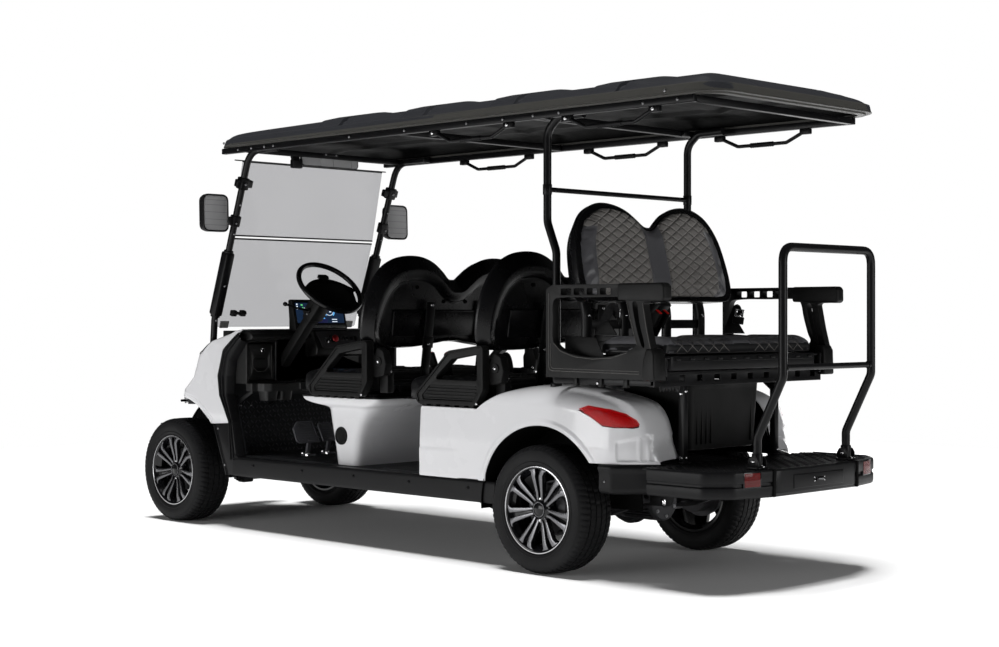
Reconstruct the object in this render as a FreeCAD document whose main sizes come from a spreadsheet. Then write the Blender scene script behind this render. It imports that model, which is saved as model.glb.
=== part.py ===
"""Six-seat golf cart with a rear-facing flip seat.

Millimetres.  +X points forward, +Y to the left side, +Z up.  The origin is on the ground, in the middle of
the overall length and width.  Positions along the cart are given from the rear axle or from the front axle,
so that the rear body, seats and step stay together, and so do the cowl, dash and windshield.
"""
import FreeCAD, Part
import math
import os

os.makedirs("parts", exist_ok=True)
doc = FreeCAD.newDocument("golf_cart")

# ---------------------------------------------------------------- driving sizes
SIZES = (
    # alias, value
    ("wheelbase", 2745),
    ("front_overhang", 440),
    ("rear_overhang", 1085),
    ("tyre_radius", 280),
    ("tyre_width", 205),
    ("rim_radius", 189.5),
    ("rim_width", 186),
    ("rim_flange", 8),
    ("rim_wall", 6),
    ("barrel_radius", 178),
    ("hub_radius", 32),
    ("spindle_radius", 18),
    ("running_clearance", 0.05),
    ("seat_gap", 0.3),
    ("front_wheel_y", 528),
    ("rear_wheel_y", 538),
    ("kingpin_y", 390),
    ("kingpin_radius", 10),
    ("spoke_count", 7),
    ("rail_y", 230),
    ("rail_width", 50),
    ("rail_height", 75),
    ("floor_top", 378),
    ("floor_thickness", 13),
    ("floor_half_width", 530),
    ("sill_width", 54),
    ("sill_bottom", 277),
    ("body_half_width", 600),
    ("cowl_half_width", 588),
    ("shell_wall", 16),
    ("body_top", 700),
    ("arch_radius", 362),
    ("front_arch_radius", 405),
    ("well_inner_y", 262),
    ("pod_half_width", 515),
    ("pod_top", 716),
    ("cushion_thickness", 92),
    ("cushion_half_width", 535),
    ("back_half_width", 598),
    ("back_thickness", 96),
    ("back_hump_y", 285),
    ("back_hump_top", 1415),
    ("back_valley_top", 1309),
    ("back_bottom", 962),
    ("seat_pitch", 794),
    ("rear_back_lean", 14),
    ("front_back_lean", 8),
    ("rear_cushion_top", 1035),
    ("rear_deck_half_width", 520),
    ("rear_cushion_half_width", 540),
    ("hinge_pin_radius", 6),
    ("rear_frame_bottom", 830),
    ("rear_frame_height", 60),
    ("bin_half_width", 245),
    ("bin_wall", 5),
    ("bin_bottom", 540),
    ("step_top", 497),
    ("step_height", 112),
    ("step_wall", 14),
    ("tube_radius", 18),
    ("grab_bar_y", 321),
    ("grab_bar_top", 1395),
    ("grab_bar_cross", 910),
    ("roof_half_width", 615),
    ("roof_bottom", 2005),
    ("roof_lip", 46),
    ("roof_rise", 130),
    ("roof_front_corner", 90),
    ("roof_wall", 14),
    ("roof_rear_reach", 950),
    ("roof_rail_y", 570),
    ("roof_rail_size", 30),
    ("pillar_y", 520),
    ("rear_pillar_y", 492),
    ("glass_thickness", 5),
    ("glass_half_width", 492),
    ("dash_half_width", 530),
    ("dash_bottom", 760),
    ("dash_top", 1040),
    ("column_y", 270),
    ("steering_wheel_radius", 178),
    ("steering_rim_radius", 13),
    ("column_angle", 46),
    ("column_radius", 22),
    ("cup_radius", 38),
    ("cup_depth", 90),
    ("cup_inner_y", 335),
    ("cup_outer_y", 465),
    ("dash_face_reach", 545),
    ("display_width", 360),
    ("display_y", 70),
    ("bumper_half_width", 400),
    ("bumper_bottom", 330),
    ("bumper_height", 176),
    ("steering_reach", 915),
    ("steering_z", 1265),
    ("seat_pan_thickness", 22),
    ("seat_post_y", 190),
    ("seat_arm_inner_y", 545),
    ("seat_arm_outer_y", 590),
    ("rear_arm_inner_y", 598),
    ("rear_arm_outer_y", 640),
    ("rear_hinge_reach", 640),
    ("rear_hinge_z", 945),
    ("rear_back_top", 1626),
    ("rear_back_valley", 1520),
)
sheet = doc.addObject("Spreadsheet::Sheet", "Sizes")
for row, (alias, value) in enumerate(SIZES, start=1):
    sheet.set("A%d" % row, alias)
    sheet.set("B%d" % row, str(value))
    sheet.setAlias("B%d" % row, alias)
doc.recompute()


def size(alias):
    """Value of a named cell."""
    return float(getattr(sheet, alias))


REAR_AXLE = (size("rear_overhang") - size("wheelbase") - size("front_overhang")) / 2
FRONT_AXLE = REAR_AXLE + size("wheelbase")
AXLE_Z = size("tyre_radius")
GAP = size("seat_gap")
nodes = []


def rx(distance):
    """X of a point given forward of the rear axle."""
    return REAR_AXLE + distance


def fx(distance):
    """X of a point given forward of the front axle."""
    return FRONT_AXLE + distance


# ---------------------------------------------------------------- shape helpers
def vec(x, y, z):
    return FreeCAD.Vector(x, y, z)


def wire_of(points):
    """Closed wire through 3-D points."""
    return Part.makePolygon(list(points) + [points[0]])


def prism_xz(points, low_y, high_y):
    """Side outline (x, z) extruded across the cart."""
    face = Part.Face(wire_of([vec(x, low_y, z) for x, z in points]))
    return face.extrude(vec(0, high_y - low_y, 0))


def prism_xy(points, low_z, high_z):
    """Plan outline (x, y) extruded upwards."""
    face = Part.Face(wire_of([vec(x, y, low_z) for x, y in points]))
    return face.extrude(vec(0, 0, high_z - low_z))


def prism_yz(points, low_x, high_x):
    """Front outline (y, z) extruded along the cart."""
    face = Part.Face(wire_of([vec(low_x, y, z) for y, z in points]))
    return face.extrude(vec(high_x - low_x, 0, 0))


def block(low_x, high_x, low_y, high_y, low_z, high_z):
    """Box between its limits."""
    return Part.makeBox(high_x - low_x, high_y - low_y, high_z - low_z, vec(low_x, low_y, low_z))


def cylinder_y(x, z, radius, low_y, high_y):
    """Round bar across the cart."""
    return Part.makeCylinder(radius, high_y - low_y, vec(x, low_y, z), vec(0, 1, 0))


def cylinder_z(x, y, radius, low_z, high_z):
    """Upright round bar."""
    return Part.makeCylinder(radius, high_z - low_z, vec(x, y, low_z), vec(0, 0, 1))


def both_sides(shape):
    """A shape and its mirror image in the cart's middle plane."""
    return [shape, shape.mirror(vec(0, 0, 0), vec(0, 1, 0))]


def fused(shapes):
    """One shape out of touching ones, with its shared faces joined."""
    result = shapes[0]
    if len(shapes) > 1:
        result = result.multiFuse(shapes[1:])
    return result.removeSplitter()


def tube(points, radius, bend):
    """Round tube along straight runs joined by tangent arcs."""
    edges = []
    start = points[0]
    for before, corner, after in zip(points, points[1:], points[2:]):
        to_before = (before - corner).normalize()
        to_after = (after - corner).normalize()
        half = to_before.getAngle(to_after) / 2
        reach = bend / math.tan(half)
        first = corner + to_before * reach
        last = corner + to_after * reach
        inward = (to_before + to_after).normalize()
        middle = corner + inward * (bend / math.sin(half) - bend)
        edges.append(Part.LineSegment(start, first).toShape())
        edges.append(Part.Arc(first, middle, last).toShape())
        start = last
    edges.append(Part.LineSegment(start, points[-1]).toShape())
    path = Part.Wire(edges)
    direction = points[1] - points[0]
    section = Part.Wire([Part.makeCircle(radius, points[0], direction)])
    pipe = Part.BRepOffsetAPI.MakePipeShell(path)
    pipe.add(section)
    pipe.build()
    pipe.makeSolid()
    return pipe.shape()


# ---------------------------------------------------------------- document helpers
def keep(obj, label):
    """Mark an object as a sub-part of the cart."""
    obj.Label = label
    nodes.append(obj)
    return obj


def feature(label, shapes, placement=None):
    """Sub-part whose shape is worked out here from the sheet."""
    obj = doc.addObject("Part::Feature", label)
    obj.Shape = shapes[0] if len(shapes) == 1 else Part.makeCompound(shapes)
    if placement is not None:
        obj.Placement = placement
    return keep(obj, label)


def origin_plane(body, role):
    return next(item for item in body.Origin.OriginFeatures if item.Role == role)


def draw_loop(sketch, points):
    """Closed loop of straight lines in a sketch."""
    corners = [vec(x, y, 0) for x, y in points]
    for start, end in zip(corners, corners[1:] + corners[:1]):
        sketch.addGeometry(Part.LineSegment(start, end), False)


def sketch_on(body, role, name, loops):
    sketch = body.newObject("Sketcher::SketchObject", name)
    sketch.AttachmentSupport = [(origin_plane(body, role), "")]
    sketch.MapMode = "FlatFace"
    for points in loops:
        draw_loop(sketch, points)
    return sketch


def side_panel(label, loops, width, centre="0"):
    """Body drawn in side view and padded to both sides of its own middle plane."""
    body = doc.addObject("PartDesign::Body", label)
    sketch = sketch_on(body, "XZ_Plane", label + "_outline", loops)
    pad = body.newObject("PartDesign::Pad", label + "_pad")
    pad.Profile = sketch
    pad.Midplane = True
    pad.setExpression("Length", width)
    sketch.Visibility = False
    body.setExpression("Placement.Base.y", centre)
    return body


def grouped(label, members):
    """Sub-part made of like pieces that don't touch."""
    doc.recompute()
    compound = doc.addObject("Part::Compound", label)
    compound.Links = members
    return keep(compound, label)


# ---------------------------------------------------------------- chassis
def chassis_frame():
    inner = size("rail_y") - size("rail_width") / 2
    outer = size("rail_y") + size("rail_width") / 2
    low_top = size("floor_top") - size("floor_thickness")
    low_bottom = low_top - size("rail_height")
    rear_top = size("step_top") - size("step_wall")
    rear_bottom = rear_top - 60
    front_bottom = 400
    front_top = 460
    rear_join = rx(350)
    front_join = fx(-420)
    joint_length = 60
    pieces = []
    rail_runs = (
        # low x, high x, low z, high z
        (rear_join, front_join, low_bottom, low_top),
        (rear_join - joint_length, rear_join, low_bottom, rear_top),
        (rx(-965), rear_join, rear_bottom, rear_top),
        (front_join, front_join + joint_length, low_bottom, front_top),
        (front_join, fx(373), front_bottom, front_top),
    )
    for low_x, high_x, low_z, high_z in rail_runs:
        pieces += both_sides(block(low_x, high_x, inner, outer, low_z, high_z))
    cross_members = (
        # middle x, width, low z, high z
        (rx(-940), 50, rear_bottom, rear_top),
        (rx(320), 60, low_bottom, rear_top),
        (rx(1330), 60, low_bottom, low_top),
        (fx(-600), 60, low_bottom, low_top),
        (fx(353), 40, front_bottom, front_top),
    )
    for middle, width, low_z, high_z in cross_members:
        pieces.append(block(middle - width / 2, middle + width / 2, -inner, inner, low_z, high_z))
    pieces.append(block(rx(-610), rx(-545), -342, 342, rear_bottom, rear_top))
    reach = size("floor_half_width") + GAP
    for middle in (rx(440), rx(1330), fx(-600)):
        pieces += both_sides(block(middle - 30, middle + 30, outer, reach, low_bottom, low_top))
    return feature("chassis_frame", [fused(pieces)])


def floor_pan():
    top = size("floor_top")
    bottom = top - size("floor_thickness")
    rise_x = fx(-466)
    wall_x = fx(-351)
    thickness = size("floor_thickness")
    toe_top = 711
    start_x = rx(350 + GAP)
    outline = [
        (start_x, bottom), (rise_x + 9, bottom), (wall_x + thickness, toe_top - 5),
        (wall_x + thickness, size("dash_bottom")), (wall_x, size("dash_bottom")), (wall_x, toe_top),
        (rise_x, top), (start_x, top),
    ]
    keep(side_panel("floor_pan", [outline], "2 * Sizes.floor_half_width"), "floor_pan")


def sills():
    outline = [(rx(300), size("sill_bottom")), (fx(-546), size("sill_bottom")), (fx(-546), size("floor_top")),
               (rx(300), size("floor_top"))]
    grouped("sills", [
        side_panel(side + "_sill", [outline], "Sizes.sill_width",
                   sign + "(Sizes.floor_half_width + Sizes.seat_gap + Sizes.sill_width / 2)")
        for side, sign in (("left", ""), ("right", "-"))])


# ---------------------------------------------------------------- cowl, bumper and dash
# The cowl's edge at the door, from the top down: distance from the front axle, height.
DOOR_EDGE = ((-539, 1024), (-419, 941), (-371, 802), (-385, 697), (-460, 565))
# The inside edge of the black door surround, from the bottom up.
SURROUND_INSIDE = ((-546, 378), (-447, 711), (-460, 880), (-555, 985), (-595, 1000))
COWL_SECTIONS = (
    # height, end of the side, corner x, corner y, nose x, nose half width
    (545, -55, 185, 345, 372, 110),
    (720, -63, 180, 340, 362, 110),
    (790, -155, 130, 330, 300, 110),
    (915, -198, 15, 320, 130, 120),
    (985, -300, -120, 300, -40, 130),
    (1038, -480, -400, 280, -330, 140),
)


def cowl_loft(inset):
    """Solid between plan sections of the cowl, drawn in by a wall."""
    rear = fx(-539) - 60 * (inset > 0)
    half = size("cowl_half_width") - inset
    wires = []
    for height, side_end, corner_x, corner_y, nose_x, nose_y in COWL_SECTIONS:
        lowest = height == COWL_SECTIONS[0][0]
        level = height - (20 * (inset > 0) if lowest else inset)
        narrow = 22 if height > 1000 else 0
        left = [
            (rear, half - narrow), (fx(side_end) - inset, half - narrow),
            (fx(corner_x) - inset, corner_y - inset * 0.4), (fx(nose_x) - inset, nose_y),
        ]
        right = [(x, -y) for x, y in reversed(left)]
        wires.append(wire_of([vec(x, y, level) for x, y in left + right]))
    return Part.makeLoft(wires, True, True)


def headlight_block(grow):
    """Lamp set into the cowl's front corner, seen in plan."""
    outline = [(fx(-40) - grow, 545 + 2 * grow), (fx(215) + 2 * grow, 290 - grow), (fx(120), 235 - 2 * grow),
               (fx(-100) - 2 * grow, 470)]
    return prism_xy(outline, 640 - grow, 716 + grow)


def front_cowl():
    outer = cowl_loft(0)
    shell = outer.cut(cowl_loft(size("shell_wall")))
    half = size("cowl_half_width") + 5
    well = cylinder_y(FRONT_AXLE, AXLE_Z, size("front_arch_radius"), size("well_inner_y"), half)
    edge = [(fx(x), z) for x, z in DOOR_EDGE]
    behind_edge = edge + [(fx(-326), 545 + GAP), (fx(-326), 500), (fx(-640), 500), (fx(-640), 1080),
                          (fx(-539), 1080)]
    door_side = prism_xz(behind_edge, size("dash_half_width") + GAP, half)
    for cutter in both_sides(well) + both_sides(door_side):
        shell = shell.cut(cutter)
    cabin = block(fx(-640), fx(-338), -size("dash_half_width") - GAP, size("dash_half_width") + GAP, 500,
                  size("dash_top") - 2)
    shell = shell.cut(cabin)
    for lamp in both_sides(headlight_block(GAP)):
        shell = shell.cut(lamp)
    shell = max(shell.Solids, key=lambda solid: solid.Volume)
    feature("front_cowl", [shell])
    lamps = [lamp.common(outer).cut(well_side) for lamp, well_side in
             zip(both_sides(headlight_block(0)), both_sides(well))]
    feature("headlights", [max(lamp.Solids, key=lambda solid: solid.Volume) for lamp in lamps])
    return outer


def door_surrounds():
    outline = [(fx(-595), 1038)] + [(fx(x), z) for x, z in DOOR_EDGE]
    outline += [(fx(-326), 545), (fx(-445), size("sill_bottom")), (fx(-546) + GAP, size("sill_bottom"))]
    outline += [(fx(x) + GAP, z) for x, z in SURROUND_INSIDE]
    grouped("door_surrounds", [
        side_panel(side + "_surround", [outline],
                   "Sizes.cowl_half_width - Sizes.floor_half_width - Sizes.seat_gap",
                   sign + "(Sizes.cowl_half_width + Sizes.floor_half_width + Sizes.seat_gap) / 2")
        for side, sign in (("left", ""), ("right", "-"))])


def front_bumper():
    """Bumper with a bowed front and a flat back."""
    half = size("bumper_half_width")
    flat = fx(373)
    nose = fx(size("front_overhang"))
    back = Part.LineSegment(vec(flat, -half, 0), vec(flat, half, 0)).toShape()
    sides = [Part.LineSegment(vec(flat, half, 0), vec(fx(405), half, 0)).toShape(),
             Part.LineSegment(vec(fx(405), -half, 0), vec(flat, -half, 0)).toShape()]
    bow = Part.Arc(vec(fx(405), half, 0), vec(nose, 0, 0), vec(fx(405), -half, 0)).toShape()
    face = Part.Face(Part.Wire([back, sides[0], bow, sides[1]]))
    face.translate(vec(0, 0, size("bumper_bottom")))
    feature("front_bumper", [face.extrude(vec(0, 0, size("bumper_height")))])


def dashboard():
    half = size("dash_half_width")
    low = size("dash_bottom")
    top = size("dash_top")
    face_x = fx(-size("dash_face_reach"))
    back_x = fx(-338)
    cup_x = fx(-603)
    column_y = size("column_y")
    pieces = [
        block(face_x, back_x, -half, half, low, top - 40),
        block(fx(-595), back_x, -half, half, top - 40, top),
        block(fx(-645), face_x, -190, 135, 905, top),
    ]
    tray_low = low - 14
    pieces += both_sides(block(fx(-660), face_x + 20, column_y + 8, half, tray_low, low))
    cups = []
    for cup_y in (size("cup_inner_y"), size("cup_outer_y")):
        cups += both_sides(cylinder_z(cup_x, cup_y, size("cup_radius") + 6, low - size("cup_depth") - 6, low))
    body = fused(pieces + cups)
    for cup_y in (size("cup_inner_y"), size("cup_outer_y")):
        bore = cylinder_z(cup_x, cup_y, size("cup_radius"), low - size("cup_depth"), low + 5)
        for cutter in both_sides(bore):
            body = body.cut(cutter)
    column_slot = block(face_x - 1, fx(-445), column_y - 55, column_y + 52, low - 1, top - 40)
    glovebox = block(face_x - 1, fx(-370), column_y + 66, half - 15, low + 15, top - 62)
    right_shelf = block(face_x - 1, fx(-370), -half + 15, -column_y + 25, low + 15, top - 62)
    for cutter in (column_slot, glovebox, right_shelf):
        body = body.cut(cutter)
    feature("dashboard", [body.removeSplitter()])
    door = block(face_x + 3, face_x + 13, column_y + 66 + 5, half - 15 - 5, low + 15 + 0.5, top - 62 - 5)
    feature("glovebox_door", [door])


def dash_display():
    top = size("dash_top")
    outline = [(fx(-605), top), (fx(-555), top), (fx(-540), 1206), (fx(-568), 1206)]
    keep(side_panel("dash_display", [outline], "Sizes.display_width", "Sizes.display_y"), "dash_display")


def pedals():
    shapes = []
    floor = size("floor_top")
    for low_y, high_y, lean in ((235, 365, 0), (95, 185, 30)):
        middle = (low_y + high_y) / 2
        pad = prism_xz([(fx(-790 + lean), 452), (fx(-783 + lean), 446), (fx(-648 + lean), 538),
                        (fx(-655 + lean), 546)], low_y, high_y)
        stalk = prism_xz([(fx(-745 + lean), floor), (fx(-715 + lean), floor), (fx(-700 + lean), 503),
                          (fx(-720 + lean), 489)], middle - 12, middle + 12)
        shapes.append(fused([pad, stalk]))
    feature("pedals", shapes)


# ---------------------------------------------------------------- steering
def steering_placement():
    """Local +Z points up the column, towards the driver, from the wheel's centre."""
    centre = vec(fx(-size("steering_reach")), size("column_y"), size("steering_z"))
    tilt = FreeCAD.Rotation(vec(0, 1, 0), size("column_angle") - 90)
    return FreeCAD.Placement(centre, tilt)


def steering():
    place = steering_placement()
    rim_r = size("steering_wheel_radius")
    grip = size("steering_rim_radius")
    ring = Part.makeTorus(rim_r, grip)
    hub = Part.makeCylinder(46, 34, vec(0, 0, -40))
    boss = Part.makeCylinder(30, 22, vec(0, 0, -61.7))
    spokes = []
    for angle in (90, 210, 330):
        spoke = Part.makeBox(rim_r - 30, 34, 9, vec(30, -17, -22))
        spoke.rotate(vec(0, 0, 0), vec(0, 0, 1), angle)
        spokes.append(spoke)
    clip = Part.makeBox(120, 86, 6, vec(-60, -43, -6))
    wheel = fused([ring, hub, boss, clip] + spokes)
    feature("steering_wheel", [wheel], place)

    shroud = Part.makeCylinder(48, 150, vec(0, 0, -62 - 150))
    column = Part.makeCylinder(size("column_radius"), 650, vec(0, 0, -62 - 650))
    stalk = Part.makeCylinder(7, 135, vec(0, 0, -120), vec(0, 1, 0))
    turned = fused([shroud, column, stalk])
    turned.Placement = place
    wall = block(fx(-445), fx(-100), 0, 600, 400, 1200)
    feature("steering_column", [turned.cut(wall)])


# ---------------------------------------------------------------- pillars, windshield and roof
def pillars(cowl_outer):
    y = size("pillar_y")
    radius = size("tube_radius")
    rail_low = size("roof_bottom") - size("roof_rail_size")
    posts = []
    for sign in (1, -1):
        route = [vec(fx(-234), sign * y, 930), vec(fx(-248), sign * y, 1105), vec(fx(-480), sign * y, 1760),
                 vec(fx(-574.6), sign * y, rail_low + 30)]
        post = tube(route, radius, 120).cut(cowl_outer)
        rail_cut = block(fx(-700), fx(-300), -700, 700, rail_low, rail_low + 60)
        post = post.cut(rail_cut)
        clamps = []
        for clamp_z, post_x, glass_x in ((1245, -291, -270), (1819, -498, -440)):
            middle_y = sign * (size("glass_half_width") + 14)
            clamps.append(block(fx(post_x), fx(glass_x) + 25, middle_y - 14, middle_y + 12,
                                clamp_z - 14, clamp_z + 14))
        posts.append(max(fused([post] + clamps).Solids, key=lambda item: item.Volume))
    feature("front_pillars", posts)


# Windshield panes in side view: bottom x, bottom z, top x, top z, from the front axle.
PANES = (
    ("windshield_lower", -216, 1060, -371, 1538),
    ("windshield_upper", -373, 1544, -461, 1943),
)


def windshield():
    thickness = size("glass_thickness")
    panes = []
    for label, low_x, low_z, high_x, high_z in PANES:
        outline = [(fx(low_x), low_z), (fx(low_x) + thickness, low_z), (fx(high_x) + thickness, high_z),
                   (fx(high_x), high_z)]
        panes.append(side_panel(label, [outline], "2 * Sizes.glass_half_width"))
    grouped("windshield", panes)


def mirrors():
    shapes = []
    for sign in (1, -1):
        face = [(fx(-428), 1752), (fx(-393), 1762), (fx(-360), 1572), (fx(-393), 1562)]
        low_y, high_y = sorted((sign * 557, sign * 720))
        shell = prism_xz(face, low_y, high_y)
        arm_y = sorted((sign * (size("pillar_y") + size("tube_radius") + GAP), sign * 562))
        arm = block(fx(-455), fx(-395), arm_y[0], arm_y[1], 1640, 1664)
        shapes.append(fused([shell, arm]))
    rail_low = size("roof_bottom") - size("roof_rail_size")
    pane = prism_xz([(fx(-600), 1905), (fx(-575), 1905), (fx(-570), 1962), (fx(-597), 1962)], -200, 200)
    stem = block(fx(-590), fx(-574), -12, 12, 1955, rail_low)
    shapes.append(fused([pane, stem]))
    feature("mirrors", shapes)


def roof():
    half = size("roof_half_width")
    low = size("roof_bottom")
    front = fx(-300)
    rear = rx(-size("roof_rear_reach"))
    levels = (
        # rise from the lip's bottom, draw-in at the front, at the rear and at the sides, corner
        (0, 0, 0, 0, 150),
        (size("roof_lip"), 5, 5, 5, 150),
        (76, 70, 40, 60, 140),
        (102, 400, 66, 170, 120),
        (size("roof_rise"), 1000, 100, 270, 100),
    )

    def solid(inset):
        wires = []
        for rise, draw_front, draw_rear, draw_side, corner in levels:
            high_x = front - draw_front - inset
            low_x = rear + draw_rear + inset
            y = half - draw_side - inset
            level = low + rise - inset
            front_corner = corner + size("roof_front_corner")
            left = [(low_x, y - corner), (low_x + corner, y), (high_x - front_corner, y),
                    (high_x, y - front_corner)]
            right = [(x, -v) for x, v in reversed(left)]
            wires.append(wire_of([vec(x, v, level) for x, v in left + right]))
        return Part.makeLoft(wires, True, True)

    shell = solid(0).cut(solid(size("roof_wall")))
    feature("roof", [shell])


def canopy_frame(body_solid):
    """Roof rails, their cross bars and the rear pillars."""
    rail = size("roof_rail_size")
    low = size("roof_bottom") - rail
    y = size("roof_rail_y")
    front = fx(-400)
    rear = rx(-820)
    high = size("roof_bottom")
    pieces = both_sides(block(rear, front, y - rail / 2, y + rail / 2, low, high))
    inner = y - rail / 2
    for middle in (rear + 15, rx(64), rx(960), fx(-582)):
        pieces.append(block(middle - rail / 2, middle + rail / 2, -inner, inner, low, high))
    posts = []
    for sign in (1, -1):
        pillar_y = sign * size("rear_pillar_y")
        route = [vec(rx(64), pillar_y, low), vec(rx(64), pillar_y, 1530), vec(rx(10), pillar_y, 1400),
                 vec(rx(10), pillar_y, 800)]
        post = tube(route, size("tube_radius"), 90).cut(body_solid)
        posts.append(max(post.Solids, key=lambda item: item.Volume))
    cross = cylinder_y(rx(64), 1674, 11, -size("rear_pillar_y"), size("rear_pillar_y"))
    feature("canopy_frame", [fused(pieces + posts + [cross])])


def roof_handles():
    rail_low = size("roof_bottom") - size("roof_rail_size")
    y = size("roof_rail_y")
    radius = 9
    shapes = []
    handles = (
        # side, front foot, rear foot, from the rear axle
        (1, 707, 225), (1, -127, -611), (-1, 1685, 1192), (-1, 768, 281), (-1, -72, -562),
    )
    for sign, front, rear in handles:
        bar_z = 1920
        route = [vec(rx(front), sign * y, rail_low), vec(rx(front), sign * y, rail_low - 12),
                 vec(rx(front - 107), sign * y, bar_z), vec(rx(rear + 107), sign * y, bar_z),
                 vec(rx(rear), sign * y, rail_low - 12), vec(rx(rear), sign * y, rail_low)]
        shapes.append(tube(route, radius, 11))
    feature("roof_handles", shapes)


# ---------------------------------------------------------------- front and middle seats
def front_seat_pod():
    """Moulded seat base: a pedestal that flares to a flat top."""
    top = size("pod_top")
    floor = size("floor_top")
    outline = [
        (rx(1517), floor), (rx(1560), 560), (rx(1600), 655), (rx(1700), 672), (rx(1760), 700),
        (rx(1760), top), (rx(1170), top), (rx(1170), 690), (rx(1240), 660), (rx(1300), 600),
        (rx(1340), 500), (rx(1352), floor),
    ]
    inside = [
        (rx(1500), floor + 14), (rx(1540), 560), (rx(1585), 664), (rx(1690), top - 22), (rx(1225), top - 22),
        (rx(1315), 605), (rx(1355), 500), (rx(1366), floor + 14),
    ]
    half = size("pod_half_width")
    wall = 14
    shell = prism_xz(outline, -half, half).cut(prism_xz(inside, -half + wall, half - wall))
    feature("front_seat_pod", [shell])


def seat_back(lean, place_x, outline_top):
    """Backrest with two humps, drawn in front view and leant."""
    hump_y = size("back_hump_y")
    half = size("back_half_width")
    hump = outline_top
    valley = hump - size("back_hump_top") + size("back_valley_top")
    low = size("back_bottom")
    left = [(0, valley), (120, hump - 50), (hump_y - 60, hump), (hump_y + 90, hump - 12),
            (half - 70, hump - 90), (half - 8, 1250), (half, 1075), (half - 63, low + 38), (half - 158, low)]
    right = [(-y, z) for y, z in reversed(left[1:])]
    thickness = size("back_thickness")
    solid = prism_yz(left + right, -thickness / 2, thickness / 2)
    solid.rotate(vec(0, 0, low), vec(0, 1, 0), lean)
    solid.translate(vec(place_x, 0, 0))
    return solid


# Middle of the front backrest at its lower edge, from the rear axle.
BACK_X = 1228


def seat_frame(offset, base_z, body_solid):
    """Pan under a cushion with two flat posts that carry the backrest, clear of the rear body."""
    lean = math.radians(size("front_back_lean"))
    rise = size("back_bottom") - base_z
    pan = size("seat_pan_thickness")
    post_half = 27
    post_thickness = 10
    back_rear = BACK_X + offset - size("back_thickness") / 2 / math.cos(lean)
    foot_x = back_rear + rise * math.tan(lean) - post_thickness / math.cos(lean) - GAP
    pieces = [block(rx(foot_x), rx(1690 + offset), -500, 500, base_z, base_z + pan)]
    for y in (size("seat_post_y"), -size("seat_post_y")):
        post = block(rx(foot_x), rx(foot_x) + post_thickness, y - post_half, y + post_half, base_z + 2,
                     base_z + 480)
        post.rotate(vec(rx(foot_x), y, base_z), vec(0, 1, 0), -size("front_back_lean"))
        pieces.append(post)
    frame = fused(pieces).cut(body_solid)
    return max(frame.Solids, key=lambda solid: solid.Volume)


def seats(body_solid):
    pitch = size("seat_pitch")
    lean = -size("front_back_lean")
    pod_top = size("pod_top")
    arm_inner = size("seat_arm_inner_y")
    arm_outer = size("seat_arm_outer_y")
    frames, backs, cushions, arms = [], [], [], []
    for offset, base_z in ((0, pod_top + GAP), (-pitch, size("body_top") + GAP)):
        frames.append(seat_frame(offset, base_z, body_solid))
        backs.append(seat_back(lean, rx(BACK_X + offset), size("back_hump_top")))
        cushion_low = base_z + size("seat_pan_thickness") + GAP
        high = cushion_low + size("cushion_thickness") + 25
        half = size("cushion_half_width")
        cushion = block(rx(1250 + offset), rx(1745 + offset), -half, half, cushion_low, high)
        cushion = cushion.makeFillet(18, [edge for edge in cushion.Edges if edge.BoundBox.ZMin > high - 1])
        cushions.append(cushion)
        outer = [(rx(1165 + offset), 1004), (rx(1390 + offset), 975), (rx(1616 + offset), 773),
                 (rx(1600 + offset), base_z + 10), (rx(1215 + offset), base_z + 10), (rx(1165 + offset), 800)]
        window = [(rx(1200 + offset), 968), (rx(1370 + offset), 940), (rx(1495 + offset), 838),
                  (rx(1195 + offset), 838)]
        arm = prism_xz(outer, arm_inner, arm_outer).cut(prism_xz(window, arm_inner - 5, arm_outer + 5))
        link = block(rx(1300 + offset), rx(1480 + offset), 500, arm_inner + 1, base_z, base_z + 20)
        arms += both_sides(fused([arm, link]))
    feature("seat_frames", frames)
    feature("seat_backs", backs)
    feature("seat_cushions", cushions)
    feature("seat_arms", arms)


# ---------------------------------------------------------------- rear body
# The rear body in side view, from the rear axle, clockwise from the front lower corner.
BODY_OUTLINE = ((785, 378.3), (768, 700), (409, 700), (347, 744), (276, 779), (162, 805), (27, 814),
                (-123, 806), (-270, 789), (-384, 765), (-447, 741), (-489, 694), (-516, 626), (-550, 498),
                (-290, 498), (300, 378.3))
BODY_HOLLOW = ((769, 300), (752, 684), (403, 684), (340, 729), (272, 763), (160, 789), (27, 798), (-123, 790),
               (-268, 773), (-378, 750), (-435, 729), (-474, 686), (-500, 622), (-534, 480), (-534, 300))
BAY_HALF = 340
BAY_FRONT = -110


def body_corner_cut(grow):
    """Everything behind the slanted rear corner of the body, in plan."""
    half = size("body_half_width")
    outline = [(rx(-395) - grow, half + 50), (rx(-395) - grow, half + grow), (rx(-552) - grow, 452 + grow),
               (rx(-700), 452 + grow), (rx(-700), half + 50)]
    return prism_xy(outline, 300, 900)


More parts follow.
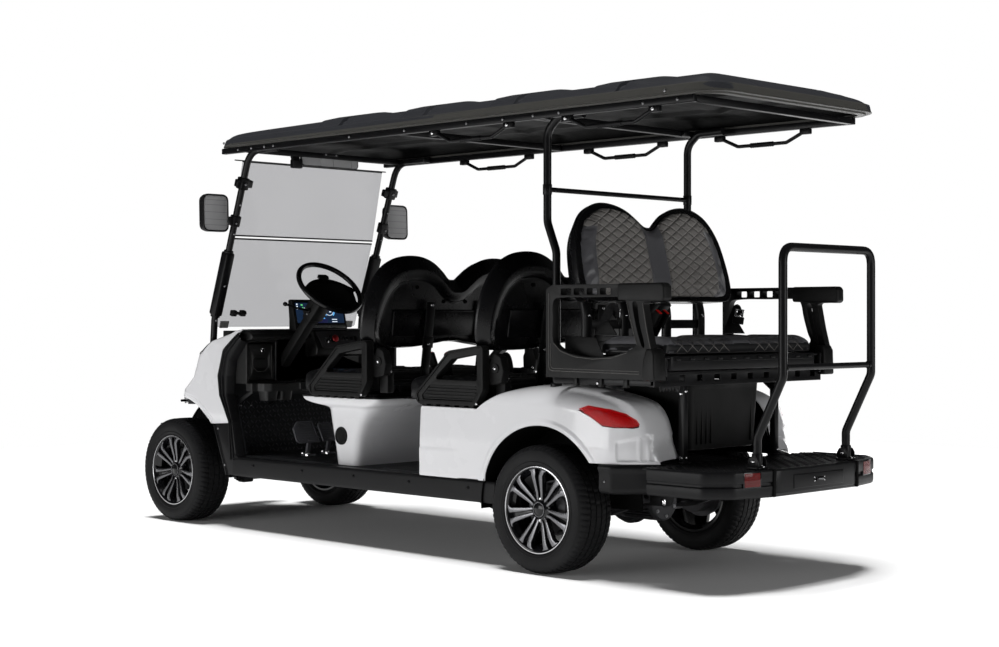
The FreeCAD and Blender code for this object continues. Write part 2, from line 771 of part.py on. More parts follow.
def rear_body_shell():
    half = size("body_half_width")
    wall = size("shell_wall")
    outer = prism_xz([(rx(x), z) for x, z in BODY_OUTLINE], -half, half)
    inner = prism_xz([(rx(x), z) for x, z in BODY_HOLLOW], -half + wall, half - wall)
    inside_corner = body_corner_cut(-wall)
    for corner in both_sides(body_corner_cut(0)):
        outer = outer.cut(corner)
    for corner in both_sides(inside_corner):
        inner = inner.cut(corner)
    bay = block(rx(-700), rx(BAY_FRONT), -BAY_HALF, BAY_HALF, 300, 900)
    bay_lining = block(rx(-700), rx(BAY_FRONT) + wall, -BAY_HALF - wall, BAY_HALF + wall, 300, 900)
    shell = outer.cut(inner.cut(bay_lining)).cut(bay)
    tunnel = cylinder_y(rx(10), AXLE_Z, size("arch_radius"), -half, half)
    shell = shell.cut(tunnel)
    lamp = tail_lamp(GAP)
    for cutter in both_sides(lamp):
        shell = shell.cut(cutter)
    shell = max(shell.Solids, key=lambda solid: solid.Volume)
    feature("rear_body_shell", [shell])
    lamps = [piece.common(outer) for piece in both_sides(tail_lamp(0))]
    feature("tail_lights", [max(piece.Solids, key=lambda solid: solid.Volume) for piece in lamps])
    return outer


def tail_lamp(grow):
    """Lamp that wraps the rear corner of the body, as deep as the corner's slant."""
    half = size("body_half_width")
    outline = [(rx(-207) + 2 * grow, 724), (rx(-258), 742 + grow), (rx(-470) - grow, 725 + grow),
               (rx(-556) - grow, 672), (rx(-556) - grow, 655 - grow), (rx(-358), 652 - grow)]
    band = prism_xz(outline, 440 - grow, half + 10)
    behind = [(rx(-100), half - 34), (rx(-380), half - 34), (rx(-535), 430), (rx(-100), 430)]
    return band.cut(prism_xy(behind, 600, 800))


def rear_corner_trims():
    outline = [(rx(-345), 603), (rx(-398), 603), (rx(-556), 455), (rx(-570), 345), (rx(-552), 345),
               (rx(-540), 448), (rx(-392), 585), (rx(-345), 585)]
    strip = prism_xy(outline, 372, 498 - GAP)
    feature("rear_corner_trims", both_sides(strip))


# ---------------------------------------------------------------- rear seat
# Lower edge of the rear backrest: height, and its middle from the rear axle.
REAR_BACK_BASE = 1180
REAR_BACK_X = -160


def rear_seat(body_solid):
    low = size("rear_frame_bottom")
    high = low + size("rear_frame_height")
    rear_x = rx(-627)
    front_x = rx(-70)
    outer_y = 596
    pieces = [block(rear_x, rear_x + 26, -outer_y, outer_y, low, high - 6),
              block(front_x - 26, front_x, -outer_y, outer_y, low, low + 30)]
    pieces += both_sides(block(rear_x, front_x, outer_y - 36, outer_y, low, low + 26))
    bin_rail_y = size("bin_half_width") + 8
    pieces += both_sides(block(rear_x + 20, front_x, bin_rail_y, bin_rail_y + 30, low, high))
    hinge_x = rx(-size("rear_hinge_reach"))
    hinge_z = size("rear_hinge_z")
    pin = size("hinge_pin_radius")
    lug_y = size("rear_cushion_half_width") + 5
    pieces += both_sides(block(hinge_x - 16, rear_x + 26, lug_y, lug_y + 12, low + 30, hinge_z + 12))
    pieces += both_sides(cylinder_y(hinge_x, hinge_z, pin, size("rear_deck_half_width") - 20, lug_y + 12))
    pieces += both_sides(block(rx(-577), rx(-547), 310, 340, size("step_top") - size("step_wall"), low))
    front_foot = block(front_x - 26, front_x, 300, 335, low - 40, low).cut(body_solid)
    pieces += both_sides(max(front_foot.Solids, key=lambda item: item.CenterOfMass.z))
    feature("rear_seat_frame", [fused(pieces)])

    wall = size("bin_wall")
    half = size("bin_half_width")
    bottom = size("bin_bottom")
    case = block(rx(-540), rx(-150), -half, half, bottom, low)
    hollow = block(rx(-540) + wall, rx(-150) - wall, -half + wall, half - wall, bottom + wall, low + 5)
    rim = both_sides(block(rx(-540), rx(-150), half, half + 30, low - 6, low))
    feature("storage_bin", [fused([case.cut(hollow)] + rim)])

    deck_half = size("rear_deck_half_width")
    deck_top = hinge_z + 9
    deck = block(hinge_x - 12, rx(-252), -deck_half, deck_half, high + GAP, deck_top)
    bore = cylinder_y(hinge_x, hinge_z, pin + size("running_clearance"), deck_half - 24, deck_half + 5)
    for cutter in both_sides(bore):
        deck = deck.cut(cutter)
    feature("rear_seat_deck", [deck])
    cushion_half = size("rear_cushion_half_width")
    cushion_top = size("rear_cushion_top")
    cushion = block(hinge_x - 1, rx(-255), -cushion_half, cushion_half, deck_top + GAP, cushion_top)
    cushion = cushion.makeFillet(16, [edge for edge in cushion.Edges if edge.BoundBox.ZMin > cushion_top - 1])
    feature("rear_seat_cushion", [cushion])

    top = size("rear_back_top")
    valley = size("rear_back_valley")
    base = REAR_BACK_BASE
    left = [(0, valley), (60, valley + 35), (190, top - 20), (297, top), (400, top - 25), (480, top - 110),
            (530, top - 300), (525, base + 40), (470, base)]
    right = [(-y, z) for y, z in reversed(left[1:])]
    thickness = size("back_thickness") - 10
    solid = prism_yz(left + right, -thickness / 2, thickness / 2)
    solid.rotate(vec(0, 0, base), vec(0, 1, 0), size("rear_back_lean"))
    solid.translate(vec(rx(REAR_BACK_X), 0, 0))
    feature("rear_seat_back", [solid])


def rear_seat_sides():
    """Arm, strut and base panel on each side, and the shell that carries the backrest."""
    low = size("rear_frame_bottom") + 26
    outer = [(rx(-64), low), (rx(-64), 1235), (rx(-95), 1248), (rx(-718), 1250), (rx(-718), 1180),
             (rx(-600), 1176), (rx(-640), 984), (rx(-660), 960), (rx(-664), low)]
    window = [(rx(-110), 985), (rx(-110), 1195), (rx(-500), 1190), (rx(-560), 985)]
    inner_y = size("rear_arm_inner_y")
    outer_y = size("rear_arm_outer_y")
    side = prism_xz(outer, inner_y, outer_y).cut(prism_xz(window, inner_y - 8, outer_y + 5))
    foot = block(rx(-560), rx(-120), 560, inner_y + 0.5, low, low + 12)
    feature("rear_seat_arms", both_sides(fused([side, foot])))
    frame_top = size("rear_frame_bottom") + 30
    lean = math.radians(size("rear_back_lean"))
    half_back = (size("back_thickness") - 10) / 2

    def back_face(height):
        """X just ahead of the backrest's hard side at a height."""
        level = height - REAR_BACK_BASE + half_back * math.sin(lean)
        return rx(REAR_BACK_X) + half_back * math.cos(lean) + level * math.tan(lean) + GAP

    posts = []
    for y in (150, 400):
        post = prism_xz([(rx(-96), frame_top), (rx(-70), frame_top), (rx(-70), 1160), (rx(-22), 1400),
                         (back_face(1400), 1400), (back_face(1190), 1190), (rx(-96), 1150)], y - 25, y + 25)
        posts += both_sides(post)
    feature("rear_back_posts", posts)


# ---------------------------------------------------------------- rear step and grab bar
def rear_step():
    top = size("step_top")
    low = top - size("step_height")
    wall = size("step_wall")
    left = [(rx(-590), 600), (rx(-880), 600), (rx(-967), 502), (rx(-1011), 300)]
    outline = left + [(x, -y) for x, y in reversed(left)]
    inner_left = [(rx(-560), 600 - wall), (rx(-874), 600 - wall), (rx(-956), 494), (rx(-997), 300)]
    inner = inner_left + [(x, -y) for x, y in reversed(inner_left)]
    step = prism_xy(outline, low, top).cut(prism_xy(inner, low - 5, top - wall))
    for y in (325, -325):
        step = step.cut(block(rx(-577) - GAP, rx(-547) + GAP, y - 15 - GAP, y + 15 + GAP, low, top + 5))
    feature("rear_step", [step])


def grab_bar():
    y = size("grab_bar_y")
    radius = size("tube_radius")
    top = size("grab_bar_top")
    back = -size("rear_overhang") + radius
    deck = size("step_top")
    foot_x = -941
    left = [(foot_x, deck + 8), (foot_x, 620), (back, 870), (back, top)]
    route = [vec(rx(x), y, z) for x, z in left] + [vec(rx(x), -y, z) for x, z in reversed(left)]
    hoop = tube(route, radius, 55)
    cross = cylinder_y(rx(back), size("grab_bar_cross"), 12, -y, y)
    feet = both_sides(block(rx(foot_x - 30), rx(foot_x + 30), y - 34, y + 34, deck, deck + 8.2))
    feature("grab_bar", [fused([hoop, cross] + feet)])


# ---------------------------------------------------------------- axles, springs and battery
def front_axle():
    y = size("kingpin_y")
    beam = cylinder_y(FRONT_AXLE, AXLE_Z, 28, -y + 5, y - 5)
    pieces = [beam]
    for sign in (1, -1):
        pieces.append(cylinder_z(FRONT_AXLE, sign * y, 24, AXLE_Z - 40, AXLE_Z + 40))
        pad_y = sign * size("rail_y")
        pieces.append(block(FRONT_AXLE - 32, FRONT_AXLE + 32, pad_y - 24, pad_y + 24, AXLE_Z - 36.8, AXLE_Z))
    axle = fused(pieces)
    for sign in (1, -1):
        bore = size("kingpin_radius") + size("running_clearance")
        axle = axle.cut(cylinder_z(FRONT_AXLE, sign * y, bore, 0, 600))
    feature("front_axle", [axle])


def knuckle(label, sign):
    y = size("kingpin_y")
    plate = 14
    high = AXLE_Z + 40 + GAP
    low = AXLE_Z - 40 - GAP
    inner, outer = y - 24, y + 44
    shapes = [
        block(-24, 24, inner, outer, high, high + plate),
        block(-24, 24, inner, outer, low - plate, low),
        block(-24, 24, outer - 16, outer, low - plate, high + plate),
        cylinder_z(0, y, size("kingpin_radius"), low - plate, high + plate),
        cylinder_y(0, AXLE_Z, 26, outer - 1, size("front_wheel_y") - 40),
        cylinder_y(0, AXLE_Z, size("spindle_radius"), outer, size("front_wheel_y") + 32),
        block(-150, -20, y - 14, y + 14, low - plate, low),
    ]
    shape = fused(shapes)
    if sign < 0:
        shape = shape.mirror(vec(0, 0, 0), vec(0, 1, 0))
    shape.translate(vec(FRONT_AXLE, 0, 0))
    feature(label, [shape])


def rear_axle():
    end = size("rear_wheel_y") - 98
    pieces = [cylinder_y(REAR_AXLE, AXLE_Z, 38, -end, end),
              cylinder_y(REAR_AXLE, AXLE_Z, size("spindle_radius"), -size("rear_wheel_y") - 32,
                         size("rear_wheel_y") + 32),
              cylinder_y(REAR_AXLE, AXLE_Z, 105, -60, 60),
              Part.makeCylinder(88, 230, vec(REAR_AXLE - 60, 110, AXLE_Z + 20), vec(-1, 0, 0)),
              block(REAR_AXLE - 120, REAR_AXLE - 40, 20, 150, AXLE_Z - 60, AXLE_Z + 70)]
    for sign in (1, -1):
        pieces.append(cylinder_y(REAR_AXLE, AXLE_Z, 96, min(sign * end, sign * (end + 58)),
                                 max(sign * end, sign * (end + 58))))
        pad_y = sign * 300
        pieces.append(block(REAR_AXLE - 32, REAR_AXLE + 32, pad_y - 24, pad_y + 24, AXLE_Z - 36.8, AXLE_Z))
    feature("rear_axle", [fused(pieces)])


def leaf_spring_pair(axle_x, y, hanger_top, hanger_y):
    """A bowed leaf under the axle on each side, with a hanger at each end."""
    reach = 330
    thickness = 14
    top = AXLE_Z - 38
    rise = 84
    tip = top + rise
    low_tip = tip - thickness
    upper = Part.Arc(vec(axle_x - reach, 0, tip), vec(axle_x, 0, top), vec(axle_x + reach, 0, tip))
    lower = Part.Arc(vec(axle_x + reach, 0, low_tip), vec(axle_x, 0, top - thickness),
                     vec(axle_x - reach, 0, low_tip))
    ends = [Part.LineSegment(vec(axle_x + reach, 0, tip), vec(axle_x + reach, 0, low_tip)),
            Part.LineSegment(vec(axle_x - reach, 0, low_tip), vec(axle_x - reach, 0, tip))]
    loop = Part.Wire([upper.toShape(), ends[0].toShape(), lower.toShape(), ends[1].toShape()])
    leaf = Part.Face(loop).extrude(vec(0, 46, 0))
    leaf.translate(vec(0, y - 23, 0))
    pieces = [leaf]
    for end_x in (axle_x - reach, axle_x + reach):
        pieces.append(block(end_x - 14, end_x + 14, hanger_y[0], hanger_y[1], top + rise - 26, hanger_top))
    return both_sides(fused(pieces))


def leaf_springs():
    rail_inner = size("rail_y") - size("rail_width") / 2
    rail_outer = size("rail_y") + size("rail_width") / 2
    front = leaf_spring_pair(FRONT_AXLE, size("rail_y"), 400, (rail_inner + 2, rail_outer - 2))
    rear = leaf_spring_pair(REAR_AXLE, 300, 470, (rail_outer, 323))
    feature("leaf_springs", front + rear)


def battery_pack():
    body = doc.addObject("Part::Box", "battery_pack")
    body.setExpression("Length", "300")
    body.setExpression("Width", "700")
    body.setExpression("Height", "240")
    body.Placement.Base = vec(rx(430), -350, size("floor_top"))
    keep(body, "battery_pack")


# ---------------------------------------------------------------- wheels
def wheel_placement(x, y):
    """Wheels are drawn about their own centre with +Y outwards."""
    turn = FreeCAD.Rotation(vec(0, 0, 1), 0 if y > 0 else 180)
    return FreeCAD.Placement(vec(x, y, AXLE_Z), turn)


def rim(label, place):
    """Alloy rim: revolved barrel and face with windows between double spokes."""
    half = size("rim_width") / 2
    flange = size("rim_flange")
    outer = size("rim_radius")
    barrel = size("barrel_radius")
    inside = barrel - size("rim_wall")
    bore = size("spindle_radius") + size("running_clearance")
    hub = size("hub_radius")
    profile = [(0, 40), (bore, 40), (bore, -38), (hub, -38), (hub, 48), (inside, 62), (inside, -half),
               (outer, -half), (outer, -half + flange), (barrel, -half + flange), (barrel, half - flange),
               (outer, half - flange), (outer, half), (inside + 4, half), (inside - 2, 80), (64, 69),
               (44, 74), (0, 74)]
    body = doc.addObject("PartDesign::Body", label)
    section = sketch_on(body, "XY_Plane", label + "_section", [profile])
    turned = body.newObject("PartDesign::Revolution", label + "_turned")
    turned.Profile = section
    turned.ReferenceAxis = (section, ["V_Axis"])
    turned.Angle = 360
    section.Visibility = False
    count = size("spoke_count")
    step = 360 / count
    cuts = (
        # name, inner radius, outer radius, inner half angle, outer half angle, turn
        ("window", 66, 160, 9.5, 15.5, step / 2),
        ("slot", 86, 158, 1.6, 3.4, 0),
    )
    for name, low_r, high_r, low_half, high_half, turn in cuts:
        corners = []
        for radius, angle in ((low_r, -low_half), (high_r, -high_half), (high_r + 5, 0), (high_r, high_half),
                              (low_r, low_half)):
            at = math.radians(turn + angle)
            corners.append((radius * math.cos(at), radius * math.sin(at)))
        sketch = sketch_on(body, "XZ_Plane", label + "_" + name, [corners])
        pocket = body.newObject("PartDesign::Pocket", label + "_" + name + "_cut")
        pocket.Profile = sketch
        pocket.Length = 100
        pocket.Reversed = False
        sketch.Visibility = False
        body.Tip = pocket
        doc.recompute()
        pattern = body.newObject("PartDesign::PolarPattern", label + "_" + name + "_ring")
        pattern.Originals = [pocket]
        pattern.Axis = (sketch, ["N_Axis"])
        pattern.Angle = 360
        pattern.setExpression("Occurrences", "Sizes.spoke_count")
        body.Tip = pattern
        doc.recompute()
    body.Placement = place
    keep(body, label)


def tyre(label, place):
    """Tyre section: bead inside the rim's flanges, bulging sidewall and crowned tread."""
    half = size("tyre_width") / 2
    radius = size("tyre_radius")
    bead = size("rim_width") / 2 - size("rim_flange") - GAP
    inner = size("barrel_radius") + GAP
    flange = size("rim_radius") + 1
    outer_wall = [(inner, bead), (flange, bead), (flange + 12, half - 6), (flange + 40, half),
                  (radius - 20, half - 6), (radius - 6, half - 16), (radius, half - 34)]
    profile = [(r, -y) for r, y in outer_wall] + outer_wall[::-1]
    body = doc.addObject("PartDesign::Body", label)
    section = sketch_on(body, "XY_Plane", label + "_section", [profile])
    turned = body.newObject("PartDesign::Revolution", label + "_turned")
    turned.Profile = section
    turned.ReferenceAxis = (section, ["V_Axis"])
    turned.Angle = 360
    section.Visibility = False
    body.Placement = place
    keep(body, label)


def wheels():
    corners = (
        # name, x, y
        ("front_left", FRONT_AXLE, size("front_wheel_y")),
        ("front_right", FRONT_AXLE, -size("front_wheel_y")),
        ("rear_left", REAR_AXLE, size("rear_wheel_y")),
        ("rear_right", REAR_AXLE, -size("rear_wheel_y")),
    )
    for name, x, y in corners:
        place = wheel_placement(x, y)
        rim(name + "_rim", place)
        tyre(name + "_tyre", place)


# ---------------------------------------------------------------- build and write
chassis_frame()
floor_pan()
sills()
cowl_solid = front_cowl()
door_surrounds()
front_bumper()
dashboard()
dash_display()
pedals()
steering()
pillars(cowl_solid)
windshield()
mirrors()
roof()
front_seat_pod()
body_solid = rear_body_shell()
seats(body_solid)
canopy_frame(body_solid)
roof_handles()
rear_corner_trims()
rear_seat(body_solid)
rear_seat_sides()
rear_step()
grab_bar()
front_axle()
knuckle("left_knuckle", 1)
knuckle("right_knuckle", -1)
rear_axle()
leaf_springs()
battery_pack()
wheels()
doc.recompute()

for item in doc.Objects:
    if "Invalid" in item.State or "Error" in item.State:
        raise RuntimeError("%s failed: %s" % (item.Label, item.State))
for item in nodes:
    if item.Shape.isNull() or not item.Shape.isValid() or not item.Shape.Solids:
        raise RuntimeError("%s has no valid solid" % item.Label)
for item in nodes:
    item.Shape.exportStep("parts/%s.step" % item.Label)
print(len(nodes), "sub-parts")
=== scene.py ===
"""Looks of a six-seat golf cart: every visible piece with its finish, then the floor, lights and camera.

Metres in the row frame: +X forward, +Y to the left, +Z up.  back() and fore() take millimetres measured
forward of the rear and of the front axle, so the pieces stay with the construction they stand for.
"""

import math

import bpy
from mathutils import Matrix, Vector


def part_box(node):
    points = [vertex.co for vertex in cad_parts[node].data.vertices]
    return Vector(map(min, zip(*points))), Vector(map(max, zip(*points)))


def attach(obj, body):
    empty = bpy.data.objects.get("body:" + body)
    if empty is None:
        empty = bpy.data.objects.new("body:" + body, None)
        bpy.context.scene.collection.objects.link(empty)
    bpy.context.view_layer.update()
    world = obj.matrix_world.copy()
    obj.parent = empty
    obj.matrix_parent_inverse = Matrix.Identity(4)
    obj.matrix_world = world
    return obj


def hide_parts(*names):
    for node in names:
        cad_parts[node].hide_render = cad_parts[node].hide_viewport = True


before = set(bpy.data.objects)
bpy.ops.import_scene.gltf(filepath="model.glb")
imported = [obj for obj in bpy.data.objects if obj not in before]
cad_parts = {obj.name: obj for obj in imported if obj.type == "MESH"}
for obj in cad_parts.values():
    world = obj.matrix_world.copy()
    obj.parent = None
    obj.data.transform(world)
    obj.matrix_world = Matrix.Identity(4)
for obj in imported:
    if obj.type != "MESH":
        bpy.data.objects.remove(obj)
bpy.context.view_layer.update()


def middle(node):
    low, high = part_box(node)
    return (low + high) / 2


REAR = middle("rear_left_tyre").x
FRONT = middle("front_left_tyre").x
AXLE_Z = middle("rear_left_tyre").z


def back(x, y=0.0, z=0.0):
    """A point given forward of the rear axle, in millimetres."""
    return Vector((REAR + x / 1000, y / 1000, z / 1000))


def fore(x, y=0.0, z=0.0):
    """A point given forward of the front axle, in millimetres."""
    return Vector((FRONT + x / 1000, y / 1000, z / 1000))


# ---------------------------------------------------------------- selecting, joining, copying
def nothing():
    """Object mode with nothing selected."""
    if bpy.context.object is not None and bpy.context.object.mode != "OBJECT":
        bpy.ops.object.mode_set(mode="OBJECT")
    bpy.ops.object.select_all(action="DESELECT")


def pick(obj):
    nothing()
    obj.select_set(True)
    bpy.context.view_layer.objects.active = obj
    return obj


def edit(obj):
    """Edit mode with all of obj selected."""
    pick(obj)
    bpy.ops.object.mode_set(mode="EDIT")
    bpy.ops.mesh.select_all(action="SELECT")


def outward(obj):
    """Doubles merged and the faces of a closed shape turned outwards."""
    edit(obj)
    bpy.ops.mesh.remove_doubles(threshold=0.00002)
    bpy.ops.mesh.normals_make_consistent(inside=False)
    nothing()
    return obj


def apply(obj, kind, **settings):
    """One modifier with its settings, applied."""
    pick(obj)
    modifier = obj.modifiers.new(kind.title(), kind)
    for key, value in settings.items():
        setattr(modifier, key, value)
    bpy.ops.object.modifier_apply(modifier=modifier.name)
    return obj


def smooth(obj, angle=35):
    pick(obj)
    bpy.ops.object.shade_smooth_by_angle(angle=math.radians(angle))
    return obj


def soften(obj, width, segments=2, angle=30):
    """Edges rounded by a bevel."""
    if width > 0:
        apply(obj, "BEVEL", width=width, segments=segments, limit_method="ANGLE",
              angle_limit=math.radians(angle))
    return smooth(obj, 40)


def cut(obj, *cutters, way="DIFFERENCE"):
    for cutter in cutters:
        apply(obj, "BOOLEAN", operation=way, object=cutter, solver="EXACT")
        bpy.data.objects.remove(cutter)
    return obj


def twin(obj, matrix=None):
    """A copy with its own mesh, moved by matrix."""
    copy = obj.copy()
    copy.data = obj.data.copy()
    bpy.context.scene.collection.objects.link(copy)
    if matrix is not None:
        copy.data.transform(matrix)
        if matrix.determinant() < 0:
            edit(copy)
            bpy.ops.mesh.flip_normals()
            nothing()
    return copy


def shift(x=0.0, y=0.0, z=0.0):
    return Matrix.Translation((x, y, z))


def about(point, angle, axis):
    """A turn in degrees about an axis through a point."""
    turn = Matrix.Rotation(math.radians(angle), 4, axis)
    return Matrix.Translation(point) @ turn @ Matrix.Translation(-Vector(point))


MIRROR = Matrix.Scale(-1, 4, (0, 1, 0))


def join(*objs):
    nothing()
    for obj in objs:
        obj.select_set(True)
    bpy.context.view_layer.objects.active = objs[0]
    if len(objs) > 1:
        bpy.ops.object.join()
    return objs[0]


def both(obj):
    """The piece and its mirror image on the other side."""
    return join(obj, twin(obj, MIRROR))


def piece(obj, name, body="cart", stands_for=()):
    obj.name = name
    obj.data.name = name
    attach(obj, body)
    if stands_for:
        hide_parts(*([stands_for] if isinstance(stands_for, str) else stands_for))
    return obj


# ---------------------------------------------------------------- lines and outlines
def fillet(points, radius, steps=4, closed=True):
    """A line with its corners rounded.  A point may carry its own radius after its coordinates."""
    size = 3 if not closed else 2
    result = []
    count = len(points)
    for i, point in enumerate(points):
        here = Vector(point[:size])
        if not closed and i in (0, count - 1):
            result.append(here)
            continue
        before, after = Vector(points[i - 1][:size]), Vector(points[(i + 1) % count][:size])
        bend = point[size] if len(point) > size else radius
        u, v = before - here, after - here
        turn = u.angle(v)
        if bend <= 0 or turn > 3.1:
            result.append(here)
            continue
        reach = min(bend / math.tan(turn / 2), 0.46 * u.length, 0.46 * v.length)
        first, last = here + u.normalized() * reach, here + v.normalized() * reach
        for k in range(steps + 1):
            t = k / steps
            result.append(first * (1 - t) ** 2 + here * 2 * t * (1 - t) + last * t * t)
    return result


def pairs(points):
    """Points as plain (first, second) pairs."""
    return [(p.x, p.y) for p in points]


def metres(outline):
    """Pairs in millimetres as pairs in metres."""
    return [(a / 1000, b / 1000) for a, b in outline]


def flow(points, count):
    """A smooth line through the points, as count points evenly spaced along it."""
    pts = [Vector(p) for p in points]
    if len(pts) > 2:
        ends = [pts[0] * 2 - pts[1], *pts, pts[-1] * 2 - pts[-2]]
        dense = []
        for i in range(1, len(ends) - 2):
            a, b, c, d = ends[i - 1 : i + 3]
            for k in range(24):
                t = k / 24
                dense.append(0.5 * (2 * b + (c - a) * t + (2 * a - 5 * b + 4 * c - d) * t * t
                                    + (3 * b - a - 3 * c + d) * t ** 3))
        pts = [*dense, pts[-1]]
    return spread(pts, count)


def spread(points, count):
    """Count points evenly spaced along a broken line."""
    pts = [Vector(p) for p in points]
    lengths = [0.0]
    for a, b in zip(pts, pts[1:]):
        lengths.append(lengths[-1] + (b - a).length)
    result, i = [], 0
    for k in range(count):
        goal = lengths[-1] * k / (count - 1)
        while i < len(pts) - 2 and lengths[i + 1] < goal:
            i += 1
        span = lengths[i + 1] - lengths[i] or 1
        result.append(pts[i].lerp(pts[i + 1], min(1, max(0, (goal - lengths[i]) / span))))
    return result


def ease(value, low, high):
    """0 below low, 1 above high, and a smooth step between."""
    t = min(1, max(0, (value - low) / (high - low)))
    return t * t * (3 - 2 * t)


def between(points, x):
    """Height of a broken line of (x, height) pairs at x."""
    pts = sorted(points)
    for a, b in zip(pts, pts[1:]):
        if x <= b[0]:
            return a[1] + (b[1] - a[1]) * min(1, max(0, (x - a[0]) / (b[0] - a[0] or 1)))
    return pts[-1][1]


# ---------------------------------------------------------------- shapes
AXES = {"x": (1, 2, 0), "y": (0, 2, 1), "z": (0, 1, 2)}


def lift(pair, along, level):
    """A pair of an outline as a point, at a level along an axis."""
    p = [0.0, 0.0, 0.0]
    first, second, third = AXES[along]
    p[first], p[second], p[third] = pair[0], pair[1], level
    return Vector(p)


def plate(outline, along, low, high, edge=0.003, segments=2, angle=30):
    """An outline of pairs extruded along an axis, its edges bevelled."""
    bpy.ops.mesh.primitive_circle_add(vertices=len(outline), radius=1, fill_type="NGON")
    obj = bpy.context.object
    for vertex, pair in zip(obj.data.vertices, outline):
        vertex.co = lift(pair, along, low)
    edit(obj)
    bpy.ops.mesh.extrude_region_move(TRANSFORM_OT_translate={"value": lift((0, 0), along, high - low)})
    bpy.ops.mesh.select_all(action="SELECT")
    bpy.ops.mesh.normals_make_consistent(inside=False)
    nothing()
    return soften(obj, edge, segments, angle)


def box(low, high, edge=0.003, segments=2):
    low, high = Vector(low), Vector(high)
    bpy.ops.mesh.primitive_cube_add(size=1, location=(low + high) / 2)
    obj = bpy.context.object
    obj.scale = high - low
    bpy.ops.object.transform_apply(location=True, rotation=True, scale=True)
    return soften(obj, edge, segments)


def standing(place, direction):
    """The matrix that stands a part made at the origin facing +Z at a place, facing a direction."""
    return Matrix.Translation(Vector(place)) @ Vector(direction).to_track_quat("Z", "Y").to_matrix().to_4x4()


def rod(start, end, radius, sides=24, edge=0.0, end_radius=None):
    """A round bar, or a cone, between two points."""
    start, end = Vector(start), Vector(end)
    along = end - start
    last_radius = radius if end_radius is None else end_radius
    bpy.ops.mesh.primitive_cone_add(vertices=sides, radius1=radius, radius2=last_radius, depth=along.length)
    obj = bpy.context.object
    obj.data.transform(standing((start + end) / 2, along))
    obj.matrix_world = Matrix.Identity(4)
    return soften(obj, edge, 2)


def tube(points, radius, bend=0.0, sides=12, closed=False, steps=5):
    """A round tube through points, with its bends rounded."""
    path = fillet(points, bend, steps, closed=False) if bend and not closed else [Vector(p) for p in points]
    bpy.ops.curve.primitive_nurbs_path_add()
    curve = bpy.context.object
    line = curve.data
    line.splines.clear()
    spline = line.splines.new("POLY")
    spline.points.add(len(path) - 1)
    for point, place in zip(spline.points, path):
        point.co = (*place, 1)
    spline.use_cyclic_u = closed
    line.dimensions = "3D"
    line.bevel_depth = radius
    line.bevel_resolution = max(1, sides // 2 - 2)
    line.use_fill_caps = not closed
    line.twist_mode = "MINIMUM"
    pick(curve)
    bpy.ops.object.convert(target="MESH")
    obj = bpy.context.object
    outward(obj)
    return smooth(obj, 50)


def flat_bar(points, width, height, bend=0.0, up=(0, 0, 1), edge=0.002):
    """A bar of rectangular section through points."""
    path = fillet(points, bend, 5, closed=False) if bend else [Vector(p) for p in points]
    rows = []
    for i, here in enumerate(path):
        ahead = (path[min(i + 1, len(path) - 1)] - path[max(i - 1, 0)]).normalized()
        side = ahead.cross(Vector(up)).normalized()
        top = side.cross(ahead).normalized()
        if 0 < i < len(path) - 1:
            half = (path[i + 1] - here).angle(here - path[i - 1]) / 2
            top = top / max(0.6, math.cos(half))
        rows.append([here + side * a * width / 2 + top * b * height / 2 for a,
                     b in ((-1, -1), (1, -1), (1, 1), (-1, 1), (-1, -1))])
    obj = skin(rows)
    close_ends(obj)
    return soften(obj, edge, 2, 40)


def close_ends(obj):
    """The open loops of a mesh filled and its faces turned outwards."""
    edit(obj)
    bpy.ops.mesh.remove_doubles(threshold=0.00002)
    bpy.ops.mesh.select_all(action="DESELECT")
    bpy.ops.mesh.select_non_manifold()
    bpy.ops.mesh.edge_face_add()
    bpy.ops.mesh.select_all(action="SELECT")
    bpy.ops.mesh.normals_make_consistent(inside=False)
    nothing()
    return obj


def skin(rows, facing=None):
    """A sheet through rows of points, turned to face a direction if one is given."""
    across, along = len(rows[0]), len(rows)
    bpy.ops.mesh.primitive_grid_add(x_subdivisions=across - 1, y_subdivisions=along - 1)
    obj = bpy.context.object
    obj.matrix_world = Matrix.Identity(4)
    obj.data.vertices.foreach_set("co", [c for row in rows for p in row for c in p])
    obj.data.update()
    if facing is not None:
        total = sum((face.normal * face.area for face in obj.data.polygons), Vector())
        if total.dot(Vector(facing)) < 0:
            edit(obj)
            bpy.ops.mesh.flip_normals()
            nothing()
    return obj


def wall(obj, thickness):
    """A sheet given its thickness, inwards."""
    apply(obj, "SOLIDIFY", thickness=thickness, offset=-1, use_even_offset=True)
    return smooth(obj, 40)


def lathe(profile, centre, axis="Y", steps=48):
    """A closed profile of (radius, distance) pairs spun about an axis through centre."""
    bpy.ops.mesh.primitive_circle_add(vertices=len(profile), radius=1, fill_type="NOTHING")
    obj = bpy.context.object
    turn = {"Y": Matrix.Rotation(math.radians(-90), 3, "X"), "X": Matrix.Rotation(math.radians(90), 3, "Y"),
            "Z": Matrix.Identity(3)}
    turn = turn[axis] if isinstance(axis, str) else Vector(axis).to_track_quat("Z", "Y").to_matrix()
    centre = Vector(centre)
    for vertex, (radius, along) in zip(obj.data.vertices, profile):
        vertex.co = centre + turn @ Vector((radius, 0, along))
    edit(obj)
    bpy.ops.mesh.spin(steps=steps, angle=2 * math.pi, center=centre, axis=turn @ Vector((0, 0, 1)))
    nothing()
    outward(obj)
    return smooth(obj, 35)


def ring_of(obj, count, centre, axis):
    """Copies of obj evenly spaced about an axis, joined."""
    copies = [twin(obj, about(centre, 360 * k / count, axis)) for k in range(1, count)]
    return join(obj, *copies)


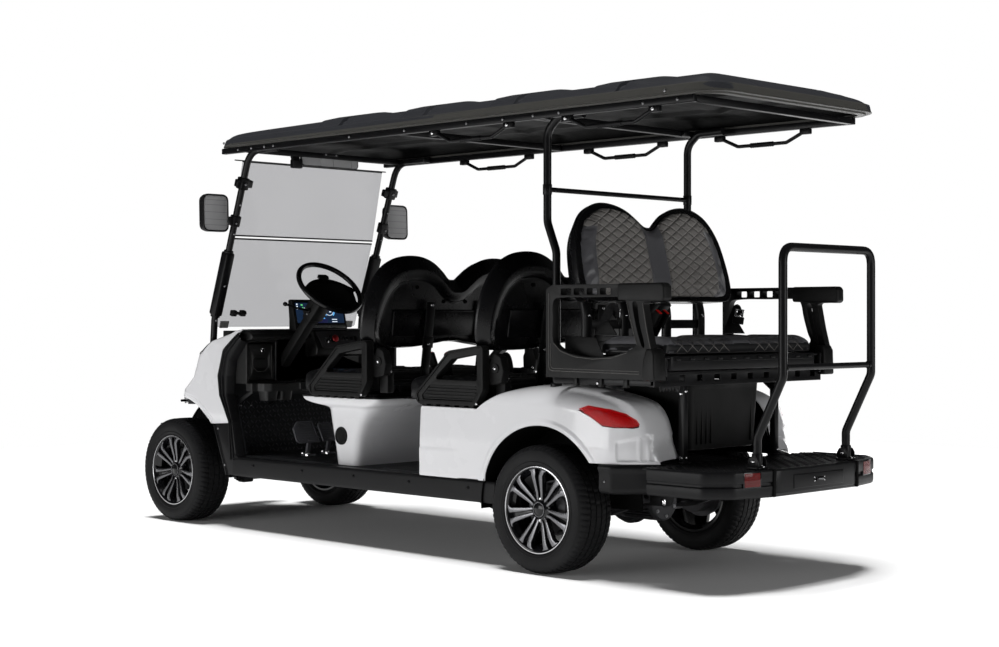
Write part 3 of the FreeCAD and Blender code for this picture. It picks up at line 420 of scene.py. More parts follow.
# ---------------------------------------------------------------- finishes
def finish(name, colour, rough, metal=0.0, coat=0.0, grain=0.0, grain_size=0.0015, mottle=0.05, wear=0.12,
           hide=False, **sockets):
    """A procedural finish: a slow change of tone and gloss, and a fine grain or, for hide, creased cells."""
    material = bpy.data.materials.new(name)
    material.use_nodes = True
    nodes, link = material.node_tree.nodes, material.node_tree.links.new
    shader = nodes["Principled BSDF"]
    place = nodes.new("ShaderNodeTexCoord").outputs["Object"]
    broad = nodes.new("ShaderNodeTexNoise")
    broad.inputs["Scale"].default_value = 6
    broad.inputs["Detail"].default_value = 6
    link(place, broad.inputs["Vector"])
    tone = nodes.new("ShaderNodeMix")
    tone.data_type = "RGBA"
    tone.inputs[6].default_value = (*[c * (1 - mottle) for c in colour], 1)
    tone.inputs[7].default_value = (*[min(1, c * (1 + mottle)) for c in colour], 1)
    link(broad.outputs["Fac"], tone.inputs[0])
    link(tone.outputs[2], shader.inputs["Base Color"])
    gloss = nodes.new("ShaderNodeMapRange")
    gloss.inputs["From Min"].default_value = 0.35
    gloss.inputs["From Max"].default_value = 0.65
    gloss.inputs["To Min"].default_value = rough * (1 - wear)
    gloss.inputs["To Max"].default_value = min(1, rough * (1 + wear))
    link(broad.outputs["Fac"], gloss.inputs["Value"])
    link(gloss.outputs["Result"], shader.inputs["Roughness"])
    shader.inputs["Metallic"].default_value = metal
    shader.inputs["Coat Weight"].default_value = coat
    shader.inputs["Coat Roughness"].default_value = 0.04
    shader.inputs["Specular IOR Level"].default_value = 0.16
    for socket, value in sockets.items():
        shader.inputs[socket.replace("_", " ")].default_value = value
    if grain:
        fine = nodes.new("ShaderNodeTexVoronoi" if hide else "ShaderNodeTexNoise")
        fine.inputs["Scale"].default_value = 1 / grain_size
        link(place, fine.inputs["Vector"])
        if hide:
            fine.feature = "SMOOTH_F1"
        else:
            fine.inputs["Detail"].default_value = 3
        bump = nodes.new("ShaderNodeBump")
        bump.inputs["Strength"].default_value = grain
        bump.inputs["Distance"].default_value = grain_size * 0.4
        link(fine.outputs["Distance" if hide else "Fac"], bump.inputs["Height"])
        link(bump.outputs["Normal"], shader.inputs["Normal"])
    return material


def add_bump(material, texture, scale, strength, depth, stretch=(1, 1, 1), turn=(0, 0, 0), **settings):
    """A second, larger relief laid over a finish.  The pattern is placed by a Mapping node."""
    nodes, link = material.node_tree.nodes, material.node_tree.links.new
    shader = nodes["Principled BSDF"]
    place = nodes.new("ShaderNodeMapping")
    place.inputs["Scale"].default_value = [scale * s for s in stretch]
    place.inputs["Rotation"].default_value = [math.radians(a) for a in turn]
    link(nodes.new("ShaderNodeTexCoord").outputs["Object"], place.inputs["Vector"])
    pattern = nodes.new(texture)
    for key, value in settings.items():
        if hasattr(pattern, key):
            setattr(pattern, key, value)
        else:
            pattern.inputs[key.replace("_", " ")].default_value = value
    link(place.outputs["Vector"], pattern.inputs["Vector"])
    bump = nodes.new("ShaderNodeBump")
    bump.inputs["Strength"].default_value = strength
    bump.inputs["Distance"].default_value = depth
    link(pattern.outputs[0], bump.inputs["Height"])
    if shader.inputs["Normal"].is_linked:
        link(shader.inputs["Normal"].links[0].from_socket, bump.inputs["Normal"])
    link(bump.outputs["Normal"], shader.inputs["Normal"])
    return material


WHITE = finish("gloss white paint", (0.69, 0.69, 0.705), 0.26, coat=0.6, grain=0.05, grain_size=0.004,
               mottle=0.006)
BLACK_PAINT = finish("powder-coated black steel", (0.005, 0.005, 0.0055), 0.34, grain=0.25,
                     grain_size=0.0012)
BLACK_PLASTIC = finish("grained black plastic", (0.0055, 0.0055, 0.0055), 0.5, grain=0.5, grain_size=0.0011,
                       hide=True)
SOFT_BLACK = finish("satin black plastic", (0.0055, 0.0055, 0.006), 0.38, grain=0.2, grain_size=0.0016)
GLOSS_BLACK = finish("gloss black plastic", (0.006, 0.006, 0.0065), 0.2, coat=0.25, grain=0.06,
                     grain_size=0.003)
# near-black and barely reflecting: real linings and dark joints, and painted shade in gaps, dimples and the
# key slot
DARK = finish("black lining and painted shade", (0.003, 0.003, 0.003), 0.8, grain=0.3, grain_size=0.003,
              Specular_IOR_Level=0.05)
TYRE = finish("black tyre rubber", (0.0065, 0.0065, 0.007), 0.58, grain=0.35, grain_size=0.0018,
              mottle=0.12)
RUBBER = finish("black seal rubber", (0.005, 0.005, 0.0055), 0.45, grain=0.2, grain_size=0.001)
BRIGHT = finish("machined alloy", (0.15, 0.15, 0.157), 0.24, metal=1.0, grain=0.5, grain_size=0.0012,
                mottle=0.45)
RIM_LINE = finish("polished rim line", (0.50, 0.50, 0.51), 0.2, metal=1.0, grain=0.1, grain_size=0.0008,
                  mottle=0.2)
WHEEL_BLACK = finish("gloss black wheel paint", (0.006, 0.006, 0.007), 0.16, coat=0.5, grain=0.08,
                     grain_size=0.002)
CHROME = finish("bright plated bolt", (0.80, 0.80, 0.81), 0.14, metal=1.0, grain=0.05, grain_size=0.001)
STEEL = finish("dull machined steel", (0.30, 0.30, 0.31), 0.42, metal=0.9, grain=0.3, grain_size=0.0012,
               mottle=0.15)
CAST = finish("grey cast metal", (0.10, 0.10, 0.105), 0.6, metal=0.5, grain=0.6, grain_size=0.002,
              mottle=0.2)
BACK_SHELL = finish("satin black seat shell", (0.0035, 0.0035, 0.004), 0.27, grain=0.14, grain_size=0.0014,
                    wear=0.25, Specular_IOR_Level=0.24)
ARM_BLACK = finish("moulded black armrest", (0.006, 0.006, 0.006), 0.42, grain=0.35, grain_size=0.0012,
                   hide=True)
ROOF_GREY = finish("dark grey roof plastic", (0.030, 0.031, 0.035), 0.42, grain=0.4, grain_size=0.0014)
ROOF_LIP = finish("grey roof lip", (0.052, 0.051, 0.047), 0.4, grain=0.4, grain_size=0.0014)
UNDER_ROOF = finish("black roof lining", (0.004, 0.004, 0.004), 0.55, grain=0.4, grain_size=0.0016,
                    Specular_IOR_Level=0.03)
PEDAL = finish("grey pedal plate", (0.10, 0.10, 0.11), 0.45, metal=0.3, grain=0.3, grain_size=0.0014)
VINYL = finish("black vinyl", (0.006, 0.006, 0.0066), 0.33, grain=0.35, grain_size=0.0022, hide=True,
               Specular_IOR_Level=0.34)


PITCH_ACROSS, QUILT_SLOPE = 0.042, 0.55


def quilted(name, colour, rough, **settings):
    """Vinyl sewn in diamonds: sunk seams, darkened by painted shade, drawn from the pad's own quilt
    coordinates.
    """
    material = finish(name, colour, rough, **settings)
    nodes, link = material.node_tree.nodes, material.node_tree.links.new
    shader = nodes["Principled BSDF"]

    def step(operation, first, second):
        node = nodes.new("ShaderNodeMath")
        node.operation = operation
        for socket, value in zip(node.inputs, (first, second)):
            if isinstance(value, float):
                socket.default_value = value
            else:
                link(value, socket)
        return node.outputs[0]

    def spread_of(near, width, low):
        node = nodes.new("ShaderNodeMapRange")
        node.interpolation_type = "SMOOTHSTEP"
        node.inputs["From Max"].default_value = width
        node.inputs["To Min"].default_value = low
        link(near, node.inputs["Value"])
        return node.outputs["Result"]

    place = nodes.new("ShaderNodeUVMap")
    place.uv_map = "quilt"
    split = nodes.new("ShaderNodeSeparateXYZ")
    link(place.outputs["UV"], split.inputs[0])
    across = step("MULTIPLY", split.outputs["X"], 0.5 / PITCH_ACROSS)
    lines = []
    for way in (1, -1):
        rising = step("MULTIPLY", split.outputs["Y"], way * 0.5 / PITCH_ACROSS / QUILT_SLOPE)
        lines.append(step("PINGPONG", step("ADD", across, rising), 0.5))
    near = step("MINIMUM", *lines)
    # painted shade: the colour falls to 30 % in the sunk seams
    seam_shade = nodes.new("ShaderNodeVectorMath")
    seam_shade.operation = "SCALE"
    link(shader.inputs["Base Color"].links[0].from_socket, seam_shade.inputs[0])
    link(spread_of(near, 0.045, 0.30), seam_shade.inputs["Scale"])
    link(seam_shade.outputs[0], shader.inputs["Base Color"])
    bump = nodes.new("ShaderNodeBump")
    bump.inputs["Strength"].default_value = 0.7
    bump.inputs["Distance"].default_value = 0.004
    link(spread_of(near, 0.16, 0.0), bump.inputs["Height"])
    link(shader.inputs["Normal"].links[0].from_socket, bump.inputs["Normal"])
    link(bump.outputs["Normal"], shader.inputs["Normal"])
    return material


# both quilted vinyls carry painted shade in their seams
GREY_VINYL = quilted("charcoal grey quilted vinyl", (0.215, 0.205, 0.195), 0.48, grain=0.5,
                     grain_size=0.002, hide=True)
QUILTED_BLACK = quilted("black quilted vinyl", (0.007, 0.007, 0.0076), 0.36, grain=0.35, grain_size=0.0022,
                        hide=True, Specular_IOR_Level=0.34)
GREY_SMOOTH = finish("smooth grey vinyl", (0.105, 0.105, 0.113), 0.34, grain=0.3, grain_size=0.0022,
                     hide=True, Specular_IOR_Level=0.5)
# light grey lines laid along the edges of black mouldings: a painted highlight
EDGE_HIGHLIGHT = finish("worn bright edge of black plastic", (0.075, 0.073, 0.070), 0.3, grain=0.2,
                   grain_size=0.001)
THREAD = finish("grey sewing thread", (0.20, 0.19, 0.18), 0.7, grain=0.6, grain_size=0.0006)
WEB = finish("black seat-belt webbing", (0.006, 0.006, 0.0066), 0.7, grain=0.3, grain_size=0.0008)
add_bump(WEB, "ShaderNodeTexWave", 1, 0.6, 0.0004, stretch=(500, 500, 500), Scale=1.0, Distortion=0.4)
BUCKLE_RED = finish("red buckle button", (0.70, 0.015, 0.012), 0.35, grain=0.1, grain_size=0.001)
BATTERY = finish("grey battery case", (0.05, 0.052, 0.056), 0.5, grain=0.4, grain_size=0.0016)
MAT_RUBBER = finish("studded rubber mat", (0.020, 0.020, 0.021), 0.5, grain=0.3, grain_size=0.0015)
add_bump(MAT_RUBBER, "ShaderNodeTexVoronoi", 36, 0.9, 0.004, stretch=(1, 1, 1), turn=(0, 0, 45),
         Randomness=0.0, voronoi_dimensions="2D")
MIRROR_SHELL = finish("black mirror shell", (0.009, 0.009, 0.0096), 0.4, grain=0.4, grain_size=0.0012,
                      hide=True)
AMBER = finish("amber lens", (0.75, 0.22, 0.01), 0.12, coat=0.6, grain=0.05, grain_size=0.002,
               Transmission_Weight=0.3)


def lens(name, colour, rough, mix=1.0):
    """A clear or tinted plastic that light passes through."""
    return finish(name, colour, rough, mottle=0.02, grain=0.03, grain_size=0.004, Transmission_Weight=mix,
                  IOR=1.49)


CLEAR = lens("clear lamp cover", (0.97, 0.98, 1.0), 0.02)
RED_LENS = lens("red lamp cover", (0.80, 0.006, 0.010), 0.08, mix=0.7)
add_bump(RED_LENS, "ShaderNodeTexVoronoi", 120, 0.5, 0.0015, Randomness=0.3)
RED_LENS.node_tree.nodes["Principled BSDF"].inputs["Specular IOR Level"].default_value = 0.2
RED_INSIDE = finish("faceted red reflector", (0.85, 0.012, 0.016), 0.25, metal=0.5, mottle=0.5)
add_bump(RED_INSIDE, "ShaderNodeTexVoronoi", 90, 1.0, 0.004, Randomness=0.6)
LAMP_SILVER = finish("silvered lamp bowl", (0.82, 0.82, 0.84), 0.12, metal=1.0, mottle=0.04, grain=0.08,
                     grain_size=0.004)


def tinted_sheet():
    """A thin grey sheet: it tints what is behind it without bending it, and reflects at a low angle."""
    material = bpy.data.materials.new("grey tinted windshield")
    material.use_nodes = True
    nodes, link = material.node_tree.nodes, material.node_tree.links.new
    nodes.remove(nodes["Principled BSDF"])
    place = nodes.new("ShaderNodeTexCoord").outputs["Object"]
    broad = nodes.new("ShaderNodeTexNoise")
    broad.inputs["Scale"].default_value = 3
    link(place, broad.inputs["Vector"])
    tone = nodes.new("ShaderNodeMix")
    tone.data_type = "RGBA"
    tone.inputs[6].default_value = (0.705, 0.705, 0.712, 1)
    tone.inputs[7].default_value = (0.730, 0.730, 0.738, 1)
    link(broad.outputs["Fac"], tone.inputs[0])
    through = nodes.new("ShaderNodeBsdfTransparent")
    link(tone.outputs[2], through.inputs["Color"])
    shine = nodes.new("ShaderNodeBsdfGlossy")
    shine.inputs["Roughness"].default_value = 0.04
    film = nodes.new("ShaderNodeBsdfDiffuse")
    film.inputs["Color"].default_value = (0.35, 0.35, 0.36, 1)
    edge = nodes.new("ShaderNodeFresnel")
    edge.inputs["IOR"].default_value = 1.18
    haze = nodes.new("ShaderNodeMixShader")
    haze.inputs[0].default_value = 0.05
    both_ways = nodes.new("ShaderNodeMixShader")
    link(through.outputs[0], haze.inputs[1])
    link(film.outputs[0], haze.inputs[2])
    link(edge.outputs[0], both_ways.inputs[0])
    link(haze.outputs[0], both_ways.inputs[1])
    link(shine.outputs[0], both_ways.inputs[2])
    link(both_ways.outputs[0], nodes["Material Output"].inputs["Surface"])
    return material


TINT = tinted_sheet()


def glow(name, colour, strength):
    """A lit part of the dash screen."""
    return finish(name, colour, 0.3, mottle=0.1, Emission_Color=(*colour, 1), Emission_Strength=strength)


SCREEN = finish("dark screen glass", (0.012, 0.022, 0.045), 0.08, coat=0.6, grain=0.02, grain_size=0.004,
                mottle=0.3, Emission_Color=(0.02, 0.05, 0.12, 1), Emission_Strength=0.35)
SCREEN_BLUE = glow("blue screen line", (0.10, 0.42, 0.85), 1.2)
SCREEN_WHITE = glow("white screen mark", (0.75, 0.85, 0.95), 1.1)


def paint(obj, material, where=None):
    """All of obj, or its faces that where() picks, in one material."""
    if where is None:
        obj.data.materials.clear()
        obj.data.materials.append(material)
        for face in obj.data.polygons:
            face.material_index = 0
        return obj
    if material.name not in obj.data.materials:
        obj.data.materials.append(material)
    index = obj.data.materials.find(material.name)
    for face in obj.data.polygons:
        if where(face):
            face.material_index = index
    return obj


# ---------------------------------------------------------------- fixings
def bolt(at, direction, radius=0.007, material=CHROME):
    """A hexagon head on a washer, standing on a surface."""
    at, direction = Vector(at), Vector(direction).normalized()
    washer = paint(rod(at, at + direction * radius * 0.22, radius * 1.45, 20, radius * 0.06), material)
    head = paint(rod(at, at + direction * radius * 0.85, radius, 6, radius * 0.14), material)
    return join(head, washer)


def button_head(at, direction, radius=0.007, material=CHROME):
    """A domed screw head with a hexagon socket."""
    at, direction = Vector(at), Vector(direction).normalized()
    profile = [(0, 0), (radius, 0), (radius, 0.25 * radius), (0.86 * radius, 0.55 * radius),
               (0.55 * radius, 0.75 * radius), (0.45 * radius, 0.78 * radius),
               (0.40 * radius, 0.40 * radius), (0, 0.40 * radius)]
    return paint(lathe(profile, at, direction, 12), material)


def scatter(model, spots):
    """Copies of a model made at the origin facing +Z, one at each (place, direction)."""
    copies = [twin(model, standing(place, direction)) for place, direction in spots]
    bpy.data.objects.remove(model)
    return join(*copies)


def round_heads(radius, material, spots):
    """Domed screw heads of one size, one at each (place, direction)."""
    return scatter(button_head((0, 0, 0), (0, 0, 1), radius, material), spots)


def hex_heads(radius, material, spots):
    """Hexagon bolt heads of one size, one at each (place, direction)."""
    return scatter(bolt((0, 0, 0), (0, 0, 1), radius, material), spots)


# ---------------------------------------------------------------- wheels
def tyre(centre):
    """Low-profile road tyre: ribbed tread, cross sipes out to the shoulders, plain banded walls."""
    r, rim, half = 0.280, 0.190, 0.1025
    side = [(rim, 0.090), (0.196, 0.0965), (0.204, 0.0985), (0.206, 0.1000), (0.209, 0.1000),
            (0.211, 0.0985), (0.226, half - 0.0005), (0.240, half), (0.252, half - 0.0025),
            (0.2535, half - 0.0040), (0.256, half - 0.0040), (0.2575, half - 0.0055), (0.266, 0.0930),
            (0.2725, 0.0850), (0.2765, 0.0750)]
    tread = []
    for groove in (0.050, 0.017, -0.017, -0.050):
        tread += [(r - 0.00002 - 0.5 * groove * groove, groove + 0.0040), (r - 0.0065, groove + 0.0028),
                  (r - 0.0065, groove - 0.0028), (r - 0.00002 - 0.5 * groove * groove, groove - 0.0040)]
    for rib in (0.034, 0.0, -0.034, 0.062, -0.062):
        tread.append((r - 0.3 * rib * rib, rib))
    tread.sort(key=lambda pair: -pair[1])
    profile = side + tread + [(a, -b) for a, b in reversed(side)]
    obj = lathe(profile, centre, "Y", steps=396)
    for vertex in obj.data.vertices:
        x, y, z = vertex.co - centre
        away = math.hypot(x, z)
        if away < 0.262:
            continue
        turn = math.atan2(z, x) / (2 * math.pi) * 66 + abs(y) * 9
        notch = 1 - ease(abs((turn % 1) - 0.5), 0.10, 0.20)
        depth = 0.0038 if abs(y) > 0.054 else 0.0028 * (math.floor(turn) % 2 if abs(y) < 0.03 else 1)
        push = 1 - notch * depth / away
        vertex.co = centre + Vector((x * push, y, z * push))
    obj.data.update()
    return paint(smooth(obj, 28), TYRE)


def rim(centre, outer):
    """Seven-spoke alloy: black barrel, bright faces, nuts and a centre cap.  outer is +1 or -1."""
    def out(radius, along):
        return radius, along * outer

    barrel = [(0.1885, 0.0930), (0.1885, 0.0865), (0.1815, 0.0840), (0.1785, 0.0740), (0.1660, 0.0600),
              (0.1660, -0.0700), (0.1785, -0.0800), (0.1885, -0.0900), (0.1885, -0.0930), (0.1790, -0.0930),
              (0.1700, -0.0800), (0.1600, -0.0680), (0.1600, 0.0560), (0.1735, 0.0740), (0.1755, 0.0860),
              (0.1800, 0.0915)]
    shell = paint(lathe([out(*p) for p in barrel], centre, "Y", 112), WHEEL_BLACK)
    lip = [(0.1890, 0.0936), (0.1890, 0.0880), (0.1842, 0.0880), (0.1840, 0.0930), (0.1852, 0.0940)]
    shell = join(shell, paint(lathe([out(*p) for p in lip], centre, "Y", 112), RIM_LINE))

    def spoke_side(sign):
        """One of the two arms of a spoke: hub end, long straight arm, then a flared shoulder at the rim."""
        arm = [(0.040, 0.0045), (0.070, 0.0052), (0.132, 0.0082), (0.146, 0.0105), (0.1765, 0.0120),
               (0.1780, 0.0630), (0.1695, 0.0600), (0.1640, 0.0400), (0.1460, 0.0330), (0.070, 0.0205),
               (0.040, 0.0175)]
        return [(b * sign, a) for a, b in arm]

    arms = []
    for sign in (1, -1):
        arm = plate([(x, z) for x, z in spoke_side(sign)], "y", 0.0, 0.026, 0.0026, 2, 25)
        for vertex in arm.data.vertices:
            reach = math.hypot(vertex.co.x, vertex.co.z)
            vertex.co.y += 0.046 + 0.018 * ease(reach, 0.05, 0.15) - 0.004 * ease(reach, 0.15, 0.18)
        paint(arm, WHEEL_BLACK)
        paint(arm, BRIGHT, lambda face: face.normal.y > 0.93)
        arms.append(arm)
    web = plate([(-0.020, 0.030), (0.020, 0.030), (0.026, 0.168), (-0.026, 0.168)], "y", 0.0, 0.010, 0.002)
    for vertex in web.data.vertices:
        vertex.co.y += 0.044 + 0.018 * ease(math.hypot(vertex.co.x, vertex.co.z), 0.05, 0.15)
    paint(web, WHEEL_BLACK)
    spoke = join(*arms, web)
    spokes = ring_of(spoke, 7, Vector((0, 0, 0)), "Y")
    hub = [(0.0, 0.050), (0.030, 0.050), (0.032, 0.056), (0.034, 0.076), (0.037, 0.078), (0.044, 0.070),
           (0.054, 0.067), (0.060, 0.058), (0.060, 0.030), (0.0, 0.030)]
    spokes = join(spokes, paint(lathe(hub, Vector(), "Y", 56), WHEEL_BLACK))
    cap = [(0.0, 0.080), (0.024, 0.079), (0.0290, 0.076), (0.0295, 0.070), (0.0295, 0.052), (0.0, 0.052)]
    spokes = join(spokes, paint(lathe(cap, Vector(), "Y", 48), GLOSS_BLACK))
    cap_ring = [(0.0300, 0.0785), (0.0322, 0.0785), (0.0322, 0.070), (0.0300, 0.070)]
    spokes = join(spokes, paint(lathe(cap_ring, Vector(), "Y", 48), BRIGHT))
    nut = bolt((0, 0.066, 0.0465), (0, 1, 0), 0.0062, CHROME)
    nuts = ring_of(nut, 4, Vector((0, 0, 0)), "Y")
    spokes = join(spokes, nuts)
    if outer < 0:
        spokes.data.transform(MIRROR)
        edit(spokes)
        bpy.ops.mesh.flip_normals()
        nothing()
    spokes.data.transform(Matrix.Translation(centre))
    drum = [out(a, b) for a, b in ((0.0, 0.024), (0.105, 0.024), (0.112, 0.018), (0.112, -0.020),
                                   (0.120, -0.022), (0.120, -0.030), (0.0, -0.030))]
    brake = paint(lathe(drum, centre, "Y", 72), CAST)
    valve = rod(centre + Vector((0.150, 0.045 * outer, 0.060)),
                centre + Vector((0.148, 0.070 * outer, 0.059)), 0.004, 12, 0.001)
    return join(shell, spokes, brake, paint(valve, RUBBER))


for corner, outer in (("front_left", 1), ("front_right", -1), ("rear_left", 1), ("rear_right", -1)):
    hub = middle(corner + "_tyre")
    piece(tyre(hub), corner + "_tyre_tread", corner + "_wheel", corner + "_tyre")
    piece(rim(hub, outer), corner + "_alloy", corner + "_wheel", corner + "_rim")


# ---------------------------------------------------------------- sweeps
def ribbon(path, profile):
    """A profile of (outwards, height) pairs carried along a plan path.  Outwards is to the path's right."""
    pts = [Vector((p[0], p[1])) for p in path]
    rows = []
    for i, here in enumerate(pts):
        before = pts[i - 1] if i else here
        after = pts[i + 1] if i < len(pts) - 1 else here
        ahead = (after - before).normalized()
        out = Vector((ahead.y, -ahead.x))
        rows.append([Vector((here.x + out.x * o, here.y + out.y * o, h)) for o, h in profile])
    return skin(rows)


def plan(points, radius, steps=5):
    """A plan path with rounded corners."""
    return [Vector((p.x, p.y)) for p in fillet([(x, y, 0) for x, y in points], radius, steps, closed=False)]


def side_plate(outline, low, high, edge=0.003, segments=2, end=REAR):
    """A plate seen from the side: (x, z) pairs in millimetres from an axle, from one y to another."""
    return plate([(end + x / 1000, z / 1000) for x, z in outline], "y", low / 1000, high / 1000, edge,
                 segments)


def floor_plate(outline, low, high, edge=0.003, segments=2, end=REAR):
    """A plate seen from above: (x, y) pairs in millimetres from an axle, from one height to another."""
    return plate([(end + x / 1000, y / 1000) for x, y in outline], "z", low / 1000, high / 1000, edge,
                 segments)


def merge(obj, gap=0.0003):
    """Points in the same place made one."""
    edit(obj)
    bpy.ops.mesh.remove_doubles(threshold=gap)
    nothing()
    return obj


# ---------------------------------------------------------------- white rear body
BODY_TOP = [(409, 700), (347, 744), (276, 779), (162, 805), (27, 814), (-123, 806), (-270, 789),
            (-384, 765), (-447, 741), (-489, 694), (-516, 626), (-550, 498)]
CREST = pairs(flow([(x, z, 0) for x, z in BODY_TOP], 90))
SIDE_Y = 600.0
CORNER_X = -395.0
BAY_Y = 340.0
ARCH = (10.0, 280.0, 362.0)
LAMP_END = -478.0
LAMP_LOW = [(-207, 724), (-300, 681), (-346, 656), (-400, 650), (-462, 650), (LAMP_END, 657)]
LAMP_HIGH = [(-207, 724), (-258, 742), (-375, 729), (-430, 712), (-464, 686), (LAMP_END, 664)]


def crest(x):
    """Height of the body's top, seen from the side."""
    return 700.0 if x > 409 else between(CREST, x)


def shoulder(x):
    """Height and width of the rounding at the top edge: tight beside the seat, broad over the wheel."""
    broad = 1 - ease(x, 160, 409)
    return 10 + 82 * broad, 12 + 112 * broad


def side_line(x):
    """Widest half width at x: straight along the side, then the slanted rear corner."""
    slope = (SIDE_Y - 452) / (CORNER_X + 552)
    soft = 62.0
    if x < CORNER_X - soft:
        return SIDE_Y + slope * (x - CORNER_X)
    return SIDE_Y - slope * max(0.0, CORNER_X + soft - x) ** 2 / (4 * soft)


def side_y(x, z):
    """Half width of the body's skin at a place seen from the side."""
    rise, reach = shoulder(x)
    top = crest(x)
    edge = min(rise, 0.6 * max(1.0, top - 498))
    y = side_line(x) - 9 * ease(z, 560, 378) - 5 * ease(z, 560, 700) * ease(x, 500, 300)
    if z > top - edge:
        c = 1 - min(1.0, (top - z) / edge)
        y -= reach * (1 - math.sqrt(max(0.0, 1 - c * c)))
    from_arch = math.hypot(x - ARCH[0], z - ARCH[1]) - ARCH[2]
    y += 7 * (1 - ease(from_arch, 14, 34)) * ease(z, 380, 420)
    y += 3.5 * (1 - ease(z, 503, 508)) * ease(x, 470, 640)
    return y


def body_low(x):
    """Lower edge of the side: the sill line, the wheel arch, then the corner trim."""
    if x > ARCH[0] + 348.3:
        return 378.3
    if x > ARCH[0] - 289:
        return ARCH[1] + math.sqrt(max(0.0, ARCH[2] ** 2 - (x - ARCH[0]) ** 2))
    return 498.0


def body_stations():
    stations = [785 - k * (785 - 359) / 54 for k in range(55)]
    stations += [ARCH[0] + ARCH[2] * math.cos(math.radians(a))
                 for a in [15.8 + k * 127.2 / 84 for k in range(85)]]
    stations += [-281 - k * 4 for k in range(68)]
    return [x for x in stations if x > -547]


def rear_side():
    """The left side: wall, rounded shoulder and top, as one skin from sill to seat."""
    rows = []
    for x in body_stations():
        low, top = body_low(x), crest(x)
        rise, reach = shoulder(x)
        rise = min(rise, 0.6 * max(1.0, top - 498))
        row = []
        wall_top = max(low + 0.5, top - rise)
        lean = 17 * ease(x, 700, 785)
        for k in range(46):
            z = low + (wall_top - low) * k / 45
            slope = lean * (z - 378) / 322
            row.append(back(x - slope, side_y(x, z) - (3 if k == 0 else 0), z))
        start = side_y(x, wall_top)
        for k in range(1, 19):
            c = math.sin(math.pi / 2 * k / 18)
            z = wall_top + (top - wall_top) * c
            row.append(back(x - lean, start - reach * (1 - math.sqrt(max(0.0, 1 - c * c))), z))
        inner = row[-1].y * 1000
        for k in range(1, 9):
            y = inner + (min(BAY_Y, inner - 2) - inner) * k / 8
            row.append(back(x - lean, y,
                            top + 3 * math.sin(math.pi * k / 8) * ease(x, 409, 200) * ease(x, -520, -380)))
        rows.append(row)
    side = skin(rows, facing=(0, 1, 0.4))
    # a shallow panel with upright folds on the slanted corner
    for vertex in side.data.vertices:
        x, z = (vertex.co.x - REAR) * 1000, vertex.co.z * 1000
        if x < -404 and z < 625:
            upper = 590 + (-404 - x) * 0.22
            under = 1 - ease(z, upper - 8, upper + 6)
            depth = 9 * ease(x, -404, -416) * under * ease(z, 506, 516) * (1 - ease(x, -528, -536))
            folds = (1 - ease(abs(x + 484), 3, 9)) + (1 - ease(abs(x + 512), 3, 9))
            depth -= 4 * folds * (1 if depth > 4 else 0)
            vertex.co += Vector((0.69, -0.73, 0)) * depth / 1000
    side.data.update()
    return wall(side, 0.004)


def lamp_rows(offset, shrink=0.0):
    """Rows over the tail lamp's outline on the body's surface, moved outwards."""
    count, rise = 44, 9
    rows = []
    for k in range(count + 1):
        x = -207 - shrink * 2 + (LAMP_END + 207 + shrink * 3) * k / count
        low, high = between(LAMP_LOW, x) + shrink, between(LAMP_HIGH, x) - shrink
        if high < low:
            low = high = (low + high) / 2
        row = []
        for j in range(rise + 1):
            z = low + (high - low) * j / rise
            turn = ease(x, CORNER_X + 62, CORNER_X - 62)
            out = Vector((-0.69 * turn, 1 - 0.27 * turn, 0)).normalized()
            row.append(back(x, side_y(x, min(z, crest(x) - 1)), z) + out * offset / 1000)
        rows.append(row)
    return rows


def slab(rows_out, thickness):
    """A sheet with a wall behind it, closed all round."""
    sheet = merge(skin(rows_out, facing=(-0.3, 1, 0)))
    apply(sheet, "SOLIDIFY", thickness=thickness, offset=-1, use_even_offset=False)
    return outward(sheet)


def tail_lamp():
    """Smooth red cover over a faceted reflector, in a dark seat."""
    seat = paint(soften(slab(lamp_rows(-3, 1.0), 0.026), 0.0), DARK)
    glow_part = paint(slab(lamp_rows(-9, 7.0), 0.010), RED_INSIDE)
    cover = paint(soften(slab(lamp_rows(1.5, 2.5), 0.004), 0.0012, 2, 50), RED_LENS)
    seat = cut(seat, slab(lamp_rows(12, 4.5), 0.034))
    return join(cover, glow_part, seat)


side = rear_side()
cut(side, slab(lamp_rows(22), 0.070))
paint(side, WHITE)
front_panel = side_plate([(785, 378.3), (768, 699), (756, 699), (772, 378.3)], -595.5, 595.5, 0.004)
front_recess = box(back(779, -480, 440), back(800, 480, 640), 0.012, 3)
front_panel = paint(cut(front_panel, front_recess), WHITE)
deck_line = [(x, crest(x) - 2) for x in [767, 740, 600, 440, 409, *range(380, -120, -20)]]
deck_line += [(x, crest(x) - 7) for x in [*range(-100, 409, 20), 409, 440, 600, 740, 767]]
lid = paint(side_plate(deck_line, -345, 345, 0.001), WHITE)
sides = both(side)
shell = join(sides, front_panel, lid)
piece(shell, "rear_body_panels", "cart", "rear_body_shell")
piece(both(tail_lamp()), "tail_lamps", "cart", "tail_lights")


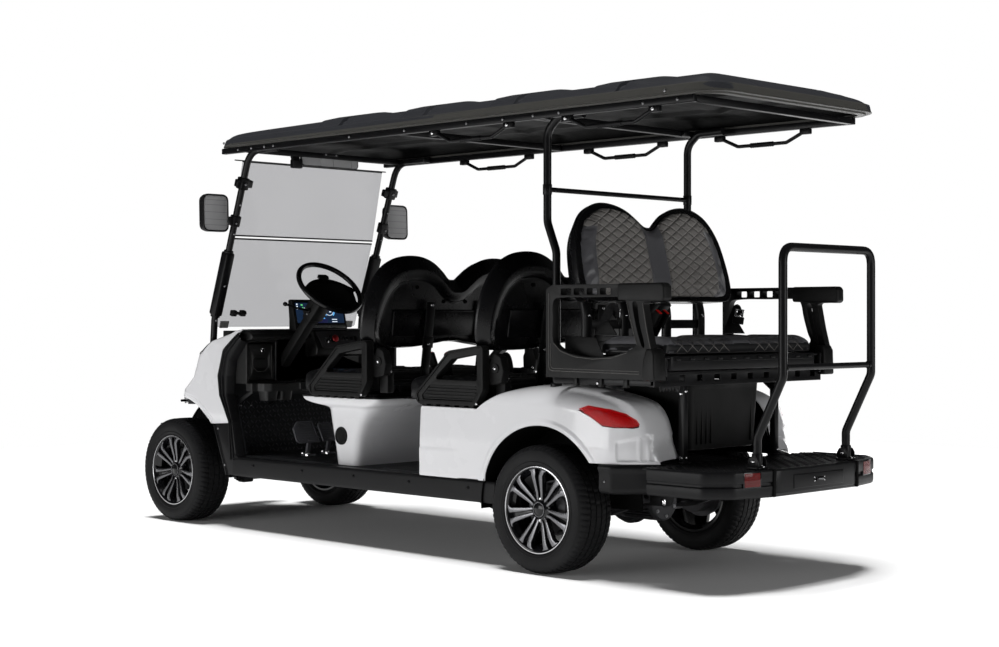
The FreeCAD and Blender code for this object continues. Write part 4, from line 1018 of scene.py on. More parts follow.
def wheel_house():
    """Dark inner arch and the linings of the bay behind it."""
    rows = []
    for k in range(49):
        a = math.radians(-4 + 150 * k / 48)
        rows.append([back(ARCH[0] + (ARCH[2] + 3) * math.cos(a), y, ARCH[1] + (ARCH[2] + 3) * math.sin(a))
                     for y in (592, 560, 480, 400, 345)])
    arch = skin(rows, facing=(0, 0, -1))
    apply(arch, "SOLIDIFY", thickness=0.004, offset=-1)
    spread_out = [math.radians(a) for a in range(0, 181, 6)]
    disc = side_plate([(ARCH[0] + 366 * math.cos(a), ARCH[1] + 366 * math.sin(a)) for a in spread_out], 338,
                      345, 0.001)
    cheek = side_plate([(-552, 498), *[(x, z - 4) for x, z in reversed(CREST) if x < -110], (-110, 800),
                        (-110, 498)], 334, 340, 0.001)
    ribs = [box(back(x, 326, 520), back(x + 10, 335, 760), 0.003) for x in (-180, -240, -300, -360, -420)]
    return paint(join(smooth(arch), disc, cheek, *ribs), DARK)


piece(both(wheel_house()), "rear_wheel_houses", "cart")


def corner_trim():
    """Black moulding under the rear corner: a rounded shelf, a flat side and a turned-in foot."""
    path = plan([(-330, 598), (-395, 598), (-553, 451), (-566, 345)], 34, 8)
    profile = [(-18, 497), (-2, 496.5), (3, 494), (6.5, 488), (7.5, 479), (5, 470), (0.5, 464), (-1, 456),
               (-1, 400), (-2, 388), (-7, 379), (-16, 373), (-22, 372)]
    trim = ribbon([(REAR + p.x / 1000, p.y / 1000) for p in path], metres(profile))
    total = sum((face.normal.y * face.area for face in trim.data.polygons))
    if total < 0:
        edit(trim)
        bpy.ops.mesh.flip_normals()
        nothing()
    wall(trim, 0.004)
    screws = round_heads(0.005, STEEL,
                         [(back(-360, 597, 425), (0, 1, 0)), (back(-552, 441, 425), (-0.9, 0.4, 0))])
    return join(paint(trim, SOFT_BLACK), screws)


piece(both(corner_trim()), "rear_corner_mouldings", "cart", "rear_corner_trims")


# ---------------------------------------------------------------- rear step and grab bar
def outer_side(obj, reference):
    """Faces turned away from a reference point."""
    total = sum((face.normal.dot(face.center - Vector(reference)) * face.area
                 for face in obj.data.polygons))
    if total < 0:
        edit(obj)
        bpy.ops.mesh.flip_normals()
        nothing()
    return obj


STEP_EDGE = [(-590, 600), (-880, 600), (-967, 502), (-1011, 300)]


def diamond(u, v):
    """Height of a raised lozenge tread at a place in metres: short bars, each crossing the next."""
    size = 0.032
    a, b = u / size, v / size
    cell = (math.floor(a) + math.floor(b)) % 2
    p, q = a - math.floor(a) - 0.5, b - math.floor(b) - 0.5
    along, across = (p + q, p - q) if cell else (p - q, p + q)
    return (1 - ease(abs(across), 0.07, 0.16)) * (1 - ease(abs(along), 0.48, 0.66))


def rear_step():
    path = plan([*STEP_EDGE, (-1014, 0)], 60, 7)
    path = [*path[:-1], *[(p[0], -p[1]) for p in reversed(path[:-1])]]
    profile = [(-16, 495.5), (-10, 497), (-4, 496), (-1, 492), (0, 486), (0, 452), (-1.5, 448), (-5, 446),
               (-6.5, 442), (-6.5, 436), (-5, 432), (-1.5, 430), (-0.5, 426), (-1, 400), (-4, 390),
               (-10, 385), (-20, 384)]
    skirt = ribbon([(REAR + p[0] / 1000, p[1] / 1000) for p in path], metres(profile))
    outer_side(skirt, back(-750, 0, 440))
    paint(wall(skirt, 0.005), SOFT_BLACK)
    # tread deck
    rows = []
    count_x, count_y = 96, 260
    for i in range(count_x + 1):
        row = []
        for j in range(count_y + 1):
            y = -588 + 1176 * j / count_y
            far = -between([(0, 1000), (300, 998), (502, 956), (588, 872)], abs(y))
            x = -560 + (far + 560) * i / count_x
            inside = ease(min(abs(x - far), 588 - abs(y)), 14, 26)
            mid = 1 - ease(abs(y), 318, 330)
            row.append(back(x, y, 492.5 + 3.6 * diamond(x / 1000, y / 1000) * inside + 1.5 * mid))
        rows.append(row)
    deck = paint(smooth(skin(rows, facing=(0, 0, 1)), 60), MAT_PLATE)
    apply(deck, "SOLIDIFY", thickness=0.006, offset=-1)
    # centre panel, standing proud between two gaps
    centre = floor_plate([(-1008, -292), (-1008, 292), (-1019, 262), (-1021, 0), (-1019, -262)], 398, 494,
                         0.004, 3)
    band = box(back(-1024, -180, 412), back(-1016, 180, 470), 0.004, 3)
    paint(join(centre, band), SOFT_BLACK)
    # near-black blocks fill the two gaps: painted shade inside them
    gaps = [paint(box(back(-1015, s * 300 - 9, 386), back(-985, s * 300 + 9, 498), 0.003), DARK)
            for s in (1, -1)]
    latch = paint(box(back(-1031, -26, 436), back(-1022, 26, 450), 0.002), GLOSS_BLACK)
    keeper = paint(tube([back(-1028, -16, 443), back(-1034, -10, 443), back(-1034, 10, 443),
                         back(-1028, 16, 443)], 0.0025, 0.004, 10), STEEL)
    tips = round_heads(0.0035, CHROME,
                       [(back(-1024, y, z), (-1, 0, 0)) for y in (-36, 36) for z in (436, 450)])
    # reflectors at the slanted corners
    lamps = []
    for s in (1, -1):
        lens_box = box((-0.004, -0.043, -0.029), (0.004, 0.043, 0.029), 0.004, 3)
        frame_box = box((-0.003, -0.047, -0.033), (0.0025, 0.047, 0.033), 0.004, 3)
        place = Matrix.Translation(back(-984, 414, 460)) @ Matrix.Rotation(math.radians(-12.5), 4, "Z")
        paint(lens_box, RED_REFLECT)
        paint(frame_box, GLOSS_BLACK)
        both_parts = join(lens_box, frame_box)
        both_parts.data.transform(place)
        if s < 0:
            both_parts.data.transform(MIRROR)
            edit(both_parts)
            bpy.ops.mesh.flip_normals()
            nothing()
        lamps.append(both_parts)
    underside = paint(floor_plate([(-570, 570), (-856, 570), (-944, 488), (-990, 290), (-990, -290),
                                   (-944, -488), (-856, -570), (-570, -570)], 470, 486, 0.002), DARK)
    ribs = [paint(box(back(-985 if abs(y) < 300 else -936, y - 8, 410), back(-575, y + 8, 472), 0.003),
                  DARK) for y in (-450, -240, 0, 240, 450)]
    return join(skirt, deck, centre, latch, keeper, tips, underside, *ribs, *gaps), join(*lamps)


MAT_PLATE = finish("black tread plate", (0.010, 0.010, 0.0105), 0.42, grain=0.5, grain_size=0.0012)
RED_REFLECT = finish("dark red reflector", (0.11, 0.005, 0.005), 0.2, coat=0.25, mottle=0.3)
add_bump(RED_REFLECT, "ShaderNodeTexVoronoi", 220, 0.8, 0.0012, Randomness=0.0)
step, reflectors = rear_step()
piece(step, "rear_step_moulding", "cart", "rear_step")
piece(reflectors, "rear_step_reflectors", "cart")


def grab_bar():
    """Bent tube hoop with a cross bar, on bolted feet."""
    y = 321
    left = [back(-941, y, 503), back(-941, y, 620), back(-1067, y, 870), back(-1067, y, 1395)]
    route = [*left, *[Vector((p.x, -p.y, p.z)) for p in reversed(left)]]
    hoop = tube([(*p, 0.055 if i not in (3, 4) else 0.062) for i, p in enumerate(route)], 0.018, 0.055, 20,
                steps=8)
    cross = tube([back(-1067, -y, 910), back(-1067, y, 910)], 0.0125, sides=16)
    collars = [rod(back(-1067, s * (y - 30), 910), back(-1067, s * (y - 16), 910), 0.0155, 24, 0.002)
               for s in (1, -1)]
    parts = [hoop, cross, *collars]
    spots = []
    for s in (1, -1):
        foot = fillet([(-975, s * y - 36), (-907, s * y - 36), (-907, s * y + 36), (-975, s * y + 36)], 12)
        parts.append(floor_plate(foot, 497.5, 505, 0.0015))
        parts.append(rod(back(-941, s * y, 503), back(-941, s * y, 560), 0.0225, 28, 0.003))
        tab = fillet([(-968, 504), (-914, 504), (-914, 530), (-926, 548), (-956, 548), (-968, 530)], 8)
        ear = side_plate(tab, s * y - 29, s * y - 24, 0.001)
        parts += [ear, twin(ear, shift(y=0.053))]
        spots += [(back(-941, s * y + 29, 527), (0, 1, 0)), (back(-941, s * y - 29, 527), (0, -1, 0)),
                  (back(-968, s * y, 505), (0, 0, 1))]
    bolts = round_heads(0.0085, CHROME, spots)
    return join(paint(join(*parts), BLACK_PAINT), bolts)


piece(grab_bar(), "grab_hoop", "cart", "grab_bar")


# ---------------------------------------------------------------- front cowl
# height, end of the flat side, corner, nose: millimetres from the front axle
NOSE = [(545, -55, 185, 345, 372, 110), (720, -63, 180, 340, 362, 110), (790, -155, 130, 330, 300, 110),
        (915, -198, 15, 320, 130, 120), (985, -300, -120, 300, -40, 130),
        (1038, -480, -400, 280, -330, 140)]
DOOR_EDGE = [(545, -332), (552, -455), (565, -460), (697, -385), (802, -371), (941, -419), (1024, -539),
             (1045, -539)]
WHEEL_ARCH = (0.0, 280.0, 405.0)


def nose_line(z, count=78):
    """Half of the cowl's outline at a height, from the door edge to the middle of the nose."""
    side_end, corner_x, corner_y, nose_x, nose_y = (between([(row[0], row[k]) for row in NOSE], z)
                                                    for k in range(1, 6))
    half = 588 - 22 * ease(z, 960, 1040) - 6 * ease(z, 600, 560)
    start = min(between(DOOR_EDGE, z), side_end - 20)
    corners = [(start, half, 0), (side_end, half, 0, 70), (corner_x, corner_y, 0, 110),
               (nose_x, nose_y, 0, 120), (nose_x + 6, 0, 0)]
    return [Vector((p.x, p.y)) for p in spread(fillet(corners, 60, 6, closed=False), count)]


def nose_y(x, z):
    """Half width of the cowl at a place seen from the side."""
    return between(pairs(nose_line(z)), x)


def cowl():
    rows = []
    heights = [545 + k * 175 / 22 for k in range(23)] + [720 + k * 318 / 50 for k in range(1, 51)]
    for z in heights:
        half = nose_line(z)
        bow = 10 * math.sin(math.pi * ease(z, 560, 1000)) if z < 1000 else 0
        row = [fore(p.x, p.y + bow * 0.35 * (1 - ease(p.x, -160, -60)), z) for p in half]
        rows.append(row + [Vector((p.x, -p.y, p.z)) for p in reversed(row[:-1])])
    last = nose_line(1038)
    for k, rise in ((1, 3), (2, 4), (5, 6), (9, 9), (12, 11)):
        near = 1 - k / 12
        row = [fore(-539 + (p.x + 539) * near, p.y * (1 - 0.01 * min(k, 2)), 1038 + rise) for p in last]
        rows.append(row + [Vector((p.x, -p.y, p.z)) for p in reversed(row[:-1])])
    skin_piece = outer_side(merge(skin(rows), 0.0002), fore(-200, 0, 700))
    wall(skin_piece, 0.004)
    for s in (1, -1):
        bpy.ops.mesh.primitive_cylinder_add(vertices=160, radius=WHEEL_ARCH[2] / 1000, depth=0.42,
                                            location=fore(0, s * 472, 280), rotation=(math.pi / 2, 0, 0))
        tool = bpy.context.object
        pick(tool)
        bpy.ops.object.transform_apply(location=True, rotation=True, scale=True)
        cut(skin_piece, tool)
    lamp_hole = floor_plate([(-34, 551), (16, 601), (272, 345), (222, 295)], 643, 713, 0.0, 2, FRONT)
    cut(skin_piece, twin(lamp_hole, MIRROR), lamp_hole)
    return paint(smooth(skin_piece, 32), WHITE)


def arch_lip():
    """Raised double band round the wheel opening, and the dark liner inside it."""
    rows, inner = [], []
    for k in range(61):
        a = math.radians(41.5 + 97 * k / 60)
        c, s = math.cos(a), math.sin(a)
        row = []
        for r, out in ((400, -26), (402, -4), (404, 3), (408, 6), (416, 6.5), (419, 3), (421, 2.6),
                       (430, 2.4), (434, -1)):
            x, z = r * c, 280 + r * s
            row.append(fore(x, nose_y(x, max(z, 546)) + out, z))
        rows.append(row)
    for k in range(61):
        a = math.radians(22 + 136 * k / 60)
        x, z = 399 * math.cos(a), 280 + 399 * math.sin(a)
        edge = nose_y(x, max(z, 546)) - 8
        if z > 625 and -40 < x < 236:
            edge = min(edge, 559 - 256 * (x + 34) / 262 - 60)
        inner.append([fore(x, 262 + (max(edge, 275) - 262) * j / 4, z) for j in range(5)])
    lip = skin(rows, facing=(0, 1, 0))
    apply(lip, "SOLIDIFY", thickness=0.003, offset=-1)
    liner = skin(inner, facing=(0, 0, -1))
    apply(liner, "SOLIDIFY", thickness=0.004, offset=-1)
    turns = [math.radians(22 + 136 * k / 40) for k in range(41)]
    disc = side_plate([(400 * math.cos(a), 280 + 400 * math.sin(a)) for a in turns], 256, 262, 0.001, 2,
                      FRONT)
    ribs = [side_plate([(398 * math.cos(a), 280 + 398 * math.sin(a)),
                        (398 * math.cos(a + 0.03), 280 + 398 * math.sin(a + 0.03)),
                        (386 * math.cos(a + 0.03), 280 + 386 * math.sin(a + 0.03)),
                        (386 * math.cos(a), 280 + 386 * math.sin(a))], 275, 470, 0.002, 2, FRONT)
            for a in (1.2, 1.6, 2.0, 2.4)]
    return paint(smooth(lip, 40), WHITE), paint(smooth(join(liner, disc, *ribs), 40), DARK)


def line_on_nose(start, end):
    """Points on the cowl between two (place round the outline 0..1, height) pairs."""
    count, lift_out = 24, 0.4
    points = []
    for k in range(count + 1):
        u = start[0] + (end[0] - start[0]) * k / count
        z = start[1] + (end[1] - start[1]) * k / count
        row = nose_line(z, 200)
        p = row[min(199, max(0, int(u * 199)))]
        points.append(fore(p.x + lift_out, p.y + lift_out, z))
    return points


def pillar_boot():
    """Black oval boot in the cowl round the windshield pillar's foot."""
    rows = []
    for reach, rise in ((1.0, -1), (1.0, 3), (0.93, 6), (0.74, 6), (0.66, 1.5), (0.45, -6)):
        row = []
        for k in range(41):
            a = 2 * math.pi * k / 40
            along, across = 62 * reach * math.cos(a), 27 * reach * math.sin(a)
            x, z = -238 + along * 0.62 + across * 0.55, 962 - along * 0.75 + across * 0.48
            y = nose_y(x, z)
            row.append(fore(x, y + rise, z))
        rows.append(row)
    boot = skin(rows, facing=(0, 1, 0))
    apply(boot, "SOLIDIFY", thickness=0.003, offset=-1)
    floor_piece = skin([[fore(-238 + 40 * i * 0.62, nose_y(-238, 962) - 5, 962 - 30 * i + 14 * j)
                         for j in (-1, 1)] for i in (-1, 1)], facing=(0, 1, 0))
    apply(floor_piece, "SOLIDIFY", thickness=0.004, offset=-1)
    return paint(smooth(join(boot, floor_piece), 35), SOFT_BLACK)


lip, liner = arch_lip()
hood = cowl()
seam = tube(line_on_nose((0.55, 735), (0.62, 1036)), 0.0022, sides=8)
badge_strip = tube([fore(377, y, 742 - 0.0002 * y * y) for y in range(-100, 101, 20)], 0.0022, sides=8)
badge_strip.data.transform(Matrix.Translation((-0.006, 0, 0)))
dark_lines = paint(join(both(seam), badge_strip), DARK)
piece(join(hood, both(lip), dark_lines), "front_cowl_panels", "cart", "front_cowl")
piece(both(liner), "front_wheel_houses", "cart")
piece(both(pillar_boot()), "pillar_boots", "cart")


# ---------------------------------------------------------------- headlamps and bumper
def headlamp():
    """Clear slanted cover over a dark seat, two silvered bowls and a daytime line."""
    cover_rows, back_rows = [], []
    for k in range(25):
        t = k / 24
        row, far = [], []
        for j in range(11):
            v = j / 10
            z = 641 + 74 * v
            x, y = -34 + 262 * t, 559 - 256 * t
            out = 7 * math.sin(math.pi * v) ** 0.6 * math.sin(math.pi
                                                              * min(1, max(0, 0.04 + 0.92 * t))) ** 0.4 + 3
            row.append(fore(x + out * 0.70, y + out * 0.71, z))
            far.append(fore(x - 44, y - 45, 640 + 76 * v))
        cover_rows.append(row)
        back_rows.append(far)
    cover = skin(cover_rows, facing=(0.7, 0.7, 0))
    apply(cover, "SOLIDIFY", thickness=0.003, offset=-1)
    seat = skin(back_rows, facing=(0.7, 0.7, 0))
    apply(seat, "SOLIDIFY", thickness=0.005, offset=-1)
    outline = [(-40, 546), (216, 291), (178, 250), (-82, 505)]
    roof_plate = floor_plate(outline, 715, 719, 0.001, 2, FRONT)
    base_plate = floor_plate(outline, 637, 641, 0.001, 2, FRONT)
    ends = [floor_plate([(-44, 549), (-40, 545), (-80, 503), (-86, 509)], 638, 718, 0.001, 2, FRONT),
            floor_plate([(212, 293), (218, 291), (180, 248), (174, 252)], 638, 718, 0.001, 2, FRONT)]
    paint(join(seat, roof_plate, base_plate, *ends), GLOSS_BLACK)
    lamps = []
    for t in (0.33, 0.66):
        x, y = -44 + 262 * t, 549 - 256 * t
        aim = Vector((0.70, 0.714, 0))
        bowl = lathe([(0.031, 0.0), (0.0335, 0.0), (0.0335, -0.004), (0.028, -0.018), (0.012, -0.030),
                      (0.0, -0.030), (0.0, -0.027), (0.011, -0.027), (0.026, -0.016)],
                     fore(x - 9, y - 9, 678), aim, 40)
        eye = lathe([(0.0, 0.0), (0.008, 0.0015), (0.013, -0.003), (0.014, -0.012), (0.0, -0.012)],
                    fore(x - 17, y - 17, 678), aim, 32)
        lamps += [paint(smooth(bowl, 40), LAMP_SILVER), paint(smooth(eye, 60), CLEAR)]
    strip = paint(tube([fore(-44 + 262 * t - 6, 549 - 256 * t - 6, 704) for t in (0.06, 0.3, 0.6, 0.94)],
                       0.0035, sides=10), LAMP_SILVER)
    amber = paint(tube([fore(-44 + 262 * t - 6, 549 - 256 * t - 6, 651) for t in (0.06, 0.16, 0.24)],
                       0.0045, sides=10), AMBER)
    return join(seat, *lamps, strip, amber), paint(smooth(cover, 40), CLEAR)


def front_bumper():
    path = plan([(373, 400), (390, 400), (428, 326), (440, 170), (440, 0)], 40, 6)
    path = [*path[:-1], *[(p[0], -p[1]) for p in reversed(path)]]
    profile = [(-30, 503), (-8, 506), (-2, 503), (0, 494), (0, 474), (-6, 467), (-10, 464), (-10, 420),
               (-6, 415), (0, 411), (0, 370), (-5, 348), (-16, 334), (-34, 331)]
    skirt = ribbon([(FRONT + p[0] / 1000, p[1] / 1000) for p in path], metres(profile))
    outer_side(skirt, fore(300, 0, 440))
    wall(skirt, 0.005)
    slats = [flat_bar([fore(430 - abs(y) * 0.02, y, z) for y in (-290, -150, 0, 150, 290)], 0.007, 0.010,
                      edge=0.002) for z in (424, 436, 448, 460)]
    posts = [box(fore(424, y - 4, 416), fore(432, y + 4, 466), 0.002) for y in range(-280, 281, 70)]
    bolts = round_heads(0.006, STEEL, [(fore(435, y, 390), (1, 0, 0)) for y in (-200, 200)])
    hook = paint(tube([fore(436, -14, 362), fore(452, -14, 362), fore(452, 14, 362), fore(436, 14, 362)],
                      0.005, 0.010, 12), STEEL)
    hook.data.transform(Matrix.Translation((-0.018, 0, 0)))
    inner = paint(floor_plate([(346, 396), (378, 396), (422, 316), (428, 0), (422, -316), (378, -396),
                               (346, -396)], 340, 498, 0.004, 2, FRONT), DARK)
    lamps = []
    for s in (1, -1):
        lamps.append(lathe([(0.026, 0), (0.030, 0.002), (0.030, -0.008), (0.010, -0.012), (0, -0.012),
                            (0, -0.009), (0.02, -0.006)], fore(431, s * 306, 442), "X", 32))
    bar = join(paint(skirt, SOFT_BLACK), paint(join(*slats, *posts), GLOSS_BLACK), inner, hook, bolts)
    return join(bar, paint(smooth(join(*lamps), 40), LAMP_SILVER))


bowls, covers = headlamp()
piece(both(bowls), "headlamp_bowls", "cart", "headlights")
piece(both(covers), "headlamp_covers", "cart")
piece(front_bumper(), "front_bumper_moulding", "cart", "front_bumper")


# ---------------------------------------------------------------- door surrounds, sills and front seat pod
def surround():
    """Black frame round the door opening: parallel ridges, then a facet turned inwards."""
    outer = [(-474, 362), (-466, 560), (-385, 697), (-369, 802), (-417, 942), (-505, 1006), (-541, 1032)]
    inner = [(-546, 362), (-494, 560), (-449, 706), (-452, 800), (-464, 884), (-556, 984), (-600, 1002)]
    out_line = fillet([(x, 0, z) for x, z in outer], 34, 5, closed=False)
    in_line = fillet([(x, 0, z) for x, z in inner], 34, 5, closed=False)
    section = [(0.0, 572), (0.0, 588), (0.03, 591), (0.16, 591), (0.19, 588), (0.21, 584), (0.34, 584),
               (0.37, 588), (0.40, 589.5), (0.47, 589), (0.50, 583), (0.52, 579), (0.66, 577), (0.69, 580),
               (0.72, 580.5), (0.78, 578), (0.84, 570), (1.0, 540), (1.0, 531)]
    rows = []
    for a, b in zip(out_line, in_line):
        rows.append([fore(a.x + (b.x - a.x) * u, y - 8 * ease(a.z, 985, 1035), a.z + (b.z - a.z) * u) for u,
                     y in section])
    frame_piece = skin(rows, facing=(0, 1, 0))
    wall(frame_piece, 0.004)
    lower = side_plate([(-447, 279), (-333, 543), (-452, 552), (-500, 400), (-540, 378), (-546, 279)], 531,
                       583, 0.006, 3, FRONT)
    lip_piece = flat_bar([fore(-443, 584, 280), fore(-331, 584, 541)], 0.008, 0.012, edge=0.003)
    inner_lip = flat_bar([fore(-450, 577, 290), fore(-345, 577, 540)], 0.016, 0.006, edge=0.002)
    bolts = round_heads(0.006, STEEL,
                        [(fore(-428, 584, 330), (0, 1, 0)), (fore(-368, 584, 520), (0, 1, 0))])
    return join(paint(join(frame_piece, lower, lip_piece, inner_lip), SOFT_BLACK), bolts)


piece(both(surround()), "door_frames", "cart", "door_surrounds")


def sill():
    x_rear, x_front = 300, 2745 - 500
    profile = [(530, 285), (534, 279), (576, 277.5), (581, 279), (583.5, 284), (584, 292), (584, 362),
               (583, 370), (579, 376), (572, 378), (566, 376.5), (536, 376.5), (530, 374)]
    rows = [[back(x, y, z) for y, z in [*profile, profile[0]]]
            for x in [x_rear + (x_front - x_rear) * k / 12 for k in range(13)]]
    bar = skin(rows)
    close_ends(bar)
    outward(merge(bar))
    soften(bar, 0.0008, 1, 50)
    seal = box(back(400, 570, 378.2), back(786, 590, 384), 0.002)
    spots = [(back(x, 584, 340), (0, 1, 0)) for x in range(470, 2230, 400)]
    bolts = round_heads(0.0075, RUBBER, spots)
    return join(paint(bar, SOFT_BLACK), paint(seal, RUBBER), bolts)


piece(both(sill()), "sill_mouldings", "cart", "sills")

# height, rear, front, half width, corner: the white pedestal growing into the seat base
POD = [(378, 1352, 1517, 496, 52), (450, 1346, 1530, 497, 54), (520, 1336, 1548, 498, 58),
       (580, 1314, 1566, 499, 66), (620, 1286, 1580, 500, 78), (646, 1258, 1592, 501, 92),
       (660, 1240, 1604, 504, 100), (668, 1226, 1622, 510, 90), (674, 1210, 1654, 516, 70),
       (682, 1192, 1704, 520, 62), (692, 1178, 1740, 522, 54), (702, 1171, 1756, 523, 50),
       (710, 1170, 1760, 523, 48), (714, 1171, 1759, 522, 47), (716, 1176, 1754, 517, 44)]


def pod():
    rows = []
    for k in range(61):
        t = k / 60
        z = 378 + 338 * (t * 1.35 if t < 0.5 else 0.675 + (t - 0.5) * 0.65)
        rear_x, front_x, half, corner = (between([(row[0], row[j]) for row in POD], z) for j in range(1, 5))
        ring = fillet([(rear_x, -half), (front_x, -half), (front_x, half), (rear_x, half)], corner, 9)
        row = [back(p.x, p.y, z) for p in ring]
        rows.append(row + [row[0]])
    base = outer_side(merge(skin(rows), 0.0001), back(1440, 0, 560))
    wall(base, 0.004)
    strip_rows = []
    for z, out in ((712, 0), (712.5, 2), (716, 3), (720.5, 2.5), (722, 0), (721, -12), (716, -12)):
        ring = fillet([(1170 - out, -523 - out), (1760 + out, -523 - out), (1760 + out, 523 + out),
                       (1170 - out, 523 + out)], 48, 9)
        row = [back(p.x, p.y, z) for p in ring]
        strip_rows.append(row + [row[0]])
    strip_rows.append(strip_rows[0])
    strip = outward(merge(skin(strip_rows), 0.0001))
    lid = paint(floor_plate(fillet([(1178, -515), (1752, -515), (1752, 515), (1178, 515)], 44, 6), 708, 714,
                            0.001), SOFT_BLACK)
    return join(paint(base, WHITE), paint(smooth(strip, 40), RUBBER), lid)


def speaker():
    """Round grille with a raised rim and rows of small holes."""
    rim = lathe([(0.036, 0.0), (0.039, 0.003), (0.043, 0.0035), (0.045, 0.0), (0.045, -0.006),
                 (0.036, -0.006)], back(1462, 501, 522), "Y", 48)
    mesh_disc = lathe([(0.0, 0.0015), (0.02, 0.0012), (0.037, 0.0), (0.037, -0.004), (0.0, -0.004)],
                      back(1462, 501, 522), "Y", 48)
    return join(paint(smooth(rim, 40), SOFT_BLACK), paint(smooth(mesh_disc, 40), GRILLE))


GRILLE = finish("black speaker mesh", (0.010, 0.010, 0.010), 0.5, metal=0.3, grain=0.0)
add_bump(GRILLE, "ShaderNodeTexVoronoi", 330, 0.9, 0.0016, Randomness=0.15)
pod_body = pod()
speakers = both(speaker())
piece(join(pod_body, speakers), "front_seat_pedestal", "cart", "front_seat_pod")


# ---------------------------------------------------------------- seats
def curve(points, per=6, closed=False):
    """A smooth line through points, with the same number of steps between each pair."""
    pts = [Vector(p) for p in points]
    ends = [pts[-1], *pts, pts[0], pts[1]] if closed else [pts[0] * 2 - pts[1], *pts, pts[-1] * 2 - pts[-2]]
    line = []
    for i in range(1, len(ends) - 2):
        a, b, c, d = ends[i - 1 : i + 3]
        for k in range(per):
            t = k / per
            line.append(0.5 * (2 * b + (c - a) * t + (2 * a - 5 * b + 4 * c - d) * t * t
                               + (3 * b - a - 3 * c + d) * t ** 3))
    return line if closed else [*line, pts[-1]]


def whole(half):
    """Both sides of an outline given for one side, from its middle at the top round to the bottom."""
    return [*half, *[(-y, z) for y, z in reversed(half[1:-1])]]


def ring_stack(rings):
    """Closed rings of points joined into one skin, its ends filled down to a point."""
    rows = [[*ring, ring[0]] for ring in rings]
    return outward(merge(skin(rows), 0.00005))


def towards(ring, centre, amount):
    return [p + (centre - p) * amount for p in ring]


def cloth_pad(obj, voxel, cap, pinned):
    """The closed form remeshed, swollen by a short cloth simulation, capped, and subdivided once."""
    pick(obj)
    obj.data.remesh_voxel_size = voxel
    bpy.ops.object.voxel_remesh()
    apply(obj, "SMOOTH", factor=0.5, iterations=3)
    start = [v.co.copy() for v in obj.data.vertices]
    held = obj.vertex_groups.new(name="held")
    held.add([v.index for v in obj.data.vertices if pinned(v.co)], 1.0, "REPLACE")
    cloth = obj.modifiers.new("Cloth", "CLOTH")
    cloth.settings.quality = 4
    cloth.settings.use_pressure = True
    cloth.settings.uniform_pressure_force = 4
    cloth.settings.tension_stiffness = 12
    cloth.settings.vertex_group_mass = "held"
    cloth.settings.effector_weights.gravity = 0
    cloth.collision_settings.use_collision = False
    for frame_number in range(1, 21):
        bpy.context.scene.frame_set(frame_number)
    swollen = obj.evaluated_get(bpy.context.evaluated_depsgraph_get()).data
    moved = [v.co.copy() for v in swollen.vertices]
    obj.modifiers.remove(cloth)
    obj.vertex_groups.clear()
    bpy.context.scene.frame_set(1)
    for vertex, old, new in zip(obj.data.vertices, start, moved):
        way = new - old
        vertex.co = old + way * min(1.0, cap / max(way.length, 1e-6))
    apply(obj, "SUBSURF", levels=1, render_levels=1)
    return smooth(obj, 60)


def fill_ends(obj):
    """A pad's open ends filled and its faces turned outwards."""
    edit(obj)
    bpy.ops.mesh.select_all(action="DESELECT")
    bpy.ops.mesh.select_non_manifold()
    bpy.ops.mesh.fill()
    nothing()
    return outward(obj)


def sew(obj, depth, facing, sheet):
    """Seams and channels pressed into a pad, against its faces' outward normals.

    depth(place) is in metres, and sheet(place) gives the quilt coordinates.
    """
    layer = obj.data.uv_layers.new(name="quilt")
    spots = [sheet(v.co) for v in obj.data.vertices]
    for loop in obj.data.loops:
        layer.data[loop.index].uv = spots[loop.vertex_index]
    normals = [v.normal.copy() for v in obj.data.vertices]
    for vertex, normal in zip(obj.data.vertices, normals):
        side = normal.dot(Vector(facing))
        if side > 0.25:
            vertex.co -= normal * depth(vertex.co) * ease(side, 0.25, 0.6)
    obj.data.update()
    return smooth(obj, 60)


def groove(distance, width):
    return math.exp(-((distance / width) ** 2))


def quilt(u, v):
    """Depth of a diamond quilting, from 0 on a cushion's crown to 1 in the seams."""
    a, b = (u + v / QUILT_SLOPE) / PITCH_ACROSS / 2, (u - v / QUILT_SLOPE) / PITCH_ACROSS / 2
    near = min(abs(a - round(a)), abs(b - round(b)))
    return 1 - min(1, near / 0.30) ** 0.55


MID_BACK = [(0, 340), (34, 346), (80, 384), (146, 426), (230, 452), (326, 455), (418, 437), (496, 392),
            (548, 320), (577, 240), (588, 150), (582, 70), (560, 24), (510, 4), (400, 0), (250, 2),
            (130, 16), (50, 27), (0, 29)]
MID_CORE = [(0, 226), (56, 236), (104, 268), (160, 312), (236, 334), (312, 334), (376, 318), (424, 282),
            (458, 228), (478, 166), (488, 104), (484, 62), (466, 38), (430, 27), (380, 24), (250, 25),
            (130, 38), (50, 50), (0, 52)]
REAR_BACK = [(0, 340), (34, 347), (76, 378), (130, 413), (200, 437), (280, 446), (352, 436), (420, 404),
             (470, 352), (505, 282), (524, 190), (531, 100), (522, 40), (492, 8), (430, 0), (300, 0),
             (160, 0), (60, 0), (0, 0)]
REAR_CORE = [(0, 250), (46, 256), (90, 284), (140, 320), (200, 340), (270, 346), (326, 336), (374, 308),
             (408, 262), (430, 206), (440, 140), (442, 84), (434, 50), (412, 32), (370, 26), (290, 24),
             (160, 24), (60, 24), (0, 24)]


